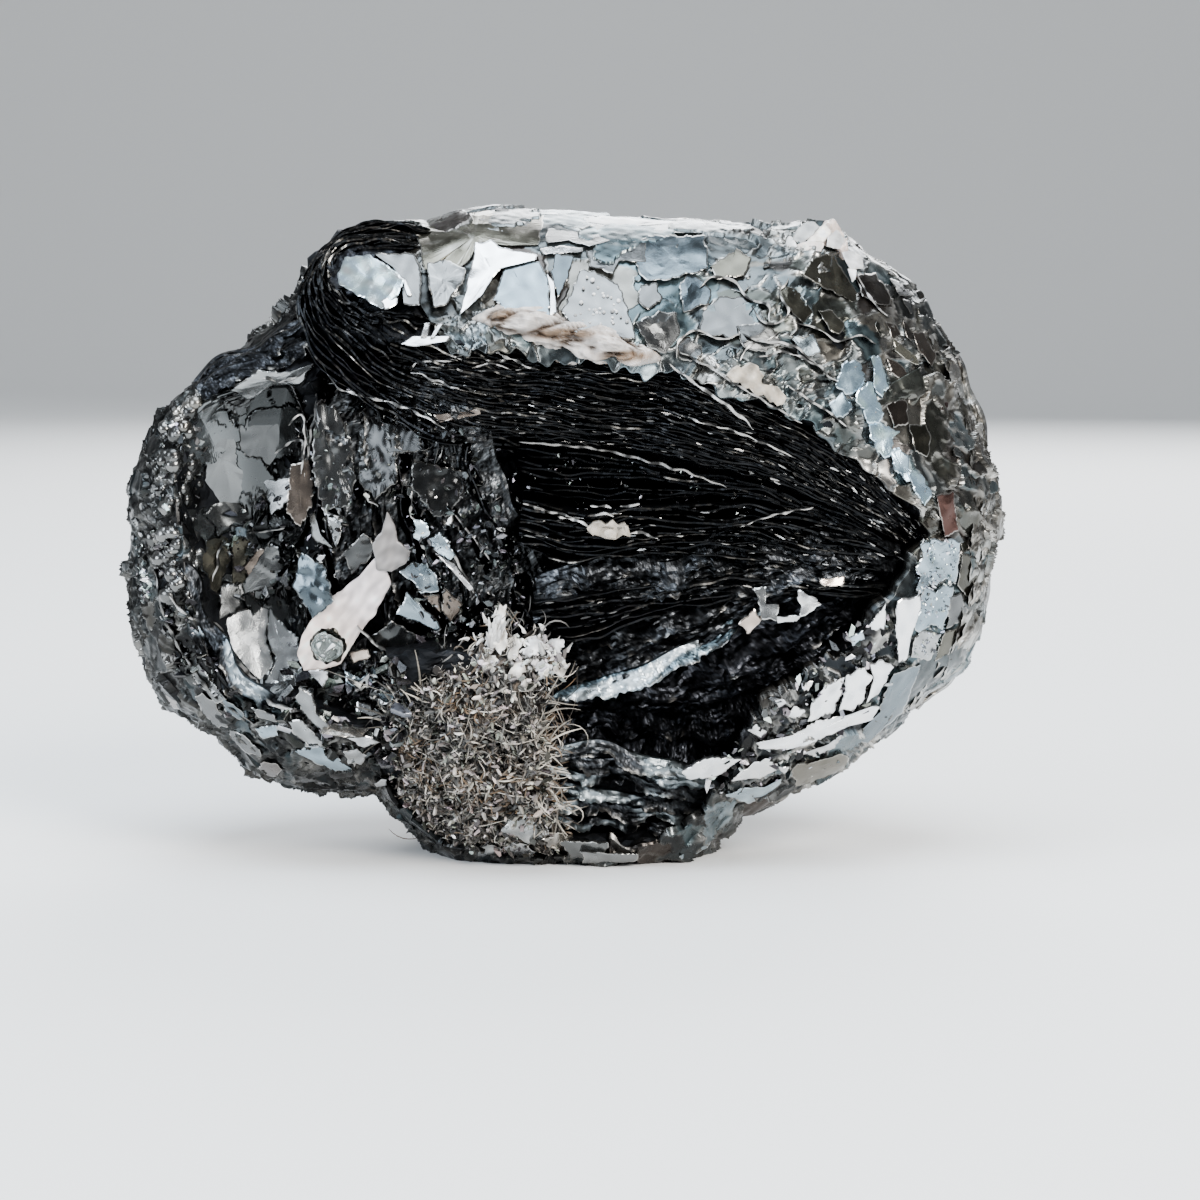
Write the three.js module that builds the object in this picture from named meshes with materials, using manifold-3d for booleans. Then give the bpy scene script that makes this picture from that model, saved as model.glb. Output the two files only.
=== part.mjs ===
// A hand specimen of molybdenite: a rounded, lumpy nodule of foliated metal-grey crystal books.
// A thick scaly shell wraps its top, right side and back. At the front the shell is broken open, and the leaves
// of the books stand in the opening like the pages of a book, springing from one spine at the right.
// A shallow dish lies open on the left, a folded knob at the upper left, and small pieces of other minerals
// (quartz, a pale blade, a fibrous mat) sit in sockets of their own.
// Millimetres. +X right, +Y away from the viewer, +Z up. The origin is the middle of the flat resting face.
import * as THREE from "three";
import { mergeVertices } from "three/addons/utils/BufferGeometryUtils.js";
import Module from "manifold-3d";

const wasm = await Module();
wasm.setup();

// ---- driving dimensions ----
const CENTRE_Z = 26.5; // height of the point that the outline is measured round
const FRONT_CROWN = 16; // how far the nodule bulges towards the viewer
const BACK_CROWN = 19; // and away
const CROWN_FLATNESS = 2.6; // higher is flatter in the middle
const CROWN_EDGE = 0.6; // lower is squarer at the edge
const HOLLOW_FLOOR = -4.5; // y of the broken opening's floor
const LEAF_ROOT = -3.5; // y where the leaves are rooted, inside the body
const LEAF_RECESS = 1.1; // the leaves' front edges stand this far behind the shell's lip
const FACET_DETAIL = 5; // splits of each edge of the ball that the nodule is folded from
const FACET_ROUGHNESS = 0.5; // how far its corners stray in or out, so that its facets tilt
const SCALE_ROOT = 1.2; // how deep a scale is sunk in the skin
const SOCKET_GAP = 0.35; // clearance round each foreign grain
const GOLDEN_ANGLE = Math.PI * (3 - Math.sqrt(5));

// Widest outline, seen from the front, as [x, z]. It runs anticlockwise from the right and dips below zero
// at the foot, where the resting face cuts it.
const OUTLINE = [
  [34.0, 26.2], [33.9, 29.8], [32.6, 33.4], [31.2, 36.6], [30.5, 40.2], [28.5, 43.2], [26.6, 46.2],
  [23.4, 48.2], [20.4, 50.6], [16.8, 50.5], [12.0, 50.9], [7.0, 51.2], [1.7, 51.5], [-3.7, 51.9],
  [-6.8, 52.2], [-9.6, 51.9], [-12.0, 51.0], [-15.4, 50.9], [-18.9, 50.7], [-21.3, 48.8], [-22.4, 45.5],
  [-24.2, 43.1], [-26.6, 41.0], [-29.5, 38.9], [-32.7, 36.5], [-34.8, 33.4], [-36.4, 29.9], [-36.1, 26.2],
  [-36.3, 22.6], [-36.1, 18.7], [-35.2, 15.0], [-33.4, 11.8], [-29.4, 9.8], [-27.2, 7.0], [-24.0, 5.5],
  [-20.0, 5.0], [-16.4, 4.8], [-14.4, 2.6], [-11.9, 0.2], [-9.4, -2.6], [0.0, -3.2], [9.6, -2.6],
  [11.6, 0.9], [13.6, 3.0], [17.4, 4.9], [21.0, 6.4], [23.5, 8.4], [26.1, 10.5], [28.6, 13.0],
  [31.7, 15.6], [33.0, 19.0], [33.5, 22.6],
];

// ---- closed meshes and solids ----

// A closed geometry as a manifold-3d solid, turned the right way out.
function solid(geometry) {
  const bare = new THREE.BufferGeometry().setAttribute("position", geometry.getAttribute("position"));
  if (geometry.index) bare.setIndex(geometry.index);
  const merged = mergeVertices(bare, 1e-4);
  const mesh = { numProp: 3, vertProperties: merged.attributes.position.array, triVerts: new Uint32Array(merged.index.array) };
  const made = new wasm.Manifold(new wasm.Mesh(mesh));
  if (made.volume() > 0) return made;
  for (let i = 0; i < mesh.triVerts.length; i += 3)
    [mesh.triVerts[i + 1], mesh.triVerts[i + 2]] = [mesh.triVerts[i + 2], mesh.triVerts[i + 1]];
  return new wasm.Manifold(new wasm.Mesh(mesh));
}

function geometryOf(manifold) {
  const { vertProperties, triVerts } = manifold.getMesh();
  const geometry = new THREE.BufferGeometry()
    .setAttribute("position", new THREE.BufferAttribute(vertProperties, 3))
    .setIndex(new THREE.BufferAttribute(triVerts, 1));
  geometry.computeVertexNormals();
  return geometry;
}

function geometryFrom(points, triangles) {
  return new THREE.BufferGeometry()
    .setAttribute("position", new THREE.Float32BufferAttribute(points.flat(), 3))
    .setIndex(triangles);
}

const join = (solids) => wasm.Manifold.union(solids);

// The radius of a closed outline at an angle round its middle, straight from point to point.
function radiusOf(outline, [cx, cz]) {
  const polar = outline
    .map(([x, z]) => [(Math.atan2(z - cz, x - cx) + 2 * Math.PI) % (2 * Math.PI), Math.hypot(x - cx, z - cz)])
    .sort((a, b) => a[0] - b[0]);
  return (angle) => {
    const turn = ((angle % (2 * Math.PI)) + 2 * Math.PI) % (2 * Math.PI);
    let next = polar.findIndex(([a]) => a > turn);
    const wraps = next <= 0;
    if (next < 0) next = 0;
    const [a1, r1] = polar[next];
    const [a0, r0] = polar[(next + polar.length - 1) % polar.length];
    const span = wraps ? a1 - a0 + 2 * Math.PI : a1 - a0;
    const along = wraps && turn < a0 ? turn - a0 + 2 * Math.PI : turn - a0;
    return r0 + ((r1 - r0) * along) / span;
  };
}

// A closed pillow. Rays run from the middle out to an outline, and front and back give y at (x, z, share of the way out).
function pillow({ middle, radius, rays, rings, front, back }) {
  const [cx, cz] = middle;
  const points = [[cx, front(cx, cz, 0), cz], [cx, back(cx, cz, 0), cz]];
  const triangles = [];
  const ring = (share, side) => {
    const start = points.length;
    for (let i = 0; i < rays; i++) {
      const angle = (2 * Math.PI * i) / rays;
      const reach = share * radius(angle);
      const x = cx + reach * Math.cos(angle);
      const z = cz + reach * Math.sin(angle);
      points.push([x, side(x, z, share), z]);
    }
    return start;
  };
  const rim = ring(1, (x, z) => (front(x, z, 1) + back(x, z, 1)) / 2);
  for (const [hub, side, flip] of [[0, front, false], [1, back, true]]) {
    let inner = -1;
    for (let k = 1; k <= rings; k++) {
      const share = Math.sin((Math.PI / 2) * (k / rings));
      const outer = k === rings ? rim : ring(share, side);
      for (let i = 0; i < rays; i++) {
        const j = (i + 1) % rays;
        const faces = inner < 0
          ? [[hub, outer + i, outer + j]]
          : [[inner + i, outer + i, outer + j], [inner + i, outer + j, inner + j]];
        for (const [a, b, c] of faces) triangles.push(a, ...(flip ? [c, b] : [b, c]));
      }
      inner = outer;
    }
  }
  return solid(geometryFrom(points, triangles));
}

// A closed bar through rings of points, each ring with the same count, with a flat cap at each end.
function loft(rings) {
  const sides = rings[0].length;
  const triangles = [];
  for (let k = 0; k + 1 < rings.length; k++)
    for (let i = 0; i < sides; i++) {
      const [a, b] = [k * sides + i, k * sides + ((i + 1) % sides)];
      triangles.push(a, b, b + sides, a, b + sides, a + sides);
    }
  const last = (rings.length - 1) * sides;
  for (let i = 1; i + 1 < sides; i++) triangles.push(0, i + 1, i, last, last + i, last + i + 1);
  return solid(geometryFrom(rings.flat(), triangles));
}

// A closed prism: an outline in x and z, carried from y = back to y = front.
function prism(outline, back, front) {
  const shape = new THREE.Shape(outline.map(([x, z]) => new THREE.Vector2(x, z)));
  const geometry = new THREE.ExtrudeGeometry(shape, { depth: back - front, bevelEnabled: false });
  return solid(geometry.rotateX(Math.PI / 2).translate(0, back, 0));
}

// A smooth route through [x, z] points, sampled evenly.
function route(points, samples) {
  const curve = new THREE.SplineCurve(points.map(([x, z]) => new THREE.Vector2(x, z)));
  return curve.getSpacedPoints(samples).map((p) => [p.x, p.y]);
}

// ---- the nodule ----

const reach = radiusOf(OUTLINE, [0, CENTRE_Z]);

// Share of the crown left at a share of the way out: one in the middle, nothing at the outline.
const crown = (share) => Math.pow(1 - Math.pow(Math.min(share, 1), CROWN_FLATNESS), CROWN_EDGE);

// Gentle lumps, from three crossed waves.
const lumps = (x, z) =>
  0.55 * Math.sin(0.34 * x + 0.9) * Math.cos(0.29 * z - 0.4) + 0.35 * Math.sin(0.61 * x - 0.47 * z) + 0.2 * Math.sin(0.9 * z + 1.3);

const shareAt = (x, z) => Math.hypot(x, z - CENTRE_Z) / reach(Math.atan2(z - CENTRE_Z, x));
const frontAt = (x, z, share = shareAt(x, z)) => -crown(share) * (FRONT_CROWN + 1.2 * lumps(x, z));
const backAt = (x, z, share = shareAt(x, z)) => crown(share) * (BACK_CROWN + 2.4 * lumps(x + 9, z + 5));

// The point of the nodule's skin that a direction out of its middle is carried to. The direction's turn about Y
// picks a ray of the outline, and its lean out of that plane says how far round to the front or back it goes.
function skin(toward) {
  const heading = Math.atan2(toward.z, toward.x);
  const share = Math.hypot(toward.x, toward.z) / toward.length();
  const x = share * reach(heading) * Math.cos(heading);
  const z = CENTRE_Z + share * reach(heading) * Math.sin(heading);
  return new THREE.Vector3(x, toward.y < 0 ? frontAt(x, z, share) : backAt(x, z, share), z);
}

// Two directions at right angles to the first and to each other.
function across(toward) {
  const first = new THREE.Vector3(0, 0, 1).cross(toward).normalize();
  return [first, toward.clone().cross(first)];
}

const tilted = (toward, [first, second], a, b) => toward.clone().addScaledVector(first, a).addScaledVector(second, b).normalize();

function skinNormal(toward) {
  const axes = across(toward);
  const step = 0.08;
  const right = skin(tilted(toward, axes, step, 0)).sub(skin(tilted(toward, axes, -step, 0)));
  const up = skin(tilted(toward, axes, 0, step)).sub(skin(tilted(toward, axes, 0, -step)));
  return right.cross(up).normalize();
}

// The direction that is carried to the front at x and z.
function towardFront(x, z) {
  const share = Math.min(shareAt(x, z), 1);
  const heading = Math.atan2(z - CENTRE_Z, x);
  return new THREE.Vector3(share * Math.cos(heading), -Math.sqrt(1 - share * share), share * Math.sin(heading));
}

// The nodule: an even ball of triangles, each corner carried out to the skin and a little way in or out of it.
function nodule() {
  const ball = mergeVertices(new THREE.IcosahedronGeometry(1, FACET_DETAIL).deleteAttribute("normal").deleteAttribute("uv"), 1e-3);
  const corners = ball.getAttribute("position");
  for (let i = 0; i < corners.count; i++) {
    const toward = new THREE.Vector3().fromBufferAttribute(corners, i).normalize();
    const stray = FACET_ROUGHNESS * Math.sin(12.9 * toward.x + 7.8 * toward.y) * Math.cos(9.3 * toward.z - 4.1 * toward.y);
    const corner = skin(toward).addScaledVector(toward, stray);
    corners.setXYZ(i, corner.x, corner.y, corner.z);
  }
  return solid(ball);
}

// One scale of the shell: an uneven flat patch of a layer, proud on one side and sunk in the skin on the other.
function scale({ toward, size, lift, turn }) {
  const corners = 5 + (Math.round(turn * 10) % 2);
  const axes = across(toward);
  const spread = size / CENTRE_Z;
  const out = skinNormal(toward);
  const rings = [[], []];
  for (let i = 0; i < corners; i++) {
    const angle = turn + (2 * Math.PI * (i + 0.25 * Math.sin(7 * i + turn))) / corners;
    const radius = spread * (0.88 + 0.22 * Math.sin(4 * i + 9 * turn));
    const place = skin(tilted(toward, axes, radius * Math.cos(angle), 0.85 * radius * Math.sin(angle)));
    const proud = lift * (0.9 + 0.6 * Math.cos(angle - 2.3 * turn));
    rings[0].push(place.clone().addScaledVector(out, -SCALE_ROOT).toArray());
    rings[1].push(place.addScaledVector(out, proud).toArray());
  }
  return loft(rings);
}

const frontScale = ([x, z, size], turn, lift) => scale({ toward: towardFront(x, z), size, lift, turn });

// Scales spread evenly round the whole nodule, in a sunflower spiral. keep says which places get one.
function scales({ count, size, lift, keep }) {
  const made = [];
  for (let i = 0; i < count; i++) {
    const depth = 1 - (2 * (i + 0.5)) / count;
    const flat = Math.sqrt(1 - depth * depth);
    const toward = new THREE.Vector3(flat * Math.cos(i * GOLDEN_ANGLE), depth, flat * Math.sin(i * GOLDEN_ANGLE));
    const { x, z } = skin(toward);
    if (z < 4 || !keep(x, z, depth)) continue;
    made.push(scale({ toward, size: size * (1 + 0.22 * Math.sin(5 * i)), turn: 1.7 * i, lift }));
  }
  return made;
}

// ---- the broken opening and its leaves ----

const OPENING = [
  [-20.6, 41.6], [-14.0, 41.9], [-8.6, 41.4], [-1.4, 41.1], [5.8, 40.2], [11.4, 38.7], [17.4, 36.3],
  [22.4, 33.0], [26.6, 29.2], [28.2, 26.6], [26.4, 22.8], [23.2, 19.0], [19.0, 15.6], [15.0, 12.8],
  [13.2, 9.0], [12.0, 4.4], [8.0, 1.8], [-2.6, 1.8], [-3.0, 10.0], [-4.6, 17.0], [-12.0, 17.8],
  [-19.4, 16.6], [-21.2, 22.4], [-20.6, 30.0], [-20.2, 36.0],
];

// Each book is bounded by two guides, and its leaves are spread between them. The guides run along the leaves.
const BOOKS = {
  upper: {
    leaves: 8, thickness: 0.5, segments: 8,
    first: [[-20.4, 43.2], [-18.6, 41.7], [-14.2, 41.2], [-8.6, 40.7], [-1.4, 40.3], [5.8, 39.4], [11.4, 37.9],
            [17.0, 35.5], [21.8, 32.3], [25.6, 28.9], [27.4, 27.0]],
    last: [[-21.2, 41.4], [-19.4, 39.4], [-15.8, 37.6], [-11.8, 36.3], [-7.0, 35.0], [-1.4, 34.1], [5.0, 33.3],
           [11.4, 32.0], [17.8, 29.9], [22.6, 27.5], [26.0, 25.6]],
  },
  middle: {
    leaves: 4, thickness: 0.5, segments: 6,
    first: [[-4.2, 29.2], [0.2, 28.8], [5.0, 29.0], [11.4, 29.3], [17.8, 28.4], [22.6, 26.5], [25.8, 24.9]],
    last: [[-4.6, 25.8], [-0.6, 25.1], [5.0, 25.4], [11.4, 25.4], [17.0, 24.7], [21.0, 24.0], [25.2, 23.8]],
  },
  lower: {
    leaves: 6, thickness: 0.6, segments: 6, droop: 1.6,
    first: [[-3.8, 22.6], [0.2, 22.8], [5.0, 23.6], [9.8, 24.2], [14.6, 24.3], [19.4, 23.7], [24.6, 23.2]],
    last: [[-3.0, 12.3], [1.8, 13.8], [5.8, 15.2], [9.8, 17.0], [13.0, 18.5], [16.4, 19.8], [20.6, 20.6]],
  },
  under: {
    leaves: 3, thickness: 0.6, segments: 5, droop: 0.8,
    first: [[0.6, 12.2], [6.0, 13.4], [11.0, 15.6], [16.0, 18.0], [20.6, 20.0]],
    last: [[0.0, 11.6], [5.0, 11.2], [9.6, 10.8], [14.0, 12.4], [18.4, 15.8]],
  },
  bottom: {
    leaves: 4, thickness: 0.5, segments: 5,
    first: [[-3.4, 10.9], [0.2, 10.8], [5.0, 10.2], [9.8, 9.6], [13.6, 9.2]],
    last: [[-2.4, 3.4], [1.8, 3.0], [5.8, 2.6], [9.0, 2.4], [12.0, 2.6]],
  },
  left: {
    leaves: 8, thickness: 0.5, segments: 5,
    first: [[-20.4, 39.0], [-20.8, 33.8], [-21.2, 27.4], [-20.8, 22.4], [-20.0, 17.4]],
    last: [[-8.6, 36.0], [-7.9, 30.6], [-6.2, 25.8], [-4.6, 21.8], [-3.8, 17.6]],
  },
};

// One leaf: a thin wavy sheet on edge. Its route is seen from the front, its front edge follows the nodule and
// hangs lower than its root by droop, and both its ends die away into the body.
function leaf(points, { thickness, segments, phase, recess, droop = 0, root = LEAF_ROOT }) {
  const path = route(points, segments);
  const rings = path.map(([x, z], k) => {
    const [bx, bz] = path[Math.max(k - 1, 0)];
    const [ax, az] = path[Math.min(k + 1, segments)];
    const length = Math.hypot(ax - bx, az - bz);
    const [nx, nz] = [-(az - bz) / length, (ax - bx) / length];
    const wave = 0.14 * Math.sin(1.3 * k + phase);
    const end = k === 0 || k === segments ? 1.4 : 0;
    const front = Math.min(frontAt(x, z) + recess + end + 0.45 * Math.sin(2.1 * k + 3 * phase), root - 0.8);
    const side = (sign, y, drop) => [
      x + nx * (wave + (sign * thickness) / 2), y, z - drop + nz * (wave + (sign * thickness) / 2)];
    return [side(1, root, 0), side(1, front, droop), side(-1, front, droop), side(-1, root, 0)];
  });
  return loft(rings);
}

function book({ leaves, thickness, segments, droop, first, last }) {
  return Array.from({ length: leaves }, (_, i) => {
    const share = i / (leaves - 1);
    const points = first.map(([x, z], k) => [x + (last[k][0] - x) * share, z + (last[k][1] - z) * share]);
    const recess = LEAF_RECESS + 0.6 * (1 + Math.sin(2.7 * i)) + 1.2 * Math.pow(share, 2);
    return leaf(points, { thickness, segments, phase: 1.9 * i, recess, droop });
  });
}

// ---- the dish, the knob and the ledges ----

const DISH = [
  [-30.4, 36.6], [-26.4, 38.2], [-22.8, 38.8], [-21.4, 36.0], [-21.6, 30.0], [-22.4, 25.4], [-21.4, 20.0],
  [-21.8, 14.6], [-25.2, 13.4], [-28.6, 16.6], [-30.2, 21.6], [-31.0, 27.0], [-31.6, 32.0],
];
const DISH_MIDDLE = [-26.2, 26.4];
const DISH_FLOOR = -2.2; // y at the bottom of the dish

function dish() {
  const bowl = (x, z, share) => DISH_FLOOR - 3.6 * Math.pow(share, 3);
  return pillow({
    middle: DISH_MIDDLE, radius: radiusOf(DISH, DISH_MIDDLE), rays: 22, rings: 3,
    front: () => -FRONT_CROWN, back: (x, z, share) => (share < 1 ? bowl(x, z, share) : bowl(x, z, 1) * 2 + FRONT_CROWN),
  });
}

const KNOB = { middle: [-16.6, 46.4], width: 5.6, height: 4.6, front: -12.6, back: -2 };
const KNOB_FACE = { at: [-15.6, -11.4, 46.6], size: [14, 6, 14], nod: 0.5, turn: 0.12 };

// A coarse lump with one broad cleavage face cut across its front.
function knob() {
  const { middle, width, height, front, back } = KNOB;
  const edge = (front + back) / 2;
  const lumpOfKnob = pillow({
    middle, rays: 11, rings: 3,
    radius: (angle) => (1 + 0.06 * Math.sin(3 * angle)) / Math.hypot(Math.cos(angle) / width, Math.sin(angle) / height),
    front: (x, z, share) => edge + (front - edge) * crown(share),
    back: (x, z, share) => edge + (back - edge) * crown(share),
  });
  const [w, d, h] = KNOB_FACE.size;
  const cutter = new THREE.BoxGeometry(w, d, h).translate(0, -d / 2, 0)
    .rotateX(-KNOB_FACE.nod).rotateZ(KNOB_FACE.turn).translate(...KNOB_FACE.at);
  return lumpOfKnob.subtract(solid(cutter));
}

// The folds that wrap under the knob, each one a leaf on a bent route.
const KNOB_FOLDS = { count: 3, spacing: 1.3, thickness: 0.45 };

function knobFolds() {
  const { count, spacing, thickness } = KNOB_FOLDS;
  return Array.from({ length: count }, (_, i) => {
    const drop = spacing * i;
    const points = [[-21.0 - 0.3 * drop, 48.6], [-21.8 + 0.1 * drop, 45.2 - 0.4 * drop], [-19.0, 43.0 - 0.5 * drop],
                    [-14.6, 42.4 - 0.7 * drop], [-10.4, 42.2 - 0.8 * drop]];
    return leaf(points, { thickness, segments: 6, phase: i, recess: -1.5 });
  });
}

// Low ledges that follow the rim of the left lobe, one inside the other.
const LEDGES = { count: 4, spacing: 1.5, thickness: 0.8, proud: 0.9 };

function ledges() {
  const { count, spacing, thickness, proud } = LEDGES;
  const rim = [[-34.6, 31.0], [-34.4, 24.0], [-33.6, 17.6], [-30.0, 12.6], [-25.2, 8.6], [-19.8, 7.2], [-16.2, 6.6]];
  return Array.from({ length: count }, (_, i) => {
    const inward = spacing * i;
    const points = rim.map(([x, z]) => {
      const away = Math.hypot(x + 10, z - 26);
      return [x - ((x + 10) / away) * inward, z - ((z - 26) / away) * inward];
    });
    return leaf(points, { thickness, segments: 7, phase: 2 * i, recess: -proud, root: -1.5 });
  });
}

// Bright stepped cleavage faces between the leaves and the shell, at the lower right.
const STEPS = [
  [25.4, 20.4, 2.6], [23.4, 16.6, 2.8], [20.2, 14.0, 2.6], [25.8, 15.2, 2.4], [17.0, 10.4, 2.8],
  [21.4, 10.6, 2.6], [14.6, 7.2, 2.2], [18.4, 7.4, 2.0],
];

const steps = () => STEPS.map((place, i) => frontScale(place, 0.9 * i + 0.4, 0.8));

// Large plates of the shell along the top: [x, z, size].
const CAP_PLATES = [
  [-7.2, 48.0, 4.6], [-1.6, 46.4, 3.4], [3.0, 44.4, 3.2], [5.4, 48.6, 4.4], [11.0, 46.6, 3.8],
  [17.2, 46.4, 3.6], [22.6, 43.2, 3.4], [26.4, 38.4, 3.4], [28.6, 32.4, 3.2], [28.8, 24.4, 3.6], [28.0, 18.0, 3.4],
];

const capPlates = () => CAP_PLATES.map((place, i) => frontScale(place, 1.3 * i, 0.9));

// ---- pieces of other minerals ----

// A lump with flat faces: a coarse ball, stretched to its three half-sizes.
function lump({ at, half, detail = 1, grow = 0 }) {
  const geometry = new THREE.IcosahedronGeometry(1, detail).scale(half[0] + grow, half[1] + grow, half[2] + grow);
  return solid(geometry.rotateY(0.5).translate(...at));
}

// A short six-sided crystal with a point at each end, standing in the shell's edge.
function crystalTip({ at, radius, height, nod, grow = 0 }) {
  const profile = [[0, -0.5 * height - grow], [radius + grow, -0.25 * height], [radius + grow, 0.1 * height], [0, 0.6 * height + grow]];
  const geometry = new THREE.LatheGeometry(profile.map(([r, y]) => new THREE.Vector2(r, y)), 6);
  return solid(geometry.rotateX(Math.PI / 2).rotateY(nod).translate(...at));
}

// Cream quartz seam between the shell and the upper book: [x, z, half height].
const SEAM = [[-8.6, 43.2, 0.7], [-6.4, 43.4, 1.3], [-3.0, 42.8, 1.5], [0.6, 41.9, 1.4], [4.0, 41.2, 1.2], [7.2, 40.2, 0.7]];
const SEAM_DEPTH = 1.7; // half of it, front to back

function seam(grow = 0) {
  const sides = 8;
  const rings = SEAM.map(([x, z, half], k) => {
    const end = k === 0 ? -grow : k === SEAM.length - 1 ? grow : 0;
    const y = frontAt(x, z) + 0.5;
    return Array.from({ length: sides }, (_, i) => {
      const angle = (2 * Math.PI * i) / sides;
      const bump = 1 + 0.12 * Math.sin(3 * i + 2 * k);
      return [
        x + end,
        y + (SEAM_DEPTH * bump * Math.min(half, 1.1) + grow) * Math.cos(angle),
        z + (half * bump + grow) * Math.sin(angle),
      ];
    });
  });
  return loft(rings);
}

// Pale blade: a lance-shaped cleavage flake that leans across the dish's right edge.
const BLADE = {
  outline: [[0, -7.0], [1.5, -5.2], [2.0, -2.6], [1.8, 0.6], [1.2, 3.0], [0.7, 4.4], [1.9, 6.2], [0.2, 7.8], [-1.3, 5.6],
            [-0.9, 4.0], [-1.8, 1.4], [-2.1, -1.6], [-1.9, -4.6]],
  thickness: 0.9, lean: -0.18, turn: -0.6, at: [-18.6, -9.2, 21.4],
};

// An anticlockwise outline moved outwards, each corner by a little more than the distance asked.
function outset(outline, distance) {
  return outline.map(([x, z], i) => {
    const [bx, bz] = outline[(i + outline.length - 1) % outline.length];
    const [ax, az] = outline[(i + 1) % outline.length];
    const length = Math.hypot(ax - bx, az - bz);
    const move = (1.4 * distance) / length;
    return [x + (az - bz) * move, z - (ax - bx) * move];
  });
}

function blade(grow = 0) {
  const { outline, thickness, lean, turn, at } = BLADE;
  const shape = new THREE.Shape(outset(outline, grow).map(([x, z]) => new THREE.Vector2(x, z)));
  const geometry = new THREE.ExtrudeGeometry(shape, { depth: thickness + 2 * grow, bevelEnabled: false })
    .translate(0, 0, -thickness / 2 - grow)
    .rotateX(Math.PI / 2)
    .rotateY(-turn)
    .rotateX(lean)
    .translate(...at);
  return solid(geometry);
}

// Fibrous mat in a pocket at the foot of the front.
const MAT = [
  [-15.6, 12.6], [-12.8, 15.6], [-8.4, 18.2], [-4.6, 20.2], [-1.2, 17.6], [-2.2, 13.6], [-2.0, 9.0], [-1.6, 4.4],
  [-0.8, 0.6], [-6.0, 0.5], [-11.4, 0.9], [-13.6, 3.0], [-15.4, 5.6], [-14.6, 9.2],
];
const MAT_MIDDLE = [-7.6, 9.6];
const MAT_PROUD = 1.6; // how far it stands in front of the nodule
const MAT_DEPTH = 4.2; // how deep its pocket goes

function mat(grow = 0) {
  const edge = (x, z) => frontAt(x, z) + 0.9;
  const bumps = (x, z) => 0.5 * Math.sin(1.7 * x + 0.5) * Math.sin(1.5 * z) + 0.3 * Math.sin(2.9 * x - 2.3 * z);
  const outline = radiusOf(MAT, MAT_MIDDLE);
  return pillow({
    middle: MAT_MIDDLE, rays: 20, rings: 3,
    radius: (angle) => outline(angle) + grow,
    front: (x, z, share) => edge(x, z) - (MAT_PROUD + bumps(x, z) + grow + 0.9) * crown(share),
    back: (x, z, share) => edge(x, z) + (MAT_DEPTH + grow) * crown(share),
  });
}

const TIP = { at: [20.0, -2.6, 49.0], radius: 1.9, height: 5.0, nod: 0.15 };

const GRAINS = {
  seam_grain: { at: [13.6, -13.2, 38.9], half: [1.8, 1.1, 1.0], detail: 0 },
  leaf_grain: { at: [2.4, -13.6, 27.6], half: [1.7, 1.0, 0.8], detail: 0 },
  ochre_grain: { at: [-11.0, -13.0, 17.2], half: [1.0, 1.0, 0.9], detail: 0 },
};

const BEAD = { at: [-19.5, -10.7, 17.9], half: [1.3, 1.1, 1.2] };

// ---- assembly ----

function molybdenite() {
  const onShell = (x, z) => (x > 4 ? z > 37 || x > 24 : z > 44 || x < -33);
  const inFront = (depth) => depth < -0.35;
  const body = join([nodule(),
    ...scales({ count: 50, size: 6.4, lift: 0.6, keep: (x, z, depth) => !inFront(depth) }),
    ...scales({ count: 92, size: 4.1, lift: 0.6, keep: (x, z, depth) => inFront(depth) && onShell(x, z) }),
    ...capPlates()]);
  const opened = body.subtract(prism(OPENING, HOLLOW_FLOOR, -3 * FRONT_CROWN)).subtract(dish());
  const grown = join([opened, knob(), ...knobFolds(), ...ledges(), ...steps(),
    ...Object.values(BOOKS).flatMap(book)]);
  const sockets = [seam(SOCKET_GAP), blade(SOCKET_GAP), mat(SOCKET_GAP), lump({ ...BEAD, grow: SOCKET_GAP }),
    crystalTip({ ...TIP, grow: SOCKET_GAP }), ...Object.values(GRAINS).map((grain) => lump({ ...grain, grow: SOCKET_GAP }))];
  const belowFloor = solid(new THREE.BoxGeometry(200, 200, 60).translate(0, 0, -30));
  const cut = grown.subtract(join(sockets)).subtract(belowFloor);
  // A cut can free a crumb. Only the largest body is the specimen.
  return cut.decompose().sort((a, b) => b.volume() - a.volume())[0];
}

const finish = {
  molybdenite: { color: 0x5b626b, roughness: 0.34, metalness: 0.9 },
  quartz: { color: 0xd8cdbf, roughness: 0.45, metalness: 0 },
  blade: { color: 0xcbbfb6, roughness: 0.35, metalness: 0.1 },
  bead: { color: 0xb9bfc2, roughness: 0.1, metalness: 0 },
  mat: { color: 0x7a6550, roughness: 0.8, metalness: 0 },
  ochre: { color: 0xb08a58, roughness: 0.7, metalness: 0 },
};

const group = new THREE.Group();

function add(name, shape, look) {
  const mesh = new THREE.Mesh(geometryOf(shape), new THREE.MeshStandardMaterial(finish[look]));
  mesh.name = name;
  group.add(mesh);
}

add("molybdenite", molybdenite(), "molybdenite");
add("quartz_seam", seam(), "quartz");
add("pale_blade", blade().subtract(lump({ ...BEAD, grow: SOCKET_GAP })), "blade");
add("quartz_bead", lump(BEAD), "bead");
add("fibre_mat", mat().subtract(lump({ ...GRAINS.ochre_grain, grow: SOCKET_GAP })), "mat");
add("quartz_tip", crystalTip(TIP), "quartz");
for (const [name, grain] of Object.entries(GRAINS)) add(name, lump(grain), name === "ochre_grain" ? "ochre" : "quartz");

export default group;
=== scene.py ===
import math

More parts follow.
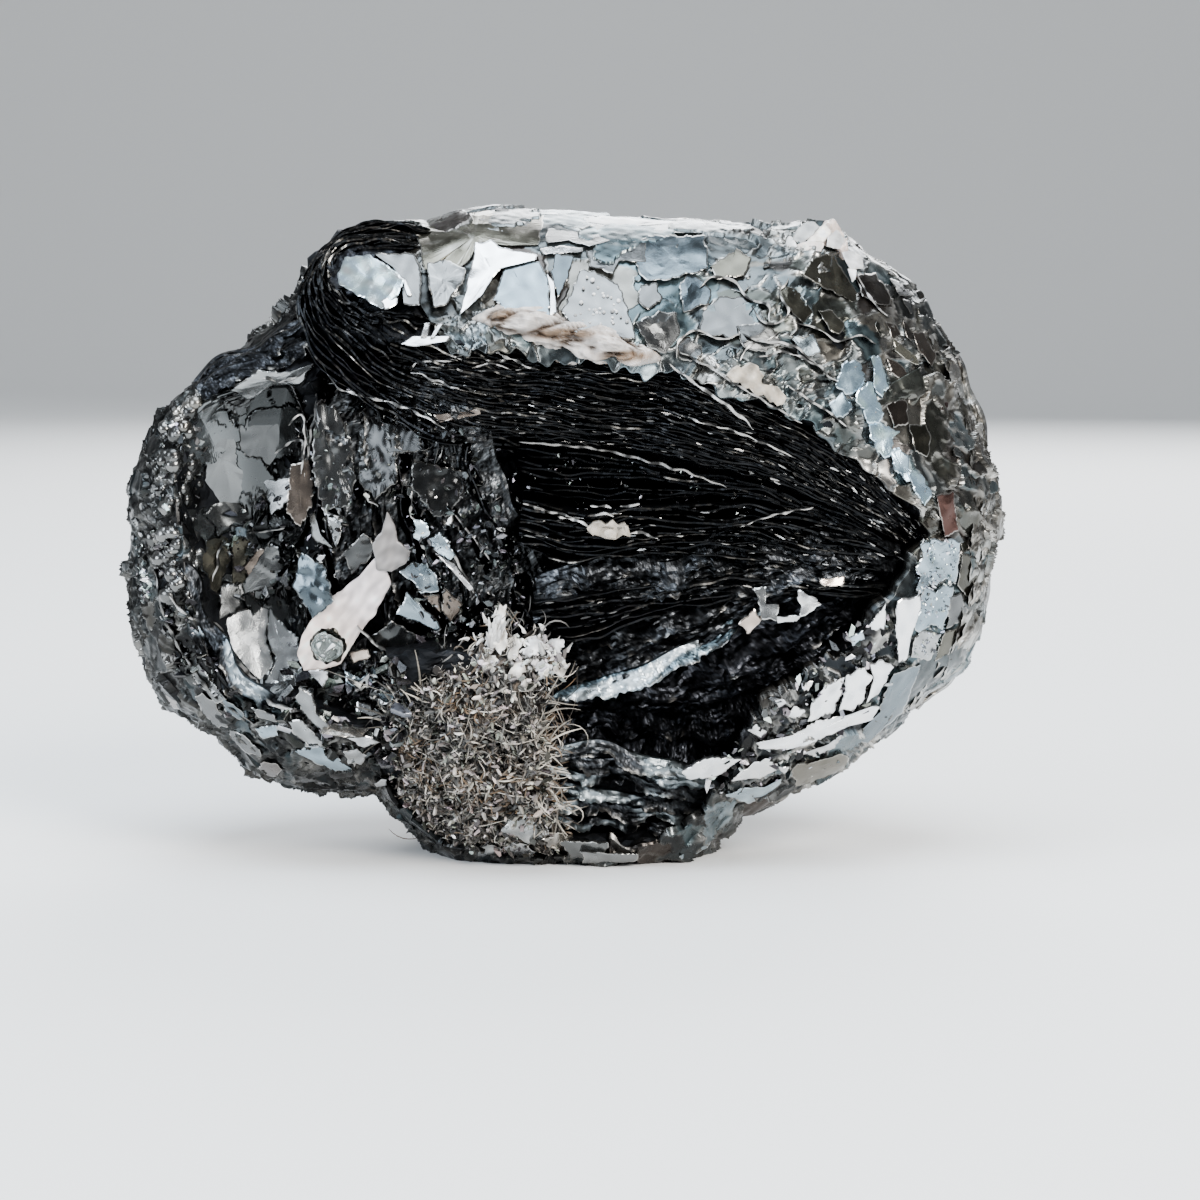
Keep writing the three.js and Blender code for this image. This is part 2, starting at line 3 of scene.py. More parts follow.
import bpy
import numpy as np
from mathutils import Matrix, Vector


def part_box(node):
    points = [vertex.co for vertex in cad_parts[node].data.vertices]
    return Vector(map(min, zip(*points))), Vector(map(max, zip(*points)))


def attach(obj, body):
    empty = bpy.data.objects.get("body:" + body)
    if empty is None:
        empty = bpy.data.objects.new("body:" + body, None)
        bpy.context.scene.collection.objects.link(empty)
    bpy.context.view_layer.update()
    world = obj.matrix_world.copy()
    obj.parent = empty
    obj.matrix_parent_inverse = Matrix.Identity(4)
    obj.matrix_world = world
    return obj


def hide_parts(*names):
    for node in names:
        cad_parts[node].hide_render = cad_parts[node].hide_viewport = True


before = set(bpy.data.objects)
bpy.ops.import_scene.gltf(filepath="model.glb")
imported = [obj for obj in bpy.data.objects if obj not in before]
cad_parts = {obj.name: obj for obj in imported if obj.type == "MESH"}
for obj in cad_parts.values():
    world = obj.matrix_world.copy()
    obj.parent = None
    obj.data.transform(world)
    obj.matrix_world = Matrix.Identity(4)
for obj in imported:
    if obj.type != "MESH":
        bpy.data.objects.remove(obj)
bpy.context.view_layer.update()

# ---- camera, floor and light ----
# A plain studio: a pale floor swept up behind, a long lens a little above the specimen's middle, a large soft
# key light from the right, a cool one overhead and a weak one from the left. Dim air keeps the metal dark
# between glints.

MM = 0.001
LENS_MM = 100
CAMERA_DISTANCE = 0.267
CAMERA_ELEVATION = math.radians(6)
AIM = Vector((0.00184, -0.005, 0.02096))

camera_data = bpy.data.cameras.new("camera")
camera_data.lens = LENS_MM
camera_data.sensor_width = 36
camera_data.clip_start = 0.01
camera = bpy.data.objects.new("camera", camera_data)
toward_camera = Vector((0, -math.cos(CAMERA_ELEVATION), math.sin(CAMERA_ELEVATION)))
camera.location = AIM + CAMERA_DISTANCE * toward_camera
camera.rotation_euler = toward_camera.to_track_quat("Z", "Y").to_euler()
bpy.context.scene.collection.objects.link(camera)
bpy.context.scene.camera = camera


def softbox(name, place, size, power, colour):
    """A square soft light at a place in metres, turned to face the specimen's middle."""
    light = bpy.data.lights.new(name, "AREA")
    light.size = size
    light.energy = power
    light.color = colour
    lamp = bpy.data.objects.new(name, light)
    lamp.location = place
    lamp.rotation_euler = (Vector(place) - Vector((0, 0, 0.025))).to_track_quat("Z", "Y").to_euler()
    bpy.context.scene.collection.objects.link(lamp)


softbox("key_light", (0.26, -0.42, 0.34), 0.24, 6.0, (1.0, 0.97, 0.93))
softbox("sky_light", (-0.02, -0.06, 0.52), 0.40, 6.0, (0.80, 0.90, 1.0))
softbox("left_light", (-0.46, -0.24, 0.20), 0.26, 3.2, (0.82, 0.90, 1.0))
softbox("back_light", (0.10, 0.50, 0.34), 0.36, 5.0, (0.95, 0.97, 1.0))

world = bpy.data.worlds.new("studio")
world.use_nodes = True
world.node_tree.nodes["Background"].inputs["Color"].default_value = (0.78, 0.82, 0.88, 1)
world.node_tree.nodes["Background"].inputs["Strength"].default_value = 0.30
bpy.context.scene.world = world

bend = np.linspace(0, np.pi / 2, 25)
sweep_y = np.concatenate([[-3.0], 0.7 + 0.5 * np.sin(bend), [1.2]])
sweep_z = np.concatenate([[0.0], 0.5 - 0.5 * np.cos(bend), [2.6]])
sweep_x = np.tile([[-3.0], [3.0]], (1, len(sweep_y)))
sweep = np.stack([sweep_x, np.tile(sweep_y, (2, 1)), np.tile(sweep_z, (2, 1))], -1)
steps = np.arange(len(sweep_y) - 1)
sweep_faces = np.stack([steps, len(sweep_y) + steps, len(sweep_y) + steps + 1, steps + 1], -1)
floor_mesh = bpy.data.meshes.new("floor")
floor_mesh.from_pydata(sweep.reshape(-1, 3).tolist(), [], sweep_faces.tolist())
floor_mesh.polygons.foreach_set("use_smooth", np.ones(len(sweep_faces), bool))
floor = bpy.data.objects.new("floor", floor_mesh)
floor_paint = bpy.data.materials.new("floor_paint")
floor_paint.use_nodes = True
floor_paint.node_tree.nodes["Principled BSDF"].inputs["Base Color"].default_value = (0.78, 0.78, 0.77, 1)
floor_paint.node_tree.nodes["Principled BSDF"].inputs["Roughness"].default_value = 0.85
floor_mesh.materials.append(floor_paint)
bpy.context.scene.collection.objects.link(floor)

# ---- nodule ----
# The body that everything grows from: pitted, rough-broken molybdenite, open at the front and with a dish at
# the left, painted near-black as the shade in its hollows. Most of it is covered by scales and leaves. It is
# one closed skin of rings round the specimen's middle.

CENTRE_Z = 26.5
FRONT_CROWN = 16.0
BACK_CROWN = 19.0
CROWN_FLATNESS = 2.6
CROWN_EDGE = 0.6
HOLLOW_FLOOR = -4.5
DISH_FLOOR = -2.2
OUTLINE = np.array([
    [34.0, 26.2], [33.9, 29.8], [32.6, 33.4], [31.2, 36.6], [30.5, 40.2], [28.5, 43.2], [26.6, 46.2],
    [23.4, 48.2], [20.4, 50.6], [16.8, 50.5], [12.0, 50.9], [7.0, 51.2], [1.7, 51.5], [-3.7, 51.9],
    [-6.8, 52.2], [-9.6, 51.9], [-12.0, 51.0], [-15.4, 50.9], [-18.9, 50.7], [-21.3, 48.8], [-22.4, 45.5],
    [-24.2, 43.1], [-26.6, 41.0], [-29.5, 38.9], [-32.7, 36.5], [-34.8, 33.4], [-36.4, 29.9], [-36.1, 26.2],
    [-36.3, 22.6], [-36.1, 18.7], [-35.2, 15.0], [-33.4, 11.8], [-29.4, 9.8], [-27.2, 7.0], [-24.0, 5.5],
    [-20.0, 5.0], [-16.4, 4.8], [-14.4, 2.6], [-11.9, 0.2], [-9.4, -2.6], [0.0, -3.2], [9.6, -2.6],
    [11.6, 0.9], [13.6, 3.0], [17.4, 4.9], [21.0, 6.4], [23.5, 8.4], [26.1, 10.5], [28.6, 13.0],
    [31.7, 15.6], [33.0, 19.0], [33.5, 22.6],
])
OPENING = np.array([
    [-20.6, 41.6], [-14.0, 41.9], [-8.6, 41.4], [-1.4, 41.1], [5.8, 40.2], [11.4, 38.7], [17.4, 36.3],
    [22.4, 33.0], [26.6, 29.2], [28.2, 26.6], [26.4, 22.8], [23.2, 19.0], [19.0, 15.6], [15.0, 12.8],
    [13.2, 9.0], [12.0, 4.4], [8.0, 1.8], [-2.6, 1.8], [-3.0, 10.0], [-4.6, 17.0], [-12.0, 17.8],
    [-19.4, 16.6], [-21.2, 22.4], [-20.6, 30.0], [-20.2, 36.0],
])
DISH = np.array([
    [-30.4, 36.6], [-26.4, 38.2], [-22.8, 38.8], [-21.4, 36.0], [-21.6, 30.0], [-22.4, 25.4], [-21.4, 20.0],
    [-21.8, 14.6], [-25.2, 13.4], [-28.6, 16.6], [-30.2, 21.6], [-31.0, 27.0], [-31.6, 32.0],
])
DISH_MIDDLE = np.array([-26.2, 26.4])
SADDLE = np.array([
    [-22.6, 38.4], [-19.2, 38.6], [-18.4, 28.0], [-17.6, 19.0], [-14.4, 17.2], [-13.6, 13.6], [-15.2, 10.6],
    [-19.6, 11.6], [-23.2, 13.4], [-24.0, 20.0], [-23.6, 30.0],
])
SADDLE_FLOOR = -6.6


def radius_of(outline, middle, angle):
    """Radius of a closed outline at an angle round its middle, straight in angle from corner to corner."""
    arms = outline - middle
    angles = np.arctan2(arms[:, 1], arms[:, 0]) % (2 * np.pi)
    order = np.argsort(angles)
    return np.interp(angle % (2 * np.pi), angles[order], np.hypot(*arms[order].T), period=2 * np.pi)


def reach(heading):
    """How far the nodule's outline lies from its middle along a heading in the plane of the front."""
    return radius_of(OUTLINE, np.array([0, CENTRE_Z]), heading)


def crown(share):
    """Share of the bulge left at a share of the way out: (1 - share^flatness)^edge, one in the middle."""
    return (1 - np.clip(share, 0, 1) ** CROWN_FLATNESS) ** CROWN_EDGE


def lumps(x, z):
    """Gentle lumps, from three crossed waves."""
    return (0.55 * np.sin(0.34 * x + 0.9) * np.cos(0.29 * z - 0.4) + 0.35 * np.sin(0.61 * x - 0.47 * z)
            + 0.2 * np.sin(0.9 * z + 1.3))


def share_at(x, z):
    """Share of the way out from the middle to the outline at x and z."""
    return np.hypot(x, z - CENTRE_Z) / reach(np.arctan2(z - CENTRE_Z, x))


def front_at(x, z):
    """y of the whole front: the front bulge, lumped, times what the crown leaves at that share of the way
    out."""
    return -crown(share_at(x, z)) * (FRONT_CROWN + 1.2 * lumps(x, z))


def back_at(x, z):
    """y of the back, in the same way."""
    return crown(share_at(x, z)) * (BACK_CROWN + 2.4 * lumps(x + 9, z + 5))


def swell(points, wavelength, seed, waves=10):
    """A smooth random height at each point, mostly between -1 and 1: sine waves of one length that run in
    random directions with random phases, summed and divided by the square root of their number."""
    dice = np.random.default_rng(seed)
    ways = dice.normal(size=(waves, points.shape[-1]))
    ways *= 2 * np.pi / wavelength / np.linalg.norm(ways, axis=1, keepdims=True)
    return np.sin(points @ ways.T + dice.uniform(0, 2 * np.pi, waves)).sum(-1) / math.sqrt(waves)


def inside(x, z, outline):
    """Whether each x, z is inside a closed outline: a ray to the right crosses its edges an odd number of
    times."""
    ax, az = outline[:, 0], outline[:, 1]
    bx, bz = np.roll(ax, -1), np.roll(az, -1)
    x, z = x[..., None], z[..., None]
    crosses = (az > z) != (bz > z)
    return (crosses & (x < (bx - ax) * (z - az) / np.where(bz == az, 1, bz - az) + ax)).sum(-1) % 2 == 1


def depth_inside(x, z, outline):
    """How far each x, z is from the nearest edge of an outline, negative outside it."""
    a, b = outline, np.roll(outline, -1, axis=0)
    p = np.stack([x, z], -1)[..., None, :]
    along = np.clip(((p - a) * (b - a)).sum(-1) / ((b - a) ** 2).sum(-1), 0, 1)
    gap = np.linalg.norm(p - a - along[..., None] * (b - a), axis=-1).min(-1)
    return np.where(inside(x, z, outline), gap, -gap)


def ease(share):
    """Smooth step from 0 to 1: 3 s^2 - 2 s^3."""
    share = np.clip(share, 0, 1)
    return share * share * (3 - 2 * share)


def broken_front(x, z):
    """y of the front once it is broken: the whole front, let in to the hollow's floor, to the dish's bowl and
    to the low saddle between them."""
    y = front_at(x, z)
    hollow = np.maximum(y, HOLLOW_FLOOR)
    y = y + (hollow - y) * ease(depth_inside(x, z, OPENING) / 1.0)
    heading = np.arctan2(z - DISH_MIDDLE[1], x - DISH_MIDDLE[0])
    share = np.hypot(x - DISH_MIDDLE[0], z - DISH_MIDDLE[1]) / radius_of(DISH, DISH_MIDDLE, heading)
    bowl = np.maximum(y, DISH_FLOOR - 3.6 * share ** 3)
    y = np.where(share < 1.05, y + (bowl - y) * ease((1.05 - share) / 0.12), y)
    return y + (np.maximum(y, SADDLE_FLOOR) - y) * ease(depth_inside(x, z, SADDLE) / 1.0)


def build(name, points, *face_sets, tone=None, smooth=False):
    """A mesh object from points in millimetres and rows of corner numbers, with a colour kept at each
    point."""
    mesh = bpy.data.meshes.new(name)
    corners = np.concatenate([np.asarray(rows).ravel() for rows in face_sets]).astype(np.int32)
    sizes = np.concatenate([np.full(len(rows), np.shape(rows)[1]) for rows in face_sets])
    mesh.vertices.add(len(points))
    mesh.loops.add(len(corners))
    mesh.polygons.add(len(sizes))
    mesh.vertices.foreach_set("co", (points * MM).astype(np.float32).ravel())
    mesh.polygons.foreach_set("loop_start", np.concatenate([[0], np.cumsum(sizes)[:-1]]).astype(np.int32))
    mesh.polygons.foreach_set("vertices", corners)
    mesh.polygons.foreach_set("use_smooth", np.full(len(sizes), smooth))
    mesh.update(calc_edges=True)
    if tone is not None:
        kept = mesh.attributes.new("tone", "FLOAT_COLOR", "POINT")
        colours = np.ones((len(points), 4), np.float32)
        colours[:, :np.shape(tone)[-1]] = tone
        kept.data.foreach_set("color", colours.ravel())
    piece = bpy.data.objects.new(name, mesh)
    bpy.context.scene.collection.objects.link(piece)
    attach(piece, "root")
    return piece


def grid(rows, columns, closed=False):
    """Corner numbers of the four-sided faces of a grid of points, row after row; closed joins the last column
    to the first."""
    r, c = np.meshgrid(np.arange(rows - 1), np.arange(columns if closed else columns - 1), indexing="ij")
    here, right = r * columns + c, r * columns + (c + 1) % columns
    return np.stack([here, right, right + columns, here + columns], -1).reshape(-1, 4)


def tubes(count, rings, around, turned=False):
    """Walls and end caps of many tubes, whose corners follow one another ring by ring. Turned, all of them
    face the other way."""
    start = np.arange(count)[:, None] * rings * around
    corner = np.arange(around)
    walls = (start[:, None] + grid(rings, around, closed=True)).reshape(-1, 4)
    caps = np.concatenate([start + corner[::-1], start + (rings - 1) * around + corner])
    return (walls[:, ::-1], caps[:, ::-1]) if turned else (walls, caps)


def unit(vectors):
    """Each vector cut down to length one."""
    return vectors / np.linalg.norm(vectors, axis=-1, keepdims=True)


def nodule_skin(headings=240, front_rings=96, back_rings=40):
    """Rings of points from the middle of the front, out over the outline, to the middle of the back. Each
    ring is at one share of the way out, and y is the broken front's or the back's. Below the foot, z is held
    at the floor."""
    heading = np.linspace(0, 2 * np.pi, headings, endpoint=False)
    front = np.sin(np.linspace(0.004, 1, front_rings) * np.pi / 2)
    back = np.sin(np.linspace(1, 0.004, back_rings) * np.pi / 2)[1:]
    share = np.concatenate([front, back])[:, None]
    x = share * (reach(heading) * np.cos(heading))
    z = CENTRE_Z + share * (reach(heading) * np.sin(heading))
    y = np.concatenate([broken_front(x[:front_rings], z[:front_rings]),
                        back_at(x[front_rings:], z[front_rings:])])
    points = np.stack([x, y, z], -1)
    rough = 0.28 * swell(points, 3.1, 11) + 0.16 * swell(points, 1.2, 12)
    points = points + unit(points - [0, 1.5, CENTRE_Z]) * (rough - 0.35)[..., None]
    points[..., 2] = np.maximum(points[..., 2], 0)
    return points.reshape(-1, 3), tubes(1, len(share), headings, turned=True)


def new_node(paint, kind, **inputs):
    """A new node of a material, with some inputs set. An underscore stands for a space in an input's name."""
    made = paint.node_tree.nodes.new("ShaderNode" + kind)
    for entry, setting in inputs.items():
        made.inputs[entry.replace("_", " ")].default_value = setting
    return made


def join(source, output, target, entry):
    """A link from one node's output to another's input."""
    source.id_data.links.new(source.outputs[output], target.inputs[entry])


def toned_paint(name, grain, detail, darkest, lightest):
    """A material in the colour kept at each point, times a noise that runs from a darkest share to a
    lightest. Gives the material, its shader, its place node and the noise."""
    paint = bpy.data.materials.new(name)
    paint.use_nodes = True
    shader = paint.node_tree.nodes["Principled BSDF"]
    place = new_node(paint, "TexCoord")
    kept = new_node(paint, "Attribute")
    kept.attribute_name = "tone"
    mottle = new_node(paint, "TexNoise", Scale=grain, Detail=detail)
    shade = new_node(paint, "MapRange", To_Min=darkest, To_Max=lightest)
    tinted = new_node(paint, "VectorMath")
    tinted.operation = "SCALE"
    join(place, "Object", mottle, "Vector")
    join(mottle, "Fac", shade, "Value")
    join(kept, "Color", tinted, 0)
    join(shade, "Result", tinted, "Scale")
    join(tinted, "Vector", shader, "Base Color")
    return paint, shader, place, mottle


def metal(name, roughness=0.3, dullest=0.2, grain=900.0, dent=0.25, metallic=1.0, mottling=0.34):
    """Cleaved molybdenite. Its colour is the one kept at each point, mottled a little, and its roughness
    wanders; fine grain and faint ripples dent it."""
    paint, shader, place, mottle = toned_paint(name, grain, 4, 1 - mottling, 1 + 0.85 * mottling)
    gloss = new_node(paint, "MapRange", From_Min=0.3, From_Max=0.7, To_Min=roughness,
                     To_Max=roughness + dullest)
    ripple = new_node(paint, "TexNoise", Scale=grain * 2.2, Detail=3)
    bump = new_node(paint, "Bump", Strength=dent, Distance=0.00012)
    join(mottle, "Fac", gloss, "Value")
    join(gloss, "Result", shader, "Roughness")
    join(place, "Object", ripple, "Vector")
    join(ripple, "Fac", bump, "Height")
    join(bump, "Normal", shader, "Normal")
    shader.inputs["Metallic"].default_value = metallic
    return paint


body_points, body_faces = nodule_skin()
# The nodule's near-black tone is painted shade for the hollows where it shows.
body_shade_tone = np.array([0.014, 0.015, 0.017]) * (1 + 0.5 * swell(body_points, 2.0, 13))[:, None]
nodule = build("nodule", body_points, *body_faces, tone=np.clip(body_shade_tone, 0.008, 1))
nodule.data.materials.append(metal("shaded_broken_metal", roughness=0.42, dullest=0.3, dent=0.6))
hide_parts("molybdenite")

# ---- shell ----
# The crust round the top, right side and foot: a mosaic of flat cleavage faces, 1 to 5 mm across, each a
# little askew, parted by thin curled ridges painted pale as highlights. Tarnish gives the faces most of their
# tints, drawn by zone; the bright tint paints reflections of the lights and the black one paints shade. It is
# grown onto the nodule.

# The bright tint paints reflections of the lights and the black one paints shade.
TINTS = np.array([
    [0.058, 0.090, 0.101],  # steel blue
    [0.032, 0.038, 0.041],  # slate
    [0.070, 0.078, 0.080],  # grey
    [0.0336, 0.0322, 0.021],  # olive
    [0.0336, 0.021, 0.0154],  # brown
    [0.140, 0.124, 0.102],  # beige
    [0.22, 0.28, 0.31],  # bright
    [0.007, 0.0077, 0.0091],  # black
])
# Zones of the shell as x, z, spread in millimetres, then how much of each tint above they hold.
ZONES = np.array([
    [-8.0, 50.0, 4.5, 0.2, 0.5, 1.6, 0.4, 0.9, 0.3, 0.1, 0.1],
    [3.0, 50.5, 5.0, 2.4, 0.3, 1.0, 0.0, 0.0, 0.2, 0.5, 0.0],
    [6.0, 45.5, 4.5, 2.4, 0.8, 1.0, 0.1, 0.1, 0.4, 0.4, 0.1],
    [14.0, 45.0, 5.5, 1.5, 1.4, 1.1, 0.8, 0.3, 0.4, 0.3, 0.3],
    [23.0, 44.0, 5.0, 0.5, 1.2, 0.6, 1.6, 1.0, 0.4, 0.1, 0.4],
    [25.0, 36.0, 4.0, 1.4, 1.0, 0.6, 1.0, 0.7, 0.3, 0.6, 0.5],
    [29.5, 36.0, 3.5, 0.2, 0.5, 0.4, 1.9, 1.9, 0.9, 0.1, 0.3],
    [29.5, 28.0, 3.5, 0.5, 0.5, 0.5, 1.0, 1.8, 1.1, 0.2, 0.2],
    [33.5, 30.0, 3.0, 0.5, 0.3, 0.8, 0.3, 0.5, 2.2, 0.6, 0.1],
    [27.5, 18.0, 3.5, 2.6, 0.3, 1.0, 0.0, 0.1, 0.4, 0.9, 0.0],
    [33.0, 19.0, 3.5, 0.4, 1.0, 1.2, 0.5, 0.9, 1.2, 0.1, 0.2],
    [21.0, 9.0, 4.0, 0.8, 0.8, 0.8, 0.1, 0.3, 0.5, 1.0, 1.4],
    [14.6, 8.0, 2.6, 0.1, 0.3, 0.1, 0.0, 0.0, 0.0, 0.0, 9.0],
    [18.6, 12.4, 3.0, 0.1, 0.3, 0.1, 0.0, 0.0, 0.0, 0.0, 9.0],
    [23.0, 18.0, 2.8, 0.1, 0.3, 0.1, 0.0, 0.0, 0.0, 0.0, 9.0],
    [6.0, 2.0, 6.0, 0.4, 1.0, 0.8, 0.5, 0.9, 0.6, 0.1, 1.4],
    [-20.0, 46.0, 5.0, 0.2, 0.6, 0.2, 0.1, 0.1, 0.0, 0.1, 3.0],
    [-34.0, 28.0, 6.0, 0.3, 0.9, 0.7, 0.3, 0.2, 0.2, 0.25, 2.2],
    [-30.0, 12.0, 6.0, 0.4, 0.9, 0.8, 0.4, 0.4, 0.3, 0.3, 1.8],
])
# Places where the shell's faces are broad and smooth, as x, z, spread.
CALM = np.array([
    [-7.0, 50.5, 6.5], [1.0, 50.4, 5.0], [7.0, 49.5, 4.5], [1.8, 44.6, 4.5], [10.6, 45.0, 4.0],
    [27.6, 21.0, 3.6], [26.6, 15.0, 3.2], [22.6, 45.6, 2.6], [26.8, 34.6, 2.6],
])
# A pale tone painted on ridges and bevels as their highlight.
RIDGE_HIGHLIGHT = np.array([0.60, 0.58, 0.54])
GOLDEN_ANGLE = math.pi * (3 - math.sqrt(5))
CRUST_BACK_SHARE = 0.86
BACK_CRUST_SHARE = 0.90


def skin(toward):
    """The point of the nodule's skin that each direction from its middle is carried to: the turn about Y
    picks a ray of the outline, and the lean out of that plane says how far round to the front or back it
    goes."""
    heading = np.arctan2(toward[..., 2], toward[..., 0])
    share = np.hypot(toward[..., 0], toward[..., 2])
    x = share * reach(heading) * np.cos(heading)
    z = CENTRE_Z + share * reach(heading) * np.sin(heading)
    edge = crown(share)
    front = -edge * (FRONT_CROWN + 1.2 * lumps(x, z))
    back = edge * (BACK_CROWN + 2.4 * lumps(x + 9, z + 5))
    return np.stack([x, np.where(toward[..., 1] < 0, front, back), z], -1)


def across(normal):
    """Two directions at right angles to each normal and to each other."""
    up = np.where(np.abs(normal[..., 2:]) > 0.97, [1.0, 0.0, 0.0], [0.0, 0.0, 1.0])
    first = unit(np.cross(up, normal))
    return first, np.cross(normal, first)


def skin_normal(toward, step=0.05):
    """The skin's outward normal, from the cross product of two short steps along it."""
    first, second = across(toward)
    right = skin(unit(toward + step * first)) - skin(unit(toward - step * first))
    up = skin(unit(toward + step * second)) - skin(unit(toward - step * second))
    return unit(np.cross(right, up))


def spread_over_skin(count, seed):
    """Directions that are spread over the skin by its area: a sunflower spiral of many, of which each is kept
    with a chance equal to its patch's area over the largest."""
    dice = np.random.default_rng(seed)
    many = 5 * count
    depth = 1 - 2 * (np.arange(many) + 0.5) / many
    flat, turn = np.sqrt(1 - depth ** 2), np.arange(many) * GOLDEN_ANGLE
    spiral = np.stack([flat * np.cos(turn), depth, flat * np.sin(turn)], -1)
    toward = unit(spiral + dice.normal(0, 0.012, (many, 3)))
    first, second = across(toward)
    area = np.linalg.norm(np.cross(skin(unit(toward + 0.02 * first)) - skin(toward),
                                   skin(unit(toward + 0.02 * second)) - skin(toward)), axis=-1)
    kept = dice.random(many) < area / np.quantile(area, 0.97) * count / many * 2.2
    return toward[kept]


def tint_shares(points):
    """How much of each tint each point's place holds: zones count by nearness, exp(-distance^2 / spread^2). A
    faint steady nearness lets far zones mix in on the sides and back."""
    away = np.hypot(points[:, None, 0] - ZONES[:, 0], points[:, None, 2] - ZONES[:, 1]) / ZONES[:, 2]
    near = np.exp(-away ** 2) + np.where(points[:, 1:2] > 2, 0.08, 0.002)
    shares = near @ ZONES[:, 3:]
    return shares / shares.sum(1, keepdims=True)


def draw_tints(points, seed):
    """A tint for each point, drawn by its place's shares, mixed with their mean, and a little lighter or
    darker."""
    dice = np.random.default_rng(seed)
    shares = tint_shares(points)
    drawn = (np.cumsum(shares, 1) < dice.random(len(points))[:, None]).sum(1)
    tint = 0.6 * TINTS[np.minimum(drawn, len(TINTS) - 1)] + 0.4 * shares @ TINTS
    return np.clip(tint * dice.uniform(0.7, 1.25, (len(points), 1)), 0.01, 0.9)


def nearest_two(points, seeds):
    """For each point, the number of its nearest seed and the distances to its two nearest, by squared
    distances taken a slab of points at a time."""
    first = np.empty(len(points), np.int64)
    gaps = np.empty((len(points), 2))
    for start in range(0, len(points), 6000):
        slab = points[start:start + 6000].astype(np.float32)
        squares = (slab ** 2).sum(1)[:, None] - 2 * slab @ seeds.T.astype(np.float32) + (seeds ** 2).sum(1)
        order = np.argpartition(squares, 1, axis=1)[:, :2]
        two = np.take_along_axis(squares, order, 1)
        swap = two[:, 0] > two[:, 1]
        order[swap], two[swap] = order[swap][:, ::-1], two[swap][:, ::-1]
        first[start:start + 6000] = order[:, 0]
        gaps[start:start + 6000] = np.sqrt(np.maximum(two, 0))
    return first, gaps


def mosaic(points, seeds, seed, step, lean, ridge, ridge_width, wander):
    """Flat faces round seeds: a point's height is its nearest seed's own height plus its own slope times the
    way from the seed, and between faces a thin ridge rises as exp(-(gap / width)^2), where gap is how much
    farther the second seed is. The points are first wandered by waves, so that borders curl. Gives height,
    ridge share, seed."""
    dice = np.random.default_rng(seed)
    waves = [swell(points, 3.0, seed + k) + 0.22 * swell(points, 0.8, seed + k + 3) for k in (1, 2, 3)]
    wandered = points + wander * np.stack(waves, -1)
    nearest, gaps = nearest_two(wandered, seeds)
    own_height = dice.uniform(-step, step, len(seeds))
    own_slope = unit(dice.normal(size=(len(seeds), 3))) * lean * np.sqrt(dice.random((len(seeds), 1)))
    height = own_height[nearest] + (own_slope[nearest] * (points - seeds[nearest])).sum(1)
    gap = gaps[:, 1] - gaps[:, 0]
    broken = ease(swell(points, 3.0, seed + 5) + 0.75)
    wall = np.exp(-(gap / ridge_width) ** 2) * broken
    return height + ridge * wall, wall, nearest


def crust_relief(base, normal, seed, face_size, ridge_highlight, shade):
    """The crust's skin over rows and columns of base points: two mosaics, coarse and fine, and small waves
    displace it along the normal. Seeds are drawn by area, which is a row's step times a column's. Gives
    points and tones."""
    dice = np.random.default_rng(seed)
    row_step, column_step = (np.linalg.norm(np.gradient(base, axis=axis), axis=-1) for axis in (0, 1))
    area = row_step * column_step
    base, normal, area = base.reshape(-1, 3), normal.reshape(-1, 3), area.ravel()
    away = np.hypot(base[:, None, 0] - CALM[:, 0], base[:, None, 2] - CALM[:, 1]) / CALM[:, 2]
    calm = np.where(base[:, 1] < 3, np.clip(1.4 * np.exp(-away ** 2).sum(1), 0, 1), 0)
    chance = area * (1 - 0.8 * calm)
    chance /= chance.sum()
    coarse = base[dice.choice(len(base), int(area.sum() / face_size ** 2), replace=False, p=chance)]
    fine = base[dice.choice(len(base), int(5 * area.sum() / face_size ** 2), replace=False, p=chance)]
    big, wall, face = mosaic(base, coarse, seed + 10, 0.22, 0.24, 0.20, 0.17, 0.5)
    small, small_wall, small_face = mosaic(base, fine, seed + 20, 0.12, 0.34, 0.12, 0.14, 0.3)
    broken = ease(swell(base, 6.5, seed + 30) * 0.9 + 0.35) * (1 - calm)
    height = 0.2 + big * (1 - 0.6 * calm) + broken * small + 0.015 * swell(base, 0.9, seed + 31)
    walls = np.clip(wall + broken * small_wall, 0, 1)[:, None]
    tone = draw_tints(coarse, seed + 32)[face] * (1 - 0.45 * broken[:, None])
    tone += 0.45 * broken[:, None] * draw_tints(fine, seed + 33)[small_face]
    # Painted light: shade darkens the whole patch, broad waves paint soft shading over the faces, and the
    # ridges are painted towards the ridge highlight.
    tone = shade * tone * np.exp(0.22 * swell(base, 2.4, seed + 34))[:, None]
    tone = tone + (ridge_highlight - tone) * (0.2 + 0.7 * ease(swell(base, 4.0, seed + 35)))[:, None] * walls
    points = base + normal * height[:, None]
    points[:, 2] = np.maximum(points[:, 2], 0.02)
    return points, tone


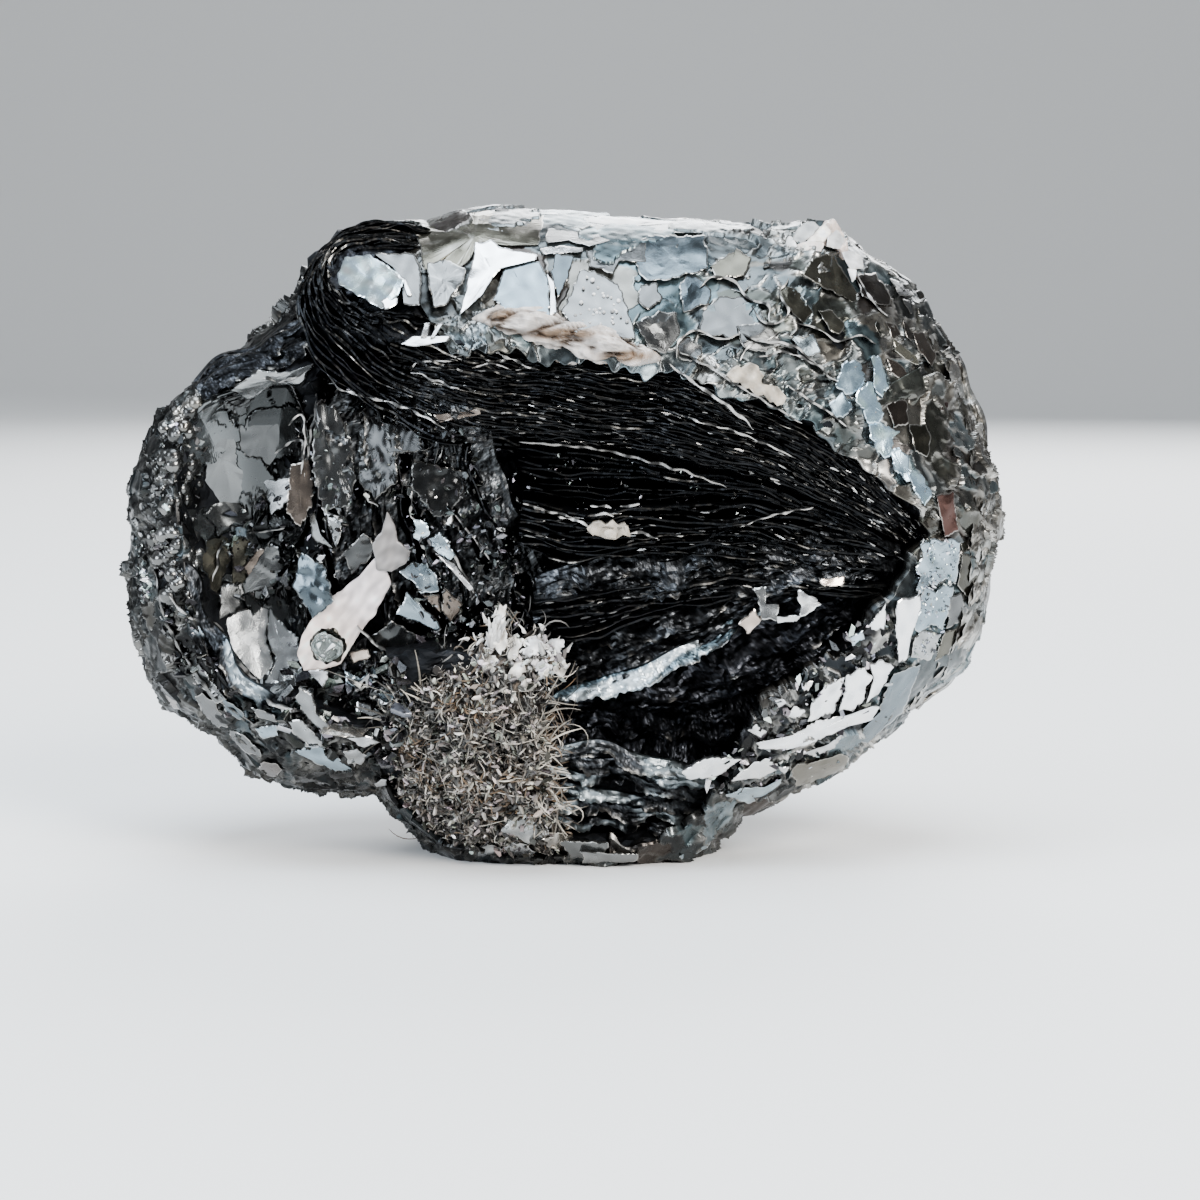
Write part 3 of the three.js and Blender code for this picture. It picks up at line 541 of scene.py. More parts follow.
def crust_patch(name, points, normal, tone, border, *faces):
    """A patch closed behind: its border is drawn into the nodule and joined there to one point in the
    middle."""
    sunk = points[border] - 0.8 * normal[border]
    sunk[:, 1] = np.clip(sunk[:, 1], -3.0, 12.0)
    sunk[:, 2] = np.maximum(sunk[:, 2], 0.02)
    hub = np.array([[sunk[:, 0].mean(), 1.5, CENTRE_Z]])
    count, rim = len(points), len(border)
    ring, after = np.arange(rim), (np.arange(rim) + 1) % rim
    skirt = np.stack([border[after], count + after, count + ring, border[ring]], -1)
    floor_fan = np.stack([count + after, np.full(rim, count + rim), count + ring], -1)
    # The skirt and hub are painted near-black, as shade under the crust's edge.
    tones = np.concatenate([tone, np.tile([[0.02, 0.02, 0.02]], (rim + 1, 1))])
    patch = build(name, np.concatenate([points, sunk, hub]), *faces, skirt, floor_fan,
                  tone=np.clip(tones, 0.01, 0.95), smooth=True)
    patch.data.materials.append(crust_metal)


def direction(heading, tilt):
    """The direction at a heading in the plane of the front, tilted out of that plane towards the back."""
    level = np.cos(tilt)
    return np.stack([level * np.cos(heading), np.sin(tilt) + 0 * heading, level * np.sin(heading)], -1)


def crust(name, headings, lip, columns, rows, seed, face_size, ridge_highlight=RIDGE_HIGHLIGHT, shade=1.0):
    """A patch of crust. Its columns run over a range of headings; its rows run from the lip, out over the
    outline and back to a share of the way in at the back."""
    heading = np.linspace(*np.radians(headings), columns)
    row = np.linspace(0, 1, rows)[:, None]
    first_tilt = np.arccos(lip(heading))
    tilt = row * (0.6 + 0.4 * row) * (np.arccos(CRUST_BACK_SHARE) + first_tilt) - first_tilt
    toward = direction(heading, tilt)
    normal = skin_normal(toward)
    points, tone = crust_relief(skin(toward), normal, seed, face_size, ridge_highlight, shade)
    border = np.concatenate([np.arange(columns),
                             np.arange(1, rows) * columns + columns - 1,
                             (rows - 1) * columns + np.arange(columns - 1)[::-1],
                             np.arange(rows - 2, 0, -1) * columns])
    crust_patch(name, points, normal.reshape(-1, 3), tone, border, grid(rows, columns)[:, ::-1])


def back_crust(columns=500, rows=108):
    """The crust over the back: rings that close in from just inside the outline on the middle of the back."""
    heading = np.linspace(0, 2 * np.pi, columns, endpoint=False)
    toward = direction(heading, np.linspace(math.acos(BACK_CRUST_SHARE), 1.555, rows)[:, None])
    normal = skin_normal(toward)
    # The back's tones are painted at 0.8 and its ridge highlights at half strength.
    points, tone = crust_relief(skin(toward), normal, 36, 2.5, 0.5 * RIDGE_HIGHLIGHT, 0.8)
    crust_patch("back_crust", points, normal.reshape(-1, 3), tone, np.arange(columns),
                grid(rows, columns, closed=True)[:, ::-1],
                (np.arange(columns)[::-1] + (rows - 1) * columns)[None])


def opening_lip(heading):
    """Share of the way out at which the shell ends: a ragged millimetre inside the opening's edge, so that it
    hangs over the leaves."""
    ragged = 0.30 * np.sin(13 * heading + 1) + 0.26 * np.sin(31 * heading) + 0.2 * np.sin(67 * heading + 2)
    edge = radius_of(OPENING, np.array([0, CENTRE_Z]), heading) - 1.0 + ragged
    return np.clip(edge / reach(heading), 0.2, 0.985)


LOBE_LIP = np.array([
    [-20.0, 46.0], [-23.5, 42.0], [-28.0, 38.4], [-31.0, 35.5], [-31.8, 32.0], [-31.2, 27.0], [-30.4, 21.6],
    [-28.8, 16.6], [-25.6, 13.2], [-21.5, 12.6], [-16.4, 11.0], [-14.6, 5.4], [-10.8, 1.8], [0.0, 1.2],
    [6.0, 1.2],
])


def lobe_lip(heading):
    """Share of the way out at which the left lobe's rim ends at the dish's edge, straight between its
    corners."""
    arms = LOBE_LIP - [0, CENTRE_Z]
    turn = np.arctan2(arms[:, 1], arms[:, 0]) % (2 * np.pi)
    return np.clip(np.interp(heading, turn, np.hypot(*arms.T)) / reach(heading), 0.2, 0.97)


crust_metal = metal("crust_metal", roughness=0.16, dullest=0.26, grain=1100, dent=0.10, metallic=0.9,
                    mottling=0.2)
crust("right_crust", (-84, 26), opening_lip, 470, 168, 31, 2.2)
crust("top_crust", (24.5, 124), opening_lip, 470, 168, 35, 2.4)
# The left lobe is painted darker and its ridges dimmer: painted shade on the lobe's rim.
crust("lobe_crust", (136, 277), lobe_lip, 540, 140, 32, 1.8, ridge_highlight=0.3 * RIDGE_HIGHLIGHT, shade=0.27)
back_crust()

# ---- loose scales ----
# Single scales that have sprung from the crust all round, 0.5 to 4.6 mm across. Each is flat and leans a
# little off the surface.


def plates(centre, normal, size, tone, seed, corners, narrow, thickness, bevel, rim, ragged, turn=None,
           lobed=0.0):
    """Many flat plates at once. Each is an uneven polygon in the plane square to its normal: its size times
    an uneven share at uneven angles, in and out in two and three lobes, narrowed across. A small bevel joins
    its top to its side, and a smaller copy below closes it. rim is how far the bevel's colour goes towards
    pale. Gives points, face sets and tones."""
    dice = np.random.default_rng(seed)
    count = len(centre)
    first, second = across(normal)
    start = dice.uniform(0, 2 * np.pi, (count, 1)) if turn is None else turn[:, None]
    angle = 2 * np.pi * (np.arange(corners) + dice.uniform(-0.28, 0.28, (count, corners))) / corners
    own = dice.uniform(0, 2 * np.pi, (2, count, 1))
    lobes = 1 + lobed * (np.sin(2 * angle + own[0]) + 0.6 * np.sin(3 * angle + own[1]))
    radius = size[:, None] * lobes * (1 + dice.uniform(-ragged, ragged, (count, corners)))
    along, over = radius * np.cos(angle), radius * np.sin(angle) * narrow
    right = (along * np.cos(start) - over * np.sin(start))[..., None] * first[:, None]
    up = (along * np.sin(start) + over * np.cos(start))[..., None] * second[:, None]
    offset = right + up
    inner = 1 - np.minimum(bevel / size, 0.3)[:, None, None]
    out = normal[:, None]
    depth = np.broadcast_to(thickness, (count,))[:, None, None]
    points = np.concatenate([centre[:, None] + inner * offset,
                             centre[:, None] + offset - 0.5 * bevel * out,
                             centre[:, None] + 0.94 * offset - depth * out], 1)
    tone = np.broadcast_to(tone, (count, 3))
    # The bevel is painted towards the ridge highlight by rim, and the copy below at half tone as painted
    # shade.
    edge = tone + (RIDGE_HIGHLIGHT - tone) * rim
    tones = np.repeat(np.stack([tone, edge, tone * 0.5], 1), corners, 1)
    return points.reshape(-1, 3), tubes(count, 3, corners, turned=True), tones.reshape(-1, 3)


def askew(normal, most, seed):
    """Each normal leaned over by up to most radians, a random way."""
    dice = np.random.default_rng(seed)
    first, second = across(normal)
    lean, way = most * np.sqrt(dice.random(len(normal))), dice.uniform(0, 2 * np.pi, len(normal))
    lean, way = lean[:, None], way[:, None]
    return unit(normal + np.tan(lean) * (np.cos(way) * first + np.sin(way) * second))


def loose_scales(name, count, sizes, lift, lean, seed, side):
    """Scales spread over one side of the nodule where it carries shell, sized at random, lifted and
    leaned."""
    dice = np.random.default_rng(seed)
    toward = spread_over_skin(count, seed)
    place = skin(toward)
    x, y, z = place.T
    on_shell = (y > -1) | ((depth_inside(x, z, OPENING) < -0.6) & (depth_inside(x, z, DISH) < -0.4))
    keep = on_shell & (z > 1.2) & ((y < -1) if side == "front" else (y >= 1.5 + 1.5 * (z > 44)))
    toward, place = toward[keep], place[keep]
    normal = skin_normal(toward)
    size = sizes[0] + (sizes[1] - sizes[0]) * dice.random(len(place)) ** 2.2
    centre = place + normal * dice.uniform(*lift, (len(place), 1))
    points, faces, tones = plates(centre, askew(normal, lean, seed + 1), size, draw_tints(place, seed + 2),
                                  seed + 3, corners=9, ragged=0.12, lobed=0.17, narrow=0.7, thickness=0.16,
                                  bevel=0.05, rim=0.35)
    points[:, 2] = np.maximum(points[:, 2], 0.05)
    scales = build(name, points, *faces, tone=tones)
    scales.data.materials.append(plate_metal)


plate_metal = metal("plate_metal", roughness=0.14, dullest=0.25, grain=1300, dent=0.15, metallic=0.92)
loose_scales("front_scales", 240, (0.25, 0.9), (0.15, 0.38), 0.26, 41, "front")
loose_scales("back_scales", 1200, (0.35, 2.3), (0.14, 0.36), 0.12, 61, "back")

# ---- books of leaves ----
# Thin cleavage leaves, 0.1 mm thick, that stand on edge in the broken front like the pages of an old book.
# Most spring from one spine at the right, all are torn off unevenly at the front, and they grew together
# behind.

LEAF_ROOT = -4.0
# Leaf faces are painted near-black as the shade between the leaves.
LEAF_SHADE_TONE = np.array([0.009, 0.0098, 0.011])
EDGE_GLINT = np.array([0.62, 0.60, 0.56])
WARM_WHITE = np.array([1.0, 0.98, 0.94])
FLECK_SIZES = (0.10, 0.48)


def along_route(knots, shares):
    """Points at shares of the length of a smooth route through given points: Catmull-Rom cubics from knot to
    knot, measured by their length."""
    knots = np.asarray(knots, float)
    padded = np.concatenate([[2 * knots[0] - knots[1]], knots, [2 * knots[-1] - knots[-2]]])
    step = np.linspace(0, 1, 24, endpoint=False)[:, None]
    a, b, c, d = (padded[i:len(knots) - 1 + i, None] for i in range(4))
    curve = 0.5 * (2 * b + (c - a) * step + (2 * a - 5 * b + 4 * c - d) * step ** 2
                   + (3 * b - a - 3 * c + d) * step ** 3)
    curve = np.concatenate([curve.reshape(-1, knots.shape[1]), knots[-1:]])
    length = np.concatenate([[0], np.cumsum(np.linalg.norm(np.diff(curve, axis=0), axis=1))])
    wanted = np.asarray(shares) * length[-1]
    return np.stack([np.interp(wanted, length, axis) for axis in curve.T], -1)


def beside(path):
    """The direction at right angles to a route, on its left, at each of its points."""
    ahead = unit(np.gradient(path, axis=-2))
    return np.stack([-ahead[..., 1], ahead[..., 0]], -1)


def between(values, along):
    """Values set out evenly along a route, read off in between."""
    return np.interp(along, np.linspace(0, 1, len(values)), values)


def torn(leaves, samples, pieces, most, seed):
    """How far each leaf's front edge is torn back at each sample: a run of uneven steps, one for each piece
    of the leaf, with the pieces' ends at random places."""
    dice = np.random.default_rng(seed)
    table = most * dice.random((leaves, pieces + 1)) ** 1.7
    where = np.linspace(0, pieces, samples) + dice.uniform(0, 1, (leaves, 1))
    where = where + 0.45 * np.sin(where * 2.3 + dice.uniform(0, 6, (leaves, 1)))
    left = np.clip(where.astype(int), 0, pieces - 1)
    blend = ease((where - left - 0.82) / 0.18)
    rows = np.arange(leaves)[:, None]
    return table[rows, left] * (1 - blend) + table[rows, left + 1] * blend


def leaf_book(name, first, last, count, seed, thickness=0.11, samples=120, recess=(0.9,), tear=1.8, pieces=12,
              droop=0.0, ripple=0.11, glint=0.35, face=LEAF_SHADE_TONE, deepen=0.0, edge=EDGE_GLINT, root=LEAF_ROOT,
              tuck=1.4):
    """A book: leaf number i follows a route blended from the first guide to the last. Its section runs from
    the root forward along one side, round the torn front edge and back along the other side; it drops forward
    by droop times the square of the way out. Leaves share slow ripples and have faint ones of their own. The
    front edge is painted with highlights in dashes where a random wave is high, and the faces are painted
    near-black as the shade between the leaves."""
    dice = np.random.default_rng(seed)
    share = np.clip((np.arange(count) + dice.uniform(-0.5, 0.5, count)) / (count - 1), 0, 1)
    along = np.linspace(0, 1, samples)
    first_path, last_path = along_route(first, along), along_route(last, along)
    path = first_path + (last_path - first_path) * share[:, None, None]
    sideways = beside(path)
    length = np.linalg.norm(np.diff(first_path, axis=0), axis=1).sum()
    travel = np.broadcast_to(along * length, (count, samples))
    rank = np.broadcast_to((share * 9)[:, None], (count, samples))
    ends = tuck * np.abs(2 * along - 1) ** 9
    recess = between(recess, along)
    front = (front_at(path[..., 0], path[..., 1]) + recess + ends + deepen * share[:, None] ** 2
             + torn(count, samples, pieces, tear, seed + 1)
             + 0.12 * swell(np.stack([travel, rank * 7], -1), 1.1, seed + 2))
    front = np.minimum(front, root - 0.6)
    out = np.array([0.0, 0.55, 0.82, 0.95, 1.0])
    depth = root + (front - root)[..., None] * out
    slow = ripple * swell(np.stack([travel, rank * 1.4], -1), 9.0, seed + 3)
    spread = np.stack([travel, rank * 30], -1)
    own = 0.45 * ripple * swell(spread, 4.5, seed + 4)
    curl = 0.07 * swell(spread, 2.4, seed + 5)
    offset = (slow + own)[..., None] * out + curl[..., None] * out ** 9
    drop = droop * out ** 2
    half = thickness * dice.uniform(0.25, 0.75, (count, 1, 1))
    section = np.concatenate([offset + half, (offset - half)[..., ::-1]], -1)
    depth = np.concatenate([depth, depth[..., ::-1]], -1)
    drop = np.concatenate([drop, drop[::-1]])
    x = path[..., :1] + sideways[..., :1] * section
    z = path[..., 1:] + sideways[..., 1:] * section - drop
    points = np.stack([x, depth, z], -1)
    points[..., 2] = np.maximum(points[..., 2], 0.1)
    lit = 0.9 * swell(spread, 8.0, seed + 6) + dice.normal(0, 0.6, (count, 1))
    proud = 1 - (front - front_at(path[..., 0], path[..., 1]) - recess - ends) / tear
    lit = ease((lit - 1.9 + 1.6 * glint + 0.8 * proud) / 0.9)
    dashes = ease((swell(spread, 1.5, seed + 9) + 0.3 * dice.normal(size=(count, samples)) - 0.1) / 0.3)
    lit *= (0.10 + 0.90 * dashes) * (0.3 + 0.7 * dice.random((count, samples)))
    patch = ease(swell(np.stack([travel, rank * 4], -1), 4.0, seed + 10) - 0.1)
    lit = np.maximum(lit, (0.012 + 0.05 * patch) * dice.random((count, samples)) ** 1.5)
    lit = lit[..., None, None]
    warm = np.array([1.0, 0.94, 0.86]) ** (1 - lit)
    face_tone = face * np.exp(0.35 * swell(points, 1.7, seed + 7))[..., None]
    edges = np.concatenate([out, out[::-1]])[:, None] ** 14
    tone = face_tone + (edge * warm - face_tone) * edges * lit
    leaves = build(name, points.reshape(-1, 3), *tubes(count, samples, 2 * len(out)),
                   tone=np.clip(tone, 0.004, 0.95).reshape(-1, 3))
    leaves.data.materials.append(leaf_metal)


leaf_metal = metal("leaf_metal", roughness=0.26, dullest=0.25, grain=1600, dent=0.3)
upper_first = [[-20.4, 43.2], [-18.6, 41.7], [-14.2, 41.2], [-8.6, 40.7], [-1.4, 40.3], [5.8, 39.4],
    [11.4, 37.9], [17.0, 35.5], [21.8, 32.3], [25.6, 28.9], [27.4, 27.0]]
upper_last = [[-21.2, 41.4], [-19.4, 39.4], [-15.8, 37.6], [-11.8, 36.3], [-7.0, 35.0], [-1.4, 34.1],
    [5.0, 33.3], [11.4, 32.0], [17.8, 29.9], [22.6, 27.5], [26.0, 25.6]]
leaf_book("upper_leaves", upper_first, upper_last, 42, 101, samples=170, pieces=16, glint=0.20, deepen=1.0,
    thickness=0.09, tear=2.2, edge=0.85 * EDGE_GLINT)
middle_first = [[-4.2, 29.2], [0.2, 28.8], [5.0, 29.0], [11.4, 29.3], [17.8, 28.4], [22.6, 26.5],
    [25.8, 24.9]]
middle_last = [[-4.6, 25.8], [-0.6, 25.1], [5.0, 25.4], [11.4, 25.4], [17.0, 24.7], [21.0, 24.0],
    [25.2, 23.8]]
leaf_book("middle_leaves", middle_first, middle_last, 11, 121, samples=120, pieces=9, tear=2.6, glint=0.34,
    ripple=0.22)
lower_first = [[-3.8, 22.6], [0.2, 22.8], [5.0, 23.6], [9.8, 24.2], [14.6, 24.3], [19.4, 23.7],
    [24.6, 23.2]]
lower_last = [[-3.0, 19.3], [1.8, 19.8], [5.8, 21.2], [9.8, 22.0], [13.0, 22.5], [18.4, 22.8], [23.6, 22.6]]
leaf_book("gap_leaves", [[-5.0, 33.4], [1.0, 32.9], [8.0, 31.8], [15.0, 30.2], [21.0, 27.8], [25.6, 25.5]],
    [[-4.4, 30.0], [1.0, 29.6], [8.0, 29.8], [15.0, 29.2], [21.0, 27.2], [25.6, 25.2]], 8, 131, samples=120,
    pieces=8, recess=(4.2, 3.4, 2.2), tear=2.4, glint=0.16, ripple=0.2, edge=0.5 * EDGE_GLINT, root=-3.4)
leaf_book("lower_leaves", lower_first, lower_last, 7, 141, samples=120, pieces=8, tear=1.6, droop=0.6,
    ripple=0.2, glint=0.25)
left_first = [[-20.4, 39.0], [-20.8, 33.8], [-21.2, 27.4], [-20.8, 22.4], [-20.0, 17.4]]
left_last = [[-8.6, 36.0], [-7.9, 30.6], [-6.2, 25.8], [-4.6, 21.8], [-3.8, 17.6]]
leaf_book("left_leaves", left_first, left_last, 10, 201, samples=110, pieces=9, tear=2.4, ripple=0.4,
    glint=0.2, recess=(1.6, 2.8, 5.0, 5.4), face=np.array([0.03, 0.032, 0.035]))


def leaf_flecks(name, first, last, count, seed, recess, bright, deepen=0.0, nearest=0.0):
    """Slivers broken from the leaves' edges, caught between them and lying along them. Each lies at a random
    share between the first guide and the last, turned along it, and leans a random way. Their brightness is
    painted glint, stronger to the right, and none lies nearer to the guides' left end than a given share."""
    dice = np.random.default_rng(seed)
    share, along = dice.random((count, 1)), nearest + (1 - nearest) * np.sort(dice.random(count))
    start, end = along_route(first, along), along_route(last, along)
    after, before = np.minimum(along + 0.01, 1), np.maximum(along - 0.01, 0)
    ahead = along_route(first, after) - along_route(first, before)
    ahead += share * (along_route(last, after) - along_route(last, before) - ahead)
    place = start + share * (end - start)
    depth = front_at(*place.T) + recess + deepen * share[:, 0] ** 2 + dice.uniform(-0.2, 1.0, count)
    normal = askew(np.tile([[0.0, -1.0, 0.0]], (count, 1)), 0.7, seed + 1)
    size = FLECK_SIZES[0] + (FLECK_SIZES[1] - FLECK_SIZES[0]) * dice.random(count) ** 2
    lit = (0.05 + bright * (0.35 + 0.65 * along) * dice.random(count) ** 2)[:, None]
    turn = np.arctan2(ahead[:, 1], ahead[:, 0]) + dice.normal(0, 0.12, count)
    centre = np.stack([place[:, 0], depth, place[:, 1]], -1)
    points, faces, tones = plates(centre, normal, size, lit * WARM_WHITE, seed + 2, corners=6, narrow=0.16,
                                  turn=turn, thickness=0.08, bevel=0.02, rim=0.1, ragged=0.3)
    flecks = build(name, points, *faces, tone=np.clip(tones, 0.004, 0.95))
    flecks.data.materials.append(plate_metal)


leaf_flecks("upper_flecks", upper_first, upper_last, 560, 161, 0.9, 0.45, deepen=1.0, nearest=0.2)
leaf_flecks("middle_flecks", middle_first, middle_last, 110, 162, 0.9, 0.55)
leaf_flecks("lower_flecks", lower_first, lower_last, 90, 163, 1.0, 0.45)

# ---- overlapping sheets ----
# Where the layers lie flatter, each sheet's broad face shows, torn off below it in a crumpled lip: in the
# lower half of the opening, hanging down at the left, and as ledges round the left lobe's foot. They are
# rooted in the nodule.


def sheets(name, first, last, count, seed, width, recess, slope=0.55, samples=150, tear=0.6, crumple=0.16,
           face=(0.030, 0.032, 0.035), glint=0.4, thickness=0.3, pale_and_sheen=None, narrow=0.5, hug=0.0):
    """Sheet number i lies along a route blended from the first guide to the last. From its torn lip it runs
    sideways by its width and back by slope times that, or by hug as far back as the front itself runs, and a
    copy behind it closes it, painted half as dark as shade. The lip curls forward as exp(-distance / 0.14),
    waves crumple the face, and both ends taper. The lip's edge is painted with highlights where a wave is
    high, and a wave blends the face's colour with a paler one: a painted sheen of reflected light on most
    sheets, the rim band's own whitish colour on the rim band."""
    dice = np.random.default_rng(seed)
    share = np.clip((np.arange(count) + dice.uniform(-0.25, 0.25, count)) / max(count - 1, 1), 0, 1)
    along = np.linspace(0, 1, samples)
    path = along_route(first, along)
    length = np.linalg.norm(np.diff(path, axis=0), axis=1).sum()
    path = path + (along_route(last, along) - path) * share[:, None, None]
    sideways = beside(path)[:, :, None]
    travel = np.broadcast_to(along * length, (count, samples))
    rank = np.broadcast_to((share * 99)[:, None], (count, samples))
    flat = np.stack([travel, rank * 3], -1)
    torn_by = torn(count, samples, 8, tear, seed + 1) + 0.10 * np.abs(swell(flat, 2.2, seed + 2))
    torn_by += 0.06 * swell(flat, 0.6, seed + 11)
    full = width * dice.uniform(0.75, 1.2, (count, 1)) * (1 - narrow * np.abs(2 * along - 1) ** 6)
    out = np.array([0.0, 0.03, 0.08, 0.16, 0.25, 0.35, 0.45, 0.56, 0.67, 0.78, 0.89, 1.0])
    distance = torn_by[..., None] + np.maximum(full - torn_by, 0.3)[..., None] * out
    shift = 0.25 * swell(flat, 5.0, seed + 3)
    place = path[:, :, None] + sideways * (distance + shift[..., None])[..., None]
    lip_front = front_at(path[..., 0], path[..., 1])
    base = lip_front + between(recess, along) + 0.35 * swell(flat, 3.4, seed + 4)
    run = np.broadcast_to(travel[..., None], distance.shape)
    folded = np.stack([0.45 * run, distance, np.broadcast_to(rank[..., None] * 3, distance.shape)], -1)
    even = folded * [2.2, 1, 1]
    creased = 1 - np.abs(swell(folded, 1.6, seed + 5)) + 0.5 * (1 - np.abs(swell(folded, 0.7, seed + 6)))
    rough = crumple * (0.8 - creased) + 0.05 * swell(even, 0.7, seed + 12)
    hugging = front_at(place[..., 0], place[..., 1]) - lip_front[..., None]
    from_lip = distance - torn_by[..., None]
    y = base[..., None] + (1 - hug) * slope * distance + hug * hugging + rough
    y = y - 0.16 * np.exp(-from_lip / 0.14)
    upper = np.stack([place[..., 0], y, place[..., 1]], -1)
    inward = 0.4 * thickness * sideways
    under = upper + np.stack([inward[..., 0], 0 * inward[..., 0] + thickness, inward[..., 1]], -1)
    points = np.concatenate([upper, under[:, :, ::-1]], 2)
    points[..., 2] = np.maximum(points[..., 2], 0.08)
    lit = 0.9 * swell(flat, 1.6, seed + 7) + dice.normal(0, 0.4, (count, 1))
    lit = ease((lit - 1.0 + 1.6 * glint) / 0.4) * (0.4 + 0.6 * dice.random((count, samples)))
    mottled = np.exp(0.5 * swell(folded, 1.1, seed + 8) + 0.6 * dice.normal(size=creased.shape))
    tone = np.array(face) * mottled[..., None] * dice.uniform(0.6, 1.4, (count, 1, 1, 1))
    if pale_and_sheen is not None:
        pale_and_sheen_share = ease(1.4 * swell(folded, 3.0, seed + 10) - 0.1)[..., None]
        tone = tone + (np.array(pale_and_sheen) - tone) * pale_and_sheen_share
    # Painted highlight along the torn lip.
    lip_highlight = np.exp(-from_lip / 0.10)[..., None]
    tone = tone + (EDGE_GLINT - tone) * lip_highlight * lit[..., None, None]
    # The copy behind is painted half as dark, as shade.
    tone = np.concatenate([tone, 0.5 * tone[:, :, ::-1]], 2)
    stack = build(name, points.reshape(-1, 3), *tubes(count, samples, 2 * len(out), turned=True),
                  tone=np.clip(tone, 0.004, 0.95).reshape(-1, 3))
    stack.data.materials.append(leaf_metal)


sheets("lower_sheets", [[-3.0, 22.4], [3.4, 23.4], [9.8, 24.2], [16.2, 24.6], [22.4, 24.4], [25.6, 24.2]],
    [[-3.8, 13.8], [1.8, 15.0], [8.2, 17.4], [13.0, 19.8], [17.8, 21.8], [23.4, 23.0]], 7, 401, width=2.3,
    recess=(2.6, 1.6, 1.4, 2.0), samples=170)
# Near-black faces: painted shade in the recess below the lower sheets.
sheets("shaded_sheets", [[-1.4, 12.6], [8.2, 13.8], [14.6, 17.0], [20.2, 20.2], [24.2, 22.6]], [[-3.0, 9.6],
    [3.4, 9.0], [8.2, 7.4], [11.4, 6.6], [13.6, 6.8]], 6, 421, width=2.4, recess=(2.4, 2.8, 3.0), glint=0.1,
    face=(0.016, 0.017, 0.020), samples=150)
pale_route = [[-2.6, 12.4], [1.0, 13.6], [5.8, 15.2], [9.8, 17.0], [13.4, 19.2], [14.8, 20.6]]
sheets("pale_sheet", pale_route, pale_route, 1, 441, width=1.7, recess=(1.4, 1.0, 1.2), slope=0.25,
    tear=0.5, face=(0.07, 0.10, 0.12), pale_and_sheen=(0.60, 0.68, 0.72), glint=0.8, narrow=0.9, samples=150)
sheets("bottom_sheets", [[-3.0, 9.8], [2.0, 9.0], [7.4, 7.2], [11.6, 5.6]], [[-2.0, 3.2], [2.4, 2.6],
    [6.6, 2.4], [10.6, 1.8]], 6, 461, width=1.3, recess=(1.2, 1.6, 1.6), slope=0.4,
    pale_and_sheen=(0.26, 0.30, 0.32), samples=110, glint=0.5)
sheets("left_sheets", [[-19.4, 39.0], [-20.2, 34.6], [-20.2, 29.8], [-19.4, 25.0], [-18.6, 19.2]],
    [[-9.6, 37.0], [-8.8, 33.0], [-7.0, 28.2], [-4.8, 24.2], [-3.2, 20.0]], 7, 481, width=2.6, slope=0.3,
    recess=(1.4, 2.0, 3.6, 4.8, 5.2), tear=1.0, face=(0.035, 0.037, 0.039), samples=150, crumple=0.2)
sheets("shoulder_sheets", [[-30.6, 37.8], [-26.6, 39.8], [-23.4, 41.4], [-21.4, 43.0]], [[-29.6, 36.8],
    [-25.8, 38.2], [-22.6, 39.4], [-20.6, 40.6]], 5, 491, width=1.5, slope=0.4, samples=110,
    recess=(-0.6, -0.5, -0.2), tear=0.7, face=(0.014, 0.015, 0.017), glint=0.3, crumple=0.24)
sheets("rim_band", [[27.6, 42.4], [29.4, 38.6], [31.0, 34.0], [31.4, 28.0], [31.0, 22.0], [29.4, 17.0],
    [26.4, 12.0]], [[28.8, 41.6], [30.2, 37.0], [31.2, 33.0], [31.7, 27.0], [31.2, 21.0], [29.8, 16.4],
    [27.2, 12.2]], 3, 521, width=1.7, hug=1.0, recess=(-0.4,), face=(0.13, 0.12, 0.105),
    pale_and_sheen=(0.42, 0.42, 0.40), crumple=0.22, tear=0.5, samples=200, glint=0.6, thickness=0.8)
sheets("lobe_ledges", [[-31.6, 24.2], [-29.2, 17.8], [-25.4, 12.8], [-21.4, 10.4], [-16.8, 9.8],
    [-14.0, 8.0]], [[-34.4, 21.6], [-32.4, 14.4], [-28.0, 9.2], [-22.4, 6.2], [-17.0, 5.4], [-14.0, 3.6]],
    7, 501, width=1.3, slope=0.5, recess=(-0.4, -0.7, -0.5, -0.2), pale_and_sheen=(0.20, 0.24, 0.27), glint=0.5,
    samples=170)

# ---- large cleavage faces ----
# The biggest flat faces, each one cleaved sheet 1 to 11 mm across with a torn edge. They are grouped by where
# they lie: on the cap and shell, as steps at the lower right, in and round the dish, on the ledges, among the
# leaves.

CASTS = {
    "blue": (0.82, 1.04, 1.18), "ice": (0.74, 1.02, 1.22), "grey": (1.0, 1.03, 1.03),
    "white": (0.98, 1.0, 1.02), "olive": (1.06, 1.0, 0.78), "brown": (1.15, 0.95, 0.80),
    "red": (1.6, 0.8, 0.65), "beige": (1.0, 0.90, 0.84), "clay": (1.0, 0.94, 0.85), "sand": (1.0, 0.87, 0.70),
}
EDGE_STEP = 0.18
SLOPE_REACH = 0.8


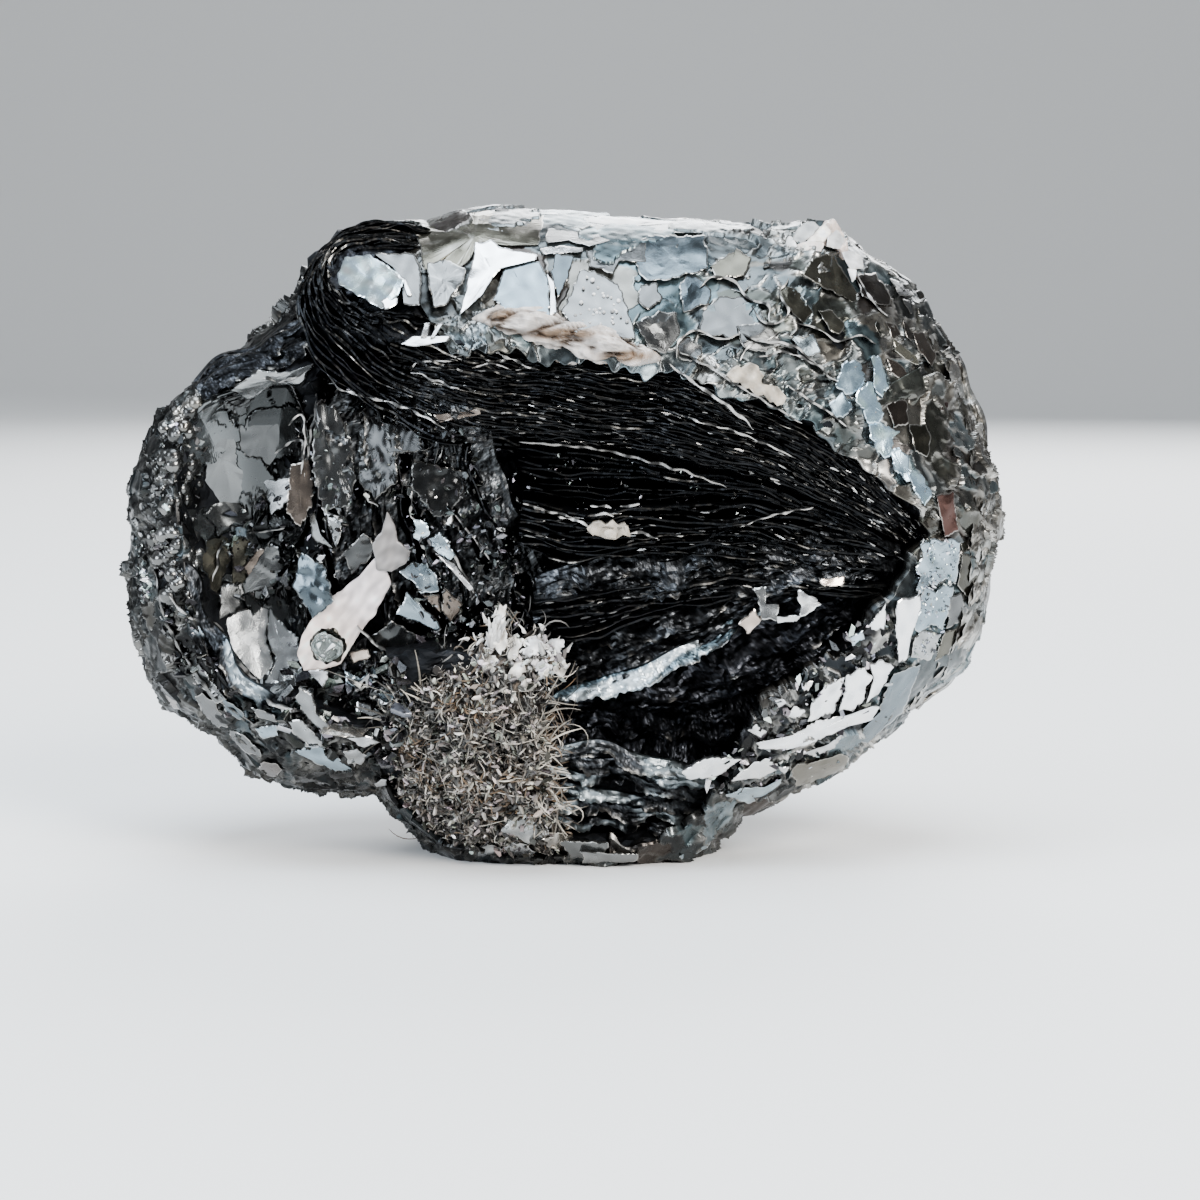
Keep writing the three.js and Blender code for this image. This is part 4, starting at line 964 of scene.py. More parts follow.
def torn_faces(name, seed, rows, ground=front_at, thickness=1.2, bevel=0.12, ragged=0.10, bend=0.35,
               streaks=0.0, rough=0.0, rim=0.5, paint=None, dents=0.03):
    """Flat faces given as cast, brightness, height over the ground, sideways and upward lean, and corners as
    x, z. Each outline is cut into short steps and roughened by waves. Its plane lies along the ground at its
    middle, plus its own lean, and is bent by a share towards the ground's own shape. Rings shrink to its
    middle, a skirt goes down behind, waves dent it, and streaks fan out from the cap's left end."""
    points, walls, caps, tones, start = [], [], [], [], 0
    for number, (cast, bright, height, lean, corners) in enumerate(rows):
        outline = np.array(corners, float)
        after = np.roll(outline, -1, axis=0)
        if (outline[:, 0] * after[:, 1] - outline[:, 1] * after[:, 0]).sum() < 0:
            outline = outline[::-1]
        closed = np.concatenate([outline, outline[:1]])
        length = np.concatenate([[0], np.cumsum(np.linalg.norm(np.diff(closed, axis=0), axis=1))])
        count = int(length[-1] / EDGE_STEP)
        where = np.arange(count) * length[-1] / count
        edge = np.stack([np.interp(where, length, closed[:, 0]), np.interp(where, length, closed[:, 1])], -1)
        middle = edge.mean(0)
        arms = edge - middle
        span = np.linalg.norm(arms, axis=1, keepdims=True)
        own = seed + number
        wave = swell(edge, 1.0, own) + 0.6 * swell(edge, 0.4, own + 50)
        arms *= 1 + ragged * np.minimum(wave, 1.2)[:, None] / np.maximum(span, 0.8)
        rings = 14 if rough else 6
        shares = np.ones((rings, count, 1))
        shares[2] = np.clip(1 - bevel / span, 0.78, 1)
        shares[3:] = np.linspace(0.8, 0.12, rings - 3)[:, None, None]
        flat = middle + shares * arms
        x, z = middle[:1], middle[1:]
        slope = np.array([ground(x + SLOPE_REACH, z) - ground(x - SLOPE_REACH, z),
                          ground(x, z + SLOPE_REACH) - ground(x, z - SLOPE_REACH)])[:, 0] / (2 * SLOPE_REACH)
        plane = ground(x, z) + (flat - middle) @ (slope + lean)
        y = plane + bend * (ground(flat[..., 0], flat[..., 1]) - plane) - height
        y += dents * swell(flat, 1.6, own + 100) + rough * swell(flat, 1.1, own + 120)
        y[0] += thickness
        y[1] += 0.6 * bevel
        mottle = np.exp((0.16 + 2 * rough) * swell(flat, 1.3, own + 150))
        colour = bright * np.array(CASTS[cast]) * mottle[..., None]
        if streaks:
            turn = np.arctan2(flat[..., 1] - 44, flat[..., 0] + 6)
            fan = np.sin(turn * 46 + 2 * swell(flat, 2.0, seed))
            colour = colour + streaks * np.clip(fan - 0.75, 0, 1)[..., None] * 4
        # The bevel ring is painted towards the ridge highlight by rim, and the skirt ring at 0.35 as painted
        # shade.
        colour[1] += (RIDGE_HIGHLIGHT - colour[1]) * rim
        colour[0] *= 0.35
        points.append(np.stack([flat[..., 0], y, flat[..., 1]], -1).reshape(-1, 3))
        tones.append(colour.reshape(-1, 3))
        walls.append(start + grid(rings, count, closed=True))
        corner = start + np.arange(count)[None]
        caps += [corner[:, ::-1], (rings - 1) * count + corner]
        start += rings * count
    points = np.concatenate(points)
    points[:, 2] = np.maximum(points[:, 2], 0.04)
    tones = np.clip(np.concatenate(tones), 0.004, 0.95)
    faces = build(name, points, np.concatenate(walls), *caps, tone=tones)
    faces.data.materials.append(paint or face_metal)
    return faces


face_metal = metal("face_metal", roughness=0.12, dullest=0.2, grain=800, dent=0.08, metallic=0.92,
                   mottling=0.15)
torn_faces("cap_dome", 701, [
    ("olive", 0.10, 0.75, (0, 0), [[-13.2, 50.6], [-10.2, 51.4], [-9.0, 52.0], [-4.4, 52.0], [-2.6, 51.6],
        [-3.0, 49.2], [-5.6, 49.2], [-7.6, 49.5], [-8.4, 48.0], [-9.5, 47.2], [-10.7, 47.8], [-11.9, 47.2],
        [-12.3, 49.2]]),
    ("grey", 0.13, 0.95, (0.05, 0), [[-11.7, 47.9], [-10.2, 48.1], [-8.6, 47.4], [-8.8, 46.4],
        [-10.2, 44.5], [-11.0, 44.4], [-11.5, 46.4]]),
], bend=1.0, streaks=0.10, ragged=0.06)
# The white faces are painted highlights.
torn_faces("cap_faces", 711, [
    ("white", 0.80, 1.3, (0.05, -0.1), [[-7.9, 49.4], [-6.7, 49.6], [-5.7, 49.0], [-3.0, 48.5],
        [-3.1, 48.1], [-5.4, 48.0], [-6.4, 46.8], [-7.4, 45.2], [-9.0, 43.9], [-8.5, 46.0]]),
    ("blue", 0.16, 1.0, (-0.05, 0.0), [[-5.3, 48.0], [-2.9, 48.0], [-2.1, 46.6], [-2.0, 43.8], [-5.2, 44.2],
        [-6.4, 45.0], [-5.9, 46.6]]),
    ("white", 0.62, 1.15, (-0.3, 0.0), [[-2.3, 47.1], [-1.7, 46.4], [-1.5, 44.0], [-2.0, 43.8],
        [-2.0, 46.0]]),
    ("grey", 0.125, 1.0, (0.05, 0.0), [[-1.1, 44.2], [0.4, 47.4], [1.4, 47.2], [3.4, 46.1], [4.3, 43.3],
        [4.6, 42.1], [0.0, 42.4]]),
    ("blue", 0.07, 0.8, (0.1, 0), [[-1.6, 48.6], [-0.2, 48.4], [-0.6, 46.8], [-1.4, 45.2], [-2.0, 47.2]]),
    ("grey", 0.22, 0.6, (0, 0), [[-2.4, 51.4], [-0.1, 51.3], [1.4, 51.6], [5.5, 51.2], [10.1, 51.1],
        [10.8, 50.2], [5.9, 50.2], [3.0, 49.7], [1.0, 49.1], [-0.6, 49.6], [-2.4, 49.4]]),
    ("white", 0.70, 0.9, (0, 0.2), [[-2.9, 48.9], [-1.4, 49.2], [0.6, 49.0], [0.4, 48.7], [-2.6, 48.5]]),
    ("grey", 0.09, 0.7, (0, 0), [[0.8, 48.8], [2.8, 49.2], [5.5, 49.8], [5.5, 47.9], [3.3, 48.0],
        [2.8, 47.0], [1.1, 47.6]]),
    ("blue", 0.12, 0.6, (0.05, 0), [[5.6, 50.0], [10.1, 50.0], [10.4, 47.4], [6.9, 46.5], [5.3, 46.5],
        [4.6, 47.7]]),
    ("blue", 0.09, 0.65, (-0.04, 0.06), [[8.0, 46.1], [8.8, 47.2], [10.1, 46.3], [10.6, 45.4], [10.2, 44.7],
        [8.3, 44.0]]),
    ("grey", 0.07, 0.6, (0, 0.05), [[9.7, 44.0], [11.0, 45.2], [13.1, 45.2], [14.2, 44.2], [14.8, 43.0],
        [11.9, 42.1], [9.5, 42.4]]),
    ("grey", 0.07, 0.65, (0.06, 0), [[4.6, 43.3], [6.4, 44.2], [7.7, 44.0], [8.1, 42.6], [6.9, 40.9],
        [5.5, 41.5]]),
    ("grey", 0.07, 0.6, (0, 0.1), [[7.7, 41.9], [8.6, 42.2], [9.7, 41.5], [9.7, 40.8], [8.8, 40.3],
        [7.9, 40.6]]),
    ("grey", 0.08, 0.75, (0.1, 0), [[5.0, 46.2], [6.2, 46.3], [6.7, 45.0], [5.6, 44.3], [4.7, 44.9]]),
], ragged=0.07)
torn_faces("shell_faces", 721, [
    ("olive", 0.07, 0.65, (0, 0.1), [[10.5, 47.6], [12.6, 49.0], [13.7, 48.2], [13.2, 46.8], [11.0, 46.6]]),
    ("olive", 0.07, 0.6, (0.1, 0), [[17.6, 47.0], [18.5, 48.2], [20.2, 48.6], [21.0, 47.2], [22.3, 45.2],
        [21.8, 44.7], [20.1, 45.6], [18.8, 46.2]]),
    ("brown", 0.025, 0.7, (0, 0), [[22.0, 47.0], [23.8, 47.0], [24.8, 45.5], [24.8, 44.5], [23.8, 44.5],
        [22.5, 45.2]]),
    ("grey", 0.06, 0.6, (0, 0), [[25.0, 46.6], [26.6, 46.0], [27.0, 45.2], [25.6, 45.2]]),
    ("grey", 0.045, 0.6, (0.1, 0), [[25.8, 45.0], [27.2, 44.8], [27.6, 44.0], [26.5, 43.8]]),
    ("olive", 0.06, 0.65, (0.1, 0.1), [[18.8, 44.2], [20.0, 44.2], [20.9, 43.1], [20.5, 42.3],
        [19.6, 42.7]]),
    ("olive", 0.05, 0.6, (0, 0.1), [[15.6, 46.2], [17.2, 45.8], [18.4, 44.0], [17.6, 43.2], [16.0, 44.8]]),
    ("grey", 0.06, 0.6, (0.1, 0), [[12.4, 43.0], [14.6, 43.4], [15.8, 42.0], [14.6, 41.0], [12.8, 41.4]]),
    ("blue", 0.10, 0.6, (0, 0.1), [[16.6, 42.2], [18.4, 42.4], [19.0, 41.0], [17.4, 40.4]]),
    ("brown", 0.06, 0.65, (0.1, 0), [[24.3, 43.2], [25.1, 43.1], [25.6, 42.2], [24.8, 41.8]]),
    ("brown", 0.07, 0.7, (-0.1, 0), [[26.6, 42.4], [27.5, 42.4], [28.6, 40.6], [28.2, 39.6], [27.0, 40.9]]),
    ("brown", 0.08, 0.65, (0.1, 0), [[24.3, 40.4], [25.4, 40.0], [26.1, 39.1], [25.6, 38.6], [24.6, 39.3]]),
    ("olive", 0.22, 0.85, (0.1, 0.1), [[24.8, 42.0], [26.9, 40.4], [27.1, 39.8], [26.0, 40.1],
        [25.0, 41.0]]),
    ("olive", 0.03, 0.65, (0, 0), [[26.0, 35.2], [27.4, 35.2], [27.9, 34.2], [27.5, 32.6], [26.5, 33.2]]),
    ("brown", 0.04, 0.6, (0, 0), [[24.1, 37.0], [25.9, 37.2], [26.0, 35.3], [24.8, 35.1]]),
    ("red", 0.045, 0.9, (0.1, 0), [[28.2, 29.7], [29.7, 29.9], [30.2, 26.8], [29.0, 26.3]]),
    ("red", 0.03, 0.7, (0.1, 0), [[28.9, 37.0], [29.6, 36.8], [29.4, 36.1], [28.8, 36.2]]),
    ("blue", 0.17, 0.7, (0, 0), [[25.0, 15.6], [27.3, 16.2], [27.0, 14.8], [26.3, 11.8], [24.8, 10.5],
        [23.5, 9.2], [22.6, 9.5], [22.9, 10.8], [24.1, 12.1], [24.4, 13.9]]),
    ("blue", 0.42, 0.75, (0.05, 0), [[27.0, 25.8], [27.9, 26.3], [28.8, 26.0], [29.6, 26.2], [30.4, 25.8],
        [30.3, 24.2], [30.0, 22.6], [29.2, 23.0], [28.4, 22.5], [27.5, 22.9], [27.2, 21.9], [26.7, 22.3],
        [27.1, 23.4], [26.6, 24.0], [27.2, 24.8]]),
    ("blue", 0.30, 0.6, (0.02, 0), [[27.4, 22.5], [28.4, 22.1], [29.2, 22.6], [29.9, 22.2], [29.6, 20.8],
        [29.0, 18.9], [28.0, 19.5], [27.0, 18.9], [26.4, 19.4], [27.0, 20.6], [26.8, 21.4]]),
    ("grey", 0.34, 0.65, (0.0, 0.05), [[26.6, 18.5], [27.4, 19.1], [28.9, 18.5], [28.5, 17.3], [28.0, 16.4],
        [27.3, 16.6], [26.4, 16.9]]),
    ("olive", 0.045, 0.6, (0.1, 0), [[30.6, 24.9], [31.5, 24.6], [32.4, 23.1], [31.5, 20.9], [30.3, 22.4]]),
    ("grey", 0.10, 0.6, (0.1, 0), [[29.6, 21.5], [30.6, 21.8], [31.2, 20.1], [30.3, 19.2], [29.4, 19.0]]),
    ("olive", 0.08, 0.6, (0, 0), [[29.3, 18.7], [30.4, 18.8], [29.8, 16.6], [28.5, 16.3], [28.8, 17.5]]),
], ragged=0.07)
torn_faces("blue_glints", 731, [
    ("ice", 0.42, 0.8, (0.2, 0.1), [[20.0, 38.5], [20.6, 40.1], [21.8, 40.5], [22.5, 38.9], [22.1, 38.0],
        [20.9, 37.8]]),
    ("ice", 0.80, 0.9, (0.0, 0.2), [[22.9, 40.7], [23.7, 40.6], [24.4, 38.1], [23.8, 37.4], [23.0, 38.2],
        [23.2, 39.4]]),
    ("ice", 0.78, 0.95, (0.1, 0.0), [[21.5, 37.3], [22.2, 38.4], [22.9, 38.6], [23.4, 37.4], [24.0, 36.1],
        [23.5, 35.3], [22.5, 35.6], [22.2, 36.6]]),
    ("ice", 0.84, 0.9, (0.1, 0.2), [[22.7, 35.4], [23.6, 35.6], [25.3, 34.7], [24.7, 34.2], [24.6, 33.0],
        [23.9, 32.7], [23.0, 33.9]]),
    ("ice", 0.60, 0.85, (0.1, 0.1), [[24.3, 33.5], [25.2, 33.5], [25.9, 32.8], [26.0, 31.9], [26.7, 31.2],
        [25.8, 30.8], [24.9, 31.6]]),
    ("ice", 0.75, 0.9, (0.2, 0.0), [[25.8, 31.6], [26.9, 31.6], [27.4, 30.6], [28.0, 29.8], [27.2, 29.0],
        [26.4, 30.0]]),
    ("ice", 0.34, 0.8, (0.1, 0.0), [[19.4, 37.0], [20.6, 37.8], [21.4, 36.8], [20.6, 35.9], [19.8, 36.2]]),
])
# Their near-white tones paint the reflection of the key light in the steps.
torn_faces("mirror_steps", 741, [
    ("white", 0.90, 0.9, (-0.1, 0.1), [[8.1, 8.2], [10.0, 9.3], [11.6, 9.2], [13.0, 9.0], [11.2, 7.6],
        [9.0, 7.5]]),
    ("white", 0.92, 1.0, (0.0, 0.0), [[12.2, 7.0], [13.1, 8.0], [14.0, 8.6], [14.9, 8.9], [15.8, 8.3],
        [15.8, 7.7], [14.5, 7.1]]),
    ("blue", 0.50, 0.8, (0.1, 0.1), [[11.7, 5.7], [12.4, 5.8], [13.0, 6.2], [15.2, 6.1], [16.4, 6.8],
        [16.2, 5.9], [15.2, 4.9], [13.8, 4.5]]),
    ("white", 0.92, 1.1, (0.0, 0.0), [[14.0, 10.4], [16.7, 10.7], [18.9, 11.9], [21.7, 12.3], [23.5, 12.9],
        [24.1, 12.7], [23.5, 11.6], [21.4, 11.2], [19.3, 10.3], [17.9, 9.8], [16.7, 9.6], [14.5, 9.8]]),
    ("white", 0.90, 1.0, (0.1, 0.1), [[18.4, 13.4], [19.6, 15.1], [21.0, 15.5], [20.8, 14.2], [20.4, 12.7],
        [18.2, 11.9]]),
    ("white", 0.94, 1.15, (0.0, 0.1), [[21.2, 15.7], [22.6, 16.4], [23.2, 15.4], [22.6, 13.6], [22.0, 12.8],
        [20.7, 12.8], [21.0, 14.2]]),
    ("white", 0.85, 1.0, (-0.05, 0.1), [[23.0, 16.6], [24.1, 16.9], [25.0, 16.2], [24.4, 15.1],
        [23.8, 13.9], [22.9, 13.3], [23.4, 15.2]]),
    ("white", 0.95, 1.0, (0.1, 0.0), [[13.4, 11.6], [14.0, 12.1], [14.9, 11.3], [14.5, 10.7]]),
    ("white", 0.90, 1.0, (0.0, 0.1), [[16.4, 12.7], [17.1, 13.3], [18.0, 13.0], [17.7, 12.4],
        [17.0, 12.2]]),
    ("white", 0.75, 1.0, (-0.1, 0.0), [[15.2, 14.1], [16.1, 14.1], [16.5, 13.6], [15.8, 13.4]]),
    ("white", 0.95, 1.1, (0.1, 0.0), [[22.6, 19.7], [23.4, 20.6], [24.1, 21.5], [24.1, 19.2]]),
    ("white", 0.92, 1.2, (0.0, 0.0), [[25.0, 21.6], [26.9, 21.9], [27.0, 20.9], [26.4, 19.2], [26.0, 16.9],
        [25.3, 16.6], [25.1, 18.1], [24.9, 19.5]]),
    ("white", 0.80, 1.0, (0.0, 0.1), [[16.0, 8.0], [17.0, 8.0], [16.5, 7.3]]),
    ("blue", 0.45, 0.9, (0.1, 0.0), [[21.2, 18.8], [22.3, 19.4], [22.5, 18.6], [21.5, 18.1]]),
    ("white", 0.60, 0.9, (0.0, -0.1), [[18.0, 9.2], [20.2, 9.8], [21.4, 10.8], [20.6, 9.4], [18.8, 8.7]]),
    ("olive", 0.12, 0.8, (0.0, 0.1), [[17.1, 7.6], [17.4, 8.2], [18.9, 8.2], [21.1, 8.7], [21.9, 8.3],
        [21.9, 7.0], [19.6, 6.1], [17.7, 5.8]]),
])
torn_faces("dish_plates", 761, [
    ("grey", 0.15, 0.7, (0, 0), [[-31.0, 36.2], [-29.0, 37.4], [-27.3, 37.8], [-27.1, 35.8], [-27.6, 35.0],
        [-27.3, 33.6], [-27.1, 30.4], [-25.6, 30.4], [-25.4, 29.8], [-27.0, 29.1], [-27.6, 27.3],
        [-28.7, 27.0], [-29.6, 27.0], [-30.2, 29.4], [-29.7, 31.1], [-30.4, 32.9], [-30.8, 35.0]]),
    ("grey", 0.09, 0.6, (0, 0), [[-27.0, 36.0], [-25.2, 36.7], [-23.5, 37.9], [-21.8, 37.0], [-23.0, 35.7],
        [-23.5, 34.4], [-24.0, 32.4], [-25.2, 30.8], [-26.9, 30.6], [-27.1, 33.2]]),
    ("grey", 0.30, 1.0, (0, 0.2), [[-27.4, 37.8], [-25.0, 39.4], [-22.6, 39.3], [-20.6, 40.0],
        [-21.6, 38.4], [-24.0, 38.2], [-26.0, 37.0]]),
    ("blue", 0.42, 0.9, (0, 0.2), [[-27.5, 26.7], [-26.6, 26.6], [-26.6, 25.9], [-27.5, 25.9]]),
    ("grey", 0.40, 0.8, (-0.25, 0), [[-28.9, 19.0], [-27.0, 20.0], [-25.0, 20.2], [-24.8, 19.4],
        [-25.2, 18.0], [-24.4, 16.0], [-25.2, 14.2], [-27.0, 15.5], [-28.0, 17.1]]),
    ("grey", 0.50, 0.85, (0.03, 0), [[-24.8, 20.2], [-24.5, 19.5], [-22.4, 17.8], [-21.9, 16.1],
        [-21.9, 14.5], [-23.5, 13.8], [-25.0, 14.2], [-24.2, 16.0], [-25.0, 18.0]]),
    ("grey", 0.15, 0.9, (0, 0), [[-28.7, 21.9], [-27.3, 22.1], [-27.0, 20.3], [-28.7, 19.3]]),
    ("grey", 0.17, 0.9, (0.1, 0), [[-27.0, 22.0], [-24.9, 25.4], [-24.0, 25.1], [-23.7, 23.5],
        [-24.6, 21.8], [-26.8, 21.3]]),
    ("brown", 0.16, 0.9, (0.1, 0), [[-26.9, 23.4], [-25.6, 25.0], [-25.0, 24.6], [-26.4, 22.4]]),
    ("olive", 0.08, 0.6, (0, 0.1), [[-30.2, 26.4], [-28.2, 26.6], [-28.0, 24.0], [-28.9, 21.4],
        [-30.4, 22.4]]),
    ("olive", 0.07, 0.6, (0.1, 0), [[-27.8, 25.8], [-26.4, 25.6], [-26.8, 22.2], [-27.8, 21.8]]),
    ("grey", 0.16, 0.9, (0.1, 0.1), [[-25.3, 30.4], [-23.0, 30.8], [-21.8, 29.9], [-23.6, 28.4],
        [-24.6, 27.6]]),
    ("white", 0.60, 1.2, (0.1, 0), [[-24.0, 22.2], [-23.2, 23.6], [-23.2, 21.8]]),
], ground=broken_front, rim=0.14, bend=0.15, dents=0.012)
torn_faces("left_plates", 771, [
    ("brown", 0.15, -3.0, (0.2, 0), [[-22.4, 32.0], [-21.0, 32.6], [-20.6, 30.6], [-20.8, 28.9],
        [-21.6, 27.2], [-22.7, 28.4]]),
    ("grey", 0.24, -4.2, (0.2, 0), [[-21.0, 28.2], [-20.6, 28.4], [-20.0, 26.4], [-19.1, 25.6],
        [-20.7, 26.2]]),
    ("grey", 0.22, -4.0, (0.0, 0), [[-19.9, 28.6], [-18.2, 27.8], [-18.8, 25.6]]),
    ("blue", 0.70, -3.0, (0.1, 0.1), [[-12.6, 27.9], [-11.6, 27.8], [-11.4, 27.0], [-12.0, 26.3],
        [-12.6, 26.7]]),
    ("blue", 0.66, -3.0, (0.0, 0.1), [[-11.6, 26.3], [-10.7, 27.0], [-10.2, 26.7], [-9.4, 25.1],
        [-9.8, 24.8], [-11.1, 25.7]]),
    ("white", 0.70, -3.2, (0.1, 0.1), [[-11.1, 25.5], [-9.6, 24.6], [-8.0, 22.6], [-8.3, 22.4],
        [-9.6, 23.9]]),
    ("blue", 0.52, -3.3, (0.1, 0.1), [[-13.8, 23.9], [-12.9, 24.5], [-11.7, 24.5], [-10.7, 23.2],
        [-10.7, 22.4], [-12.0, 22.3], [-12.8, 23.2]]),
    ("brown", 0.12, -3.6, (0.0, 0.1), [[-12.0, 22.1], [-10.7, 22.1], [-10.6, 20.7]]),
    ("brown", 0.13, -3.6, (0.0, 0.1), [[-10.4, 22.7], [-8.8, 21.2], [-9.8, 19.9], [-10.5, 20.8]]),
    ("blue", 0.28, -3.6, (0.0, 0.2), [[-14.1, 20.6], [-13.2, 22.3], [-10.7, 19.9], [-10.7, 19.2],
        [-12.9, 20.2]]),
    ("brown", 0.40, -1.6, (0.0, 0.3), [[-10.9, 36.2], [-7.3, 36.7], [-7.2, 36.3], [-10.6, 35.6]]),
    ("grey", 0.26, -4.4, (0.0, 0.2), [[-18.4, 15.2], [-17.4, 14.6], [-16.4, 15.6], [-16.3, 14.6],
        [-17.0, 13.9]]),
    ("brown", 0.46, -4.2, (0.0, 0.2), [[-18.0, 17.2], [-16.4, 17.6], [-16.2, 16.9], [-17.6, 16.4]]),
    ("blue", 0.50, -3.8, (0.0, 0.2), [[-15.8, 13.9], [-14.1, 13.9], [-14.6, 13.2], [-15.4, 13.2]]),
    ("white", 0.66, -3.8, (0.0, 0.2), [[-21.5, 15.7], [-19.6, 15.7], [-20.2, 14.3]]),
], thickness=0.8)
torn_faces("hanging_faces", 775, [
    ("grey", 0.075, -2.0, (0.1, 0), [[-20.4, 36.9], [-18.8, 36.6], [-17.6, 34.0], [-17.2, 31.0],
        [-17.8, 29.0], [-19.8, 28.8], [-20.6, 31.6]]),
    ("grey", 0.028, -2.2, (-0.1, 0), [[-17.2, 36.4], [-15.4, 36.2], [-14.0, 33.6], [-13.8, 31.0],
        [-15.6, 29.6], [-16.9, 30.8], [-17.1, 33.6]]),
    ("grey", 0.030, -2.4, (0.1, 0), [[-12.7, 32.6], [-8.7, 31.8], [-9.0, 29.8], [-9.9, 28.3], [-11.0, 28.3],
        [-12.7, 30.5]]),
    ("grey", 0.020, -2.2, (0, 0.1), [[-15.4, 35.6], [-12.2, 34.8], [-11.8, 33.4], [-14.6, 33.2]]),
    ("blue", 0.09, -2.8, (0.1, 0), [[-21.6, 25.4], [-19.6, 24.2], [-19.0, 21.6], [-20.6, 20.2],
        [-22.2, 22.6]]),
    ("grey", 0.06, -3.4, (0, 0), [[-18.2, 25.2], [-16.6, 27.0], [-15.6, 26.0], [-16.4, 24.6],
        [-17.6, 23.6]]),
    ("grey", 0.05, -3.8, (0, 0), [[-16.0, 18.8], [-14.4, 20.0], [-12.6, 18.8], [-13.2, 17.2],
        [-15.4, 17.4]]),
], thickness=0.8, rough=0.04, rim=0.2)
torn_faces("ledge_plates", 781, [
    ("grey", 0.10, 0.8, (0, 0.1), [[-30.4, 13.6], [-29.7, 13.9], [-28.6, 13.2], [-28.3, 11.9],
        [-28.0, 10.9], [-28.9, 10.6], [-29.8, 11.6]]),
    ("blue", 0.14, 1.0, (0, 0.1), [[-28.1, 13.8], [-27.1, 13.2], [-26.2, 12.1], [-26.8, 11.6],
        [-27.8, 12.4]]),
    ("grey", 0.15, 1.0, (0, 0.1), [[-25.8, 13.0], [-23.9, 12.4], [-23.7, 11.8], [-25.2, 12.0]]),
    ("grey", 0.10, 0.8, (0, 0.1), [[-28.1, 10.6], [-26.8, 10.3], [-25.5, 9.2], [-25.2, 8.4], [-26.8, 8.7],
        [-27.7, 9.5]]),
    ("beige", 0.13, 0.9, (0, 0.1), [[-25.8, 7.2], [-25.2, 8.0], [-23.9, 8.0], [-23.7, 7.4], [-24.5, 6.4],
        [-25.5, 6.7]]),
    ("beige", 0.20, 0.9, (0.1, 0), [[-33.5, 13.5], [-32.1, 12.7], [-32.1, 12.0], [-32.7, 12.0],
        [-33.3, 12.9]]),
    ("grey", 0.20, 1.0, (0, 0.1), [[-21.7, 14.9], [-20.6, 14.2], [-20.3, 12.7], [-19.3, 11.8],
        [-20.0, 11.5], [-21.4, 12.6], [-21.9, 13.9]]),
    ("clay", 0.14, 1.0, (0, 0.1), [[-23.1, 12.6], [-22.0, 12.1], [-21.3, 11.5], [-21.7, 10.7],
        [-22.8, 11.6]]),
    ("blue", 0.32, 0.6, (0, 0.2), [[-22.4, 9.4], [-20.4, 10.2], [-17.8, 7.8], [-19.2, 7.6], [-21.3, 8.7]]),
    ("blue", 0.28, 0.8, (0, 0.2), [[-25.7, 11.0], [-23.8, 11.5], [-23.6, 10.6], [-25.0, 10.2]]),
    ("grey", 0.12, 0.6, (0, 0.1), [[-30.6, 17.0], [-29.2, 15.4], [-27.6, 13.6], [-28.6, 13.2],
        [-30.4, 15.0]]),
    ("grey", 0.14, 0.5, (0, 0), [[-1.5, 2.2], [2.5, 2.2], [2.2, 0.8], [-0.5, 0.6]]),
    ("grey", 0.21, 0.8, (0, 0), [[0.3, 1.4], [5.0, 1.2], [4.6, 0.4], [0.5, 0.3]]),
    ("blue", 0.34, 0.6, (0, 0), [[8.0, 0.7], [10.8, 1.5], [10.6, 0.8], [8.4, 0.2]]),
])
torn_faces("saddle_plates", 785, [
    ("blue", 0.34, 1.5, (0.1, 0.2), [[-18.5, 15.7], [-17.9, 15.2], [-17.2, 14.9], [-16.6, 15.2],
        [-16.0, 15.9], [-15.8, 15.2], [-16.4, 14.5], [-17.4, 14.2], [-18.3, 14.6]]),
    ("white", 0.75, 1.6, (0.0, 0.3), [[-16.5, 13.9], [-15.6, 14.4], [-14.6, 14.3], [-15.2, 13.8]]),
    ("white", 0.66, 1.5, (0.1, 0.2), [[-16.3, 13.4], [-15.2, 13.5], [-14.4, 13.0], [-15.6, 12.8]]),
    ("grey", 0.50, 1.4, (0.0, 0.3), [[-17.6, 13.2], [-16.8, 13.0], [-15.4, 12.2], [-16.2, 11.9],
        [-17.4, 12.4]]),
    ("grey", 0.26, 1.4, (0.1, 0.1), [[-22.6, 12.0], [-21.6, 12.2], [-20.4, 11.0], [-19.8, 10.0],
        [-21.0, 10.2], [-22.2, 11.0]]),
    ("clay", 0.30, 1.4, (0.0, 0.3), [[-20.0, 11.9], [-18.4, 11.7], [-16.4, 11.4], [-17.0, 10.9],
        [-18.8, 11.1], [-20.0, 11.3]]),
    ("grey", 0.42, 1.4, (0.1, 0.2), [[-18.0, 10.8], [-16.4, 10.9], [-15.4, 10.4], [-16.8, 10.0]]),
    ("grey", 0.30, 1.4, (0.1, 0.1), [[-18.4, 9.5], [-17.4, 9.8], [-16.6, 9.2], [-17.0, 8.4], [-18.0, 8.5]]),
    ("white", 0.60, 1.4, (0.0, 0.2), [[-16.2, 6.4], [-15.6, 6.9], [-15.0, 7.0], [-15.3, 6.3],
        [-16.0, 6.1]]),
], ground=broken_front, thickness=0.7, rough=0.05, rim=0.3)
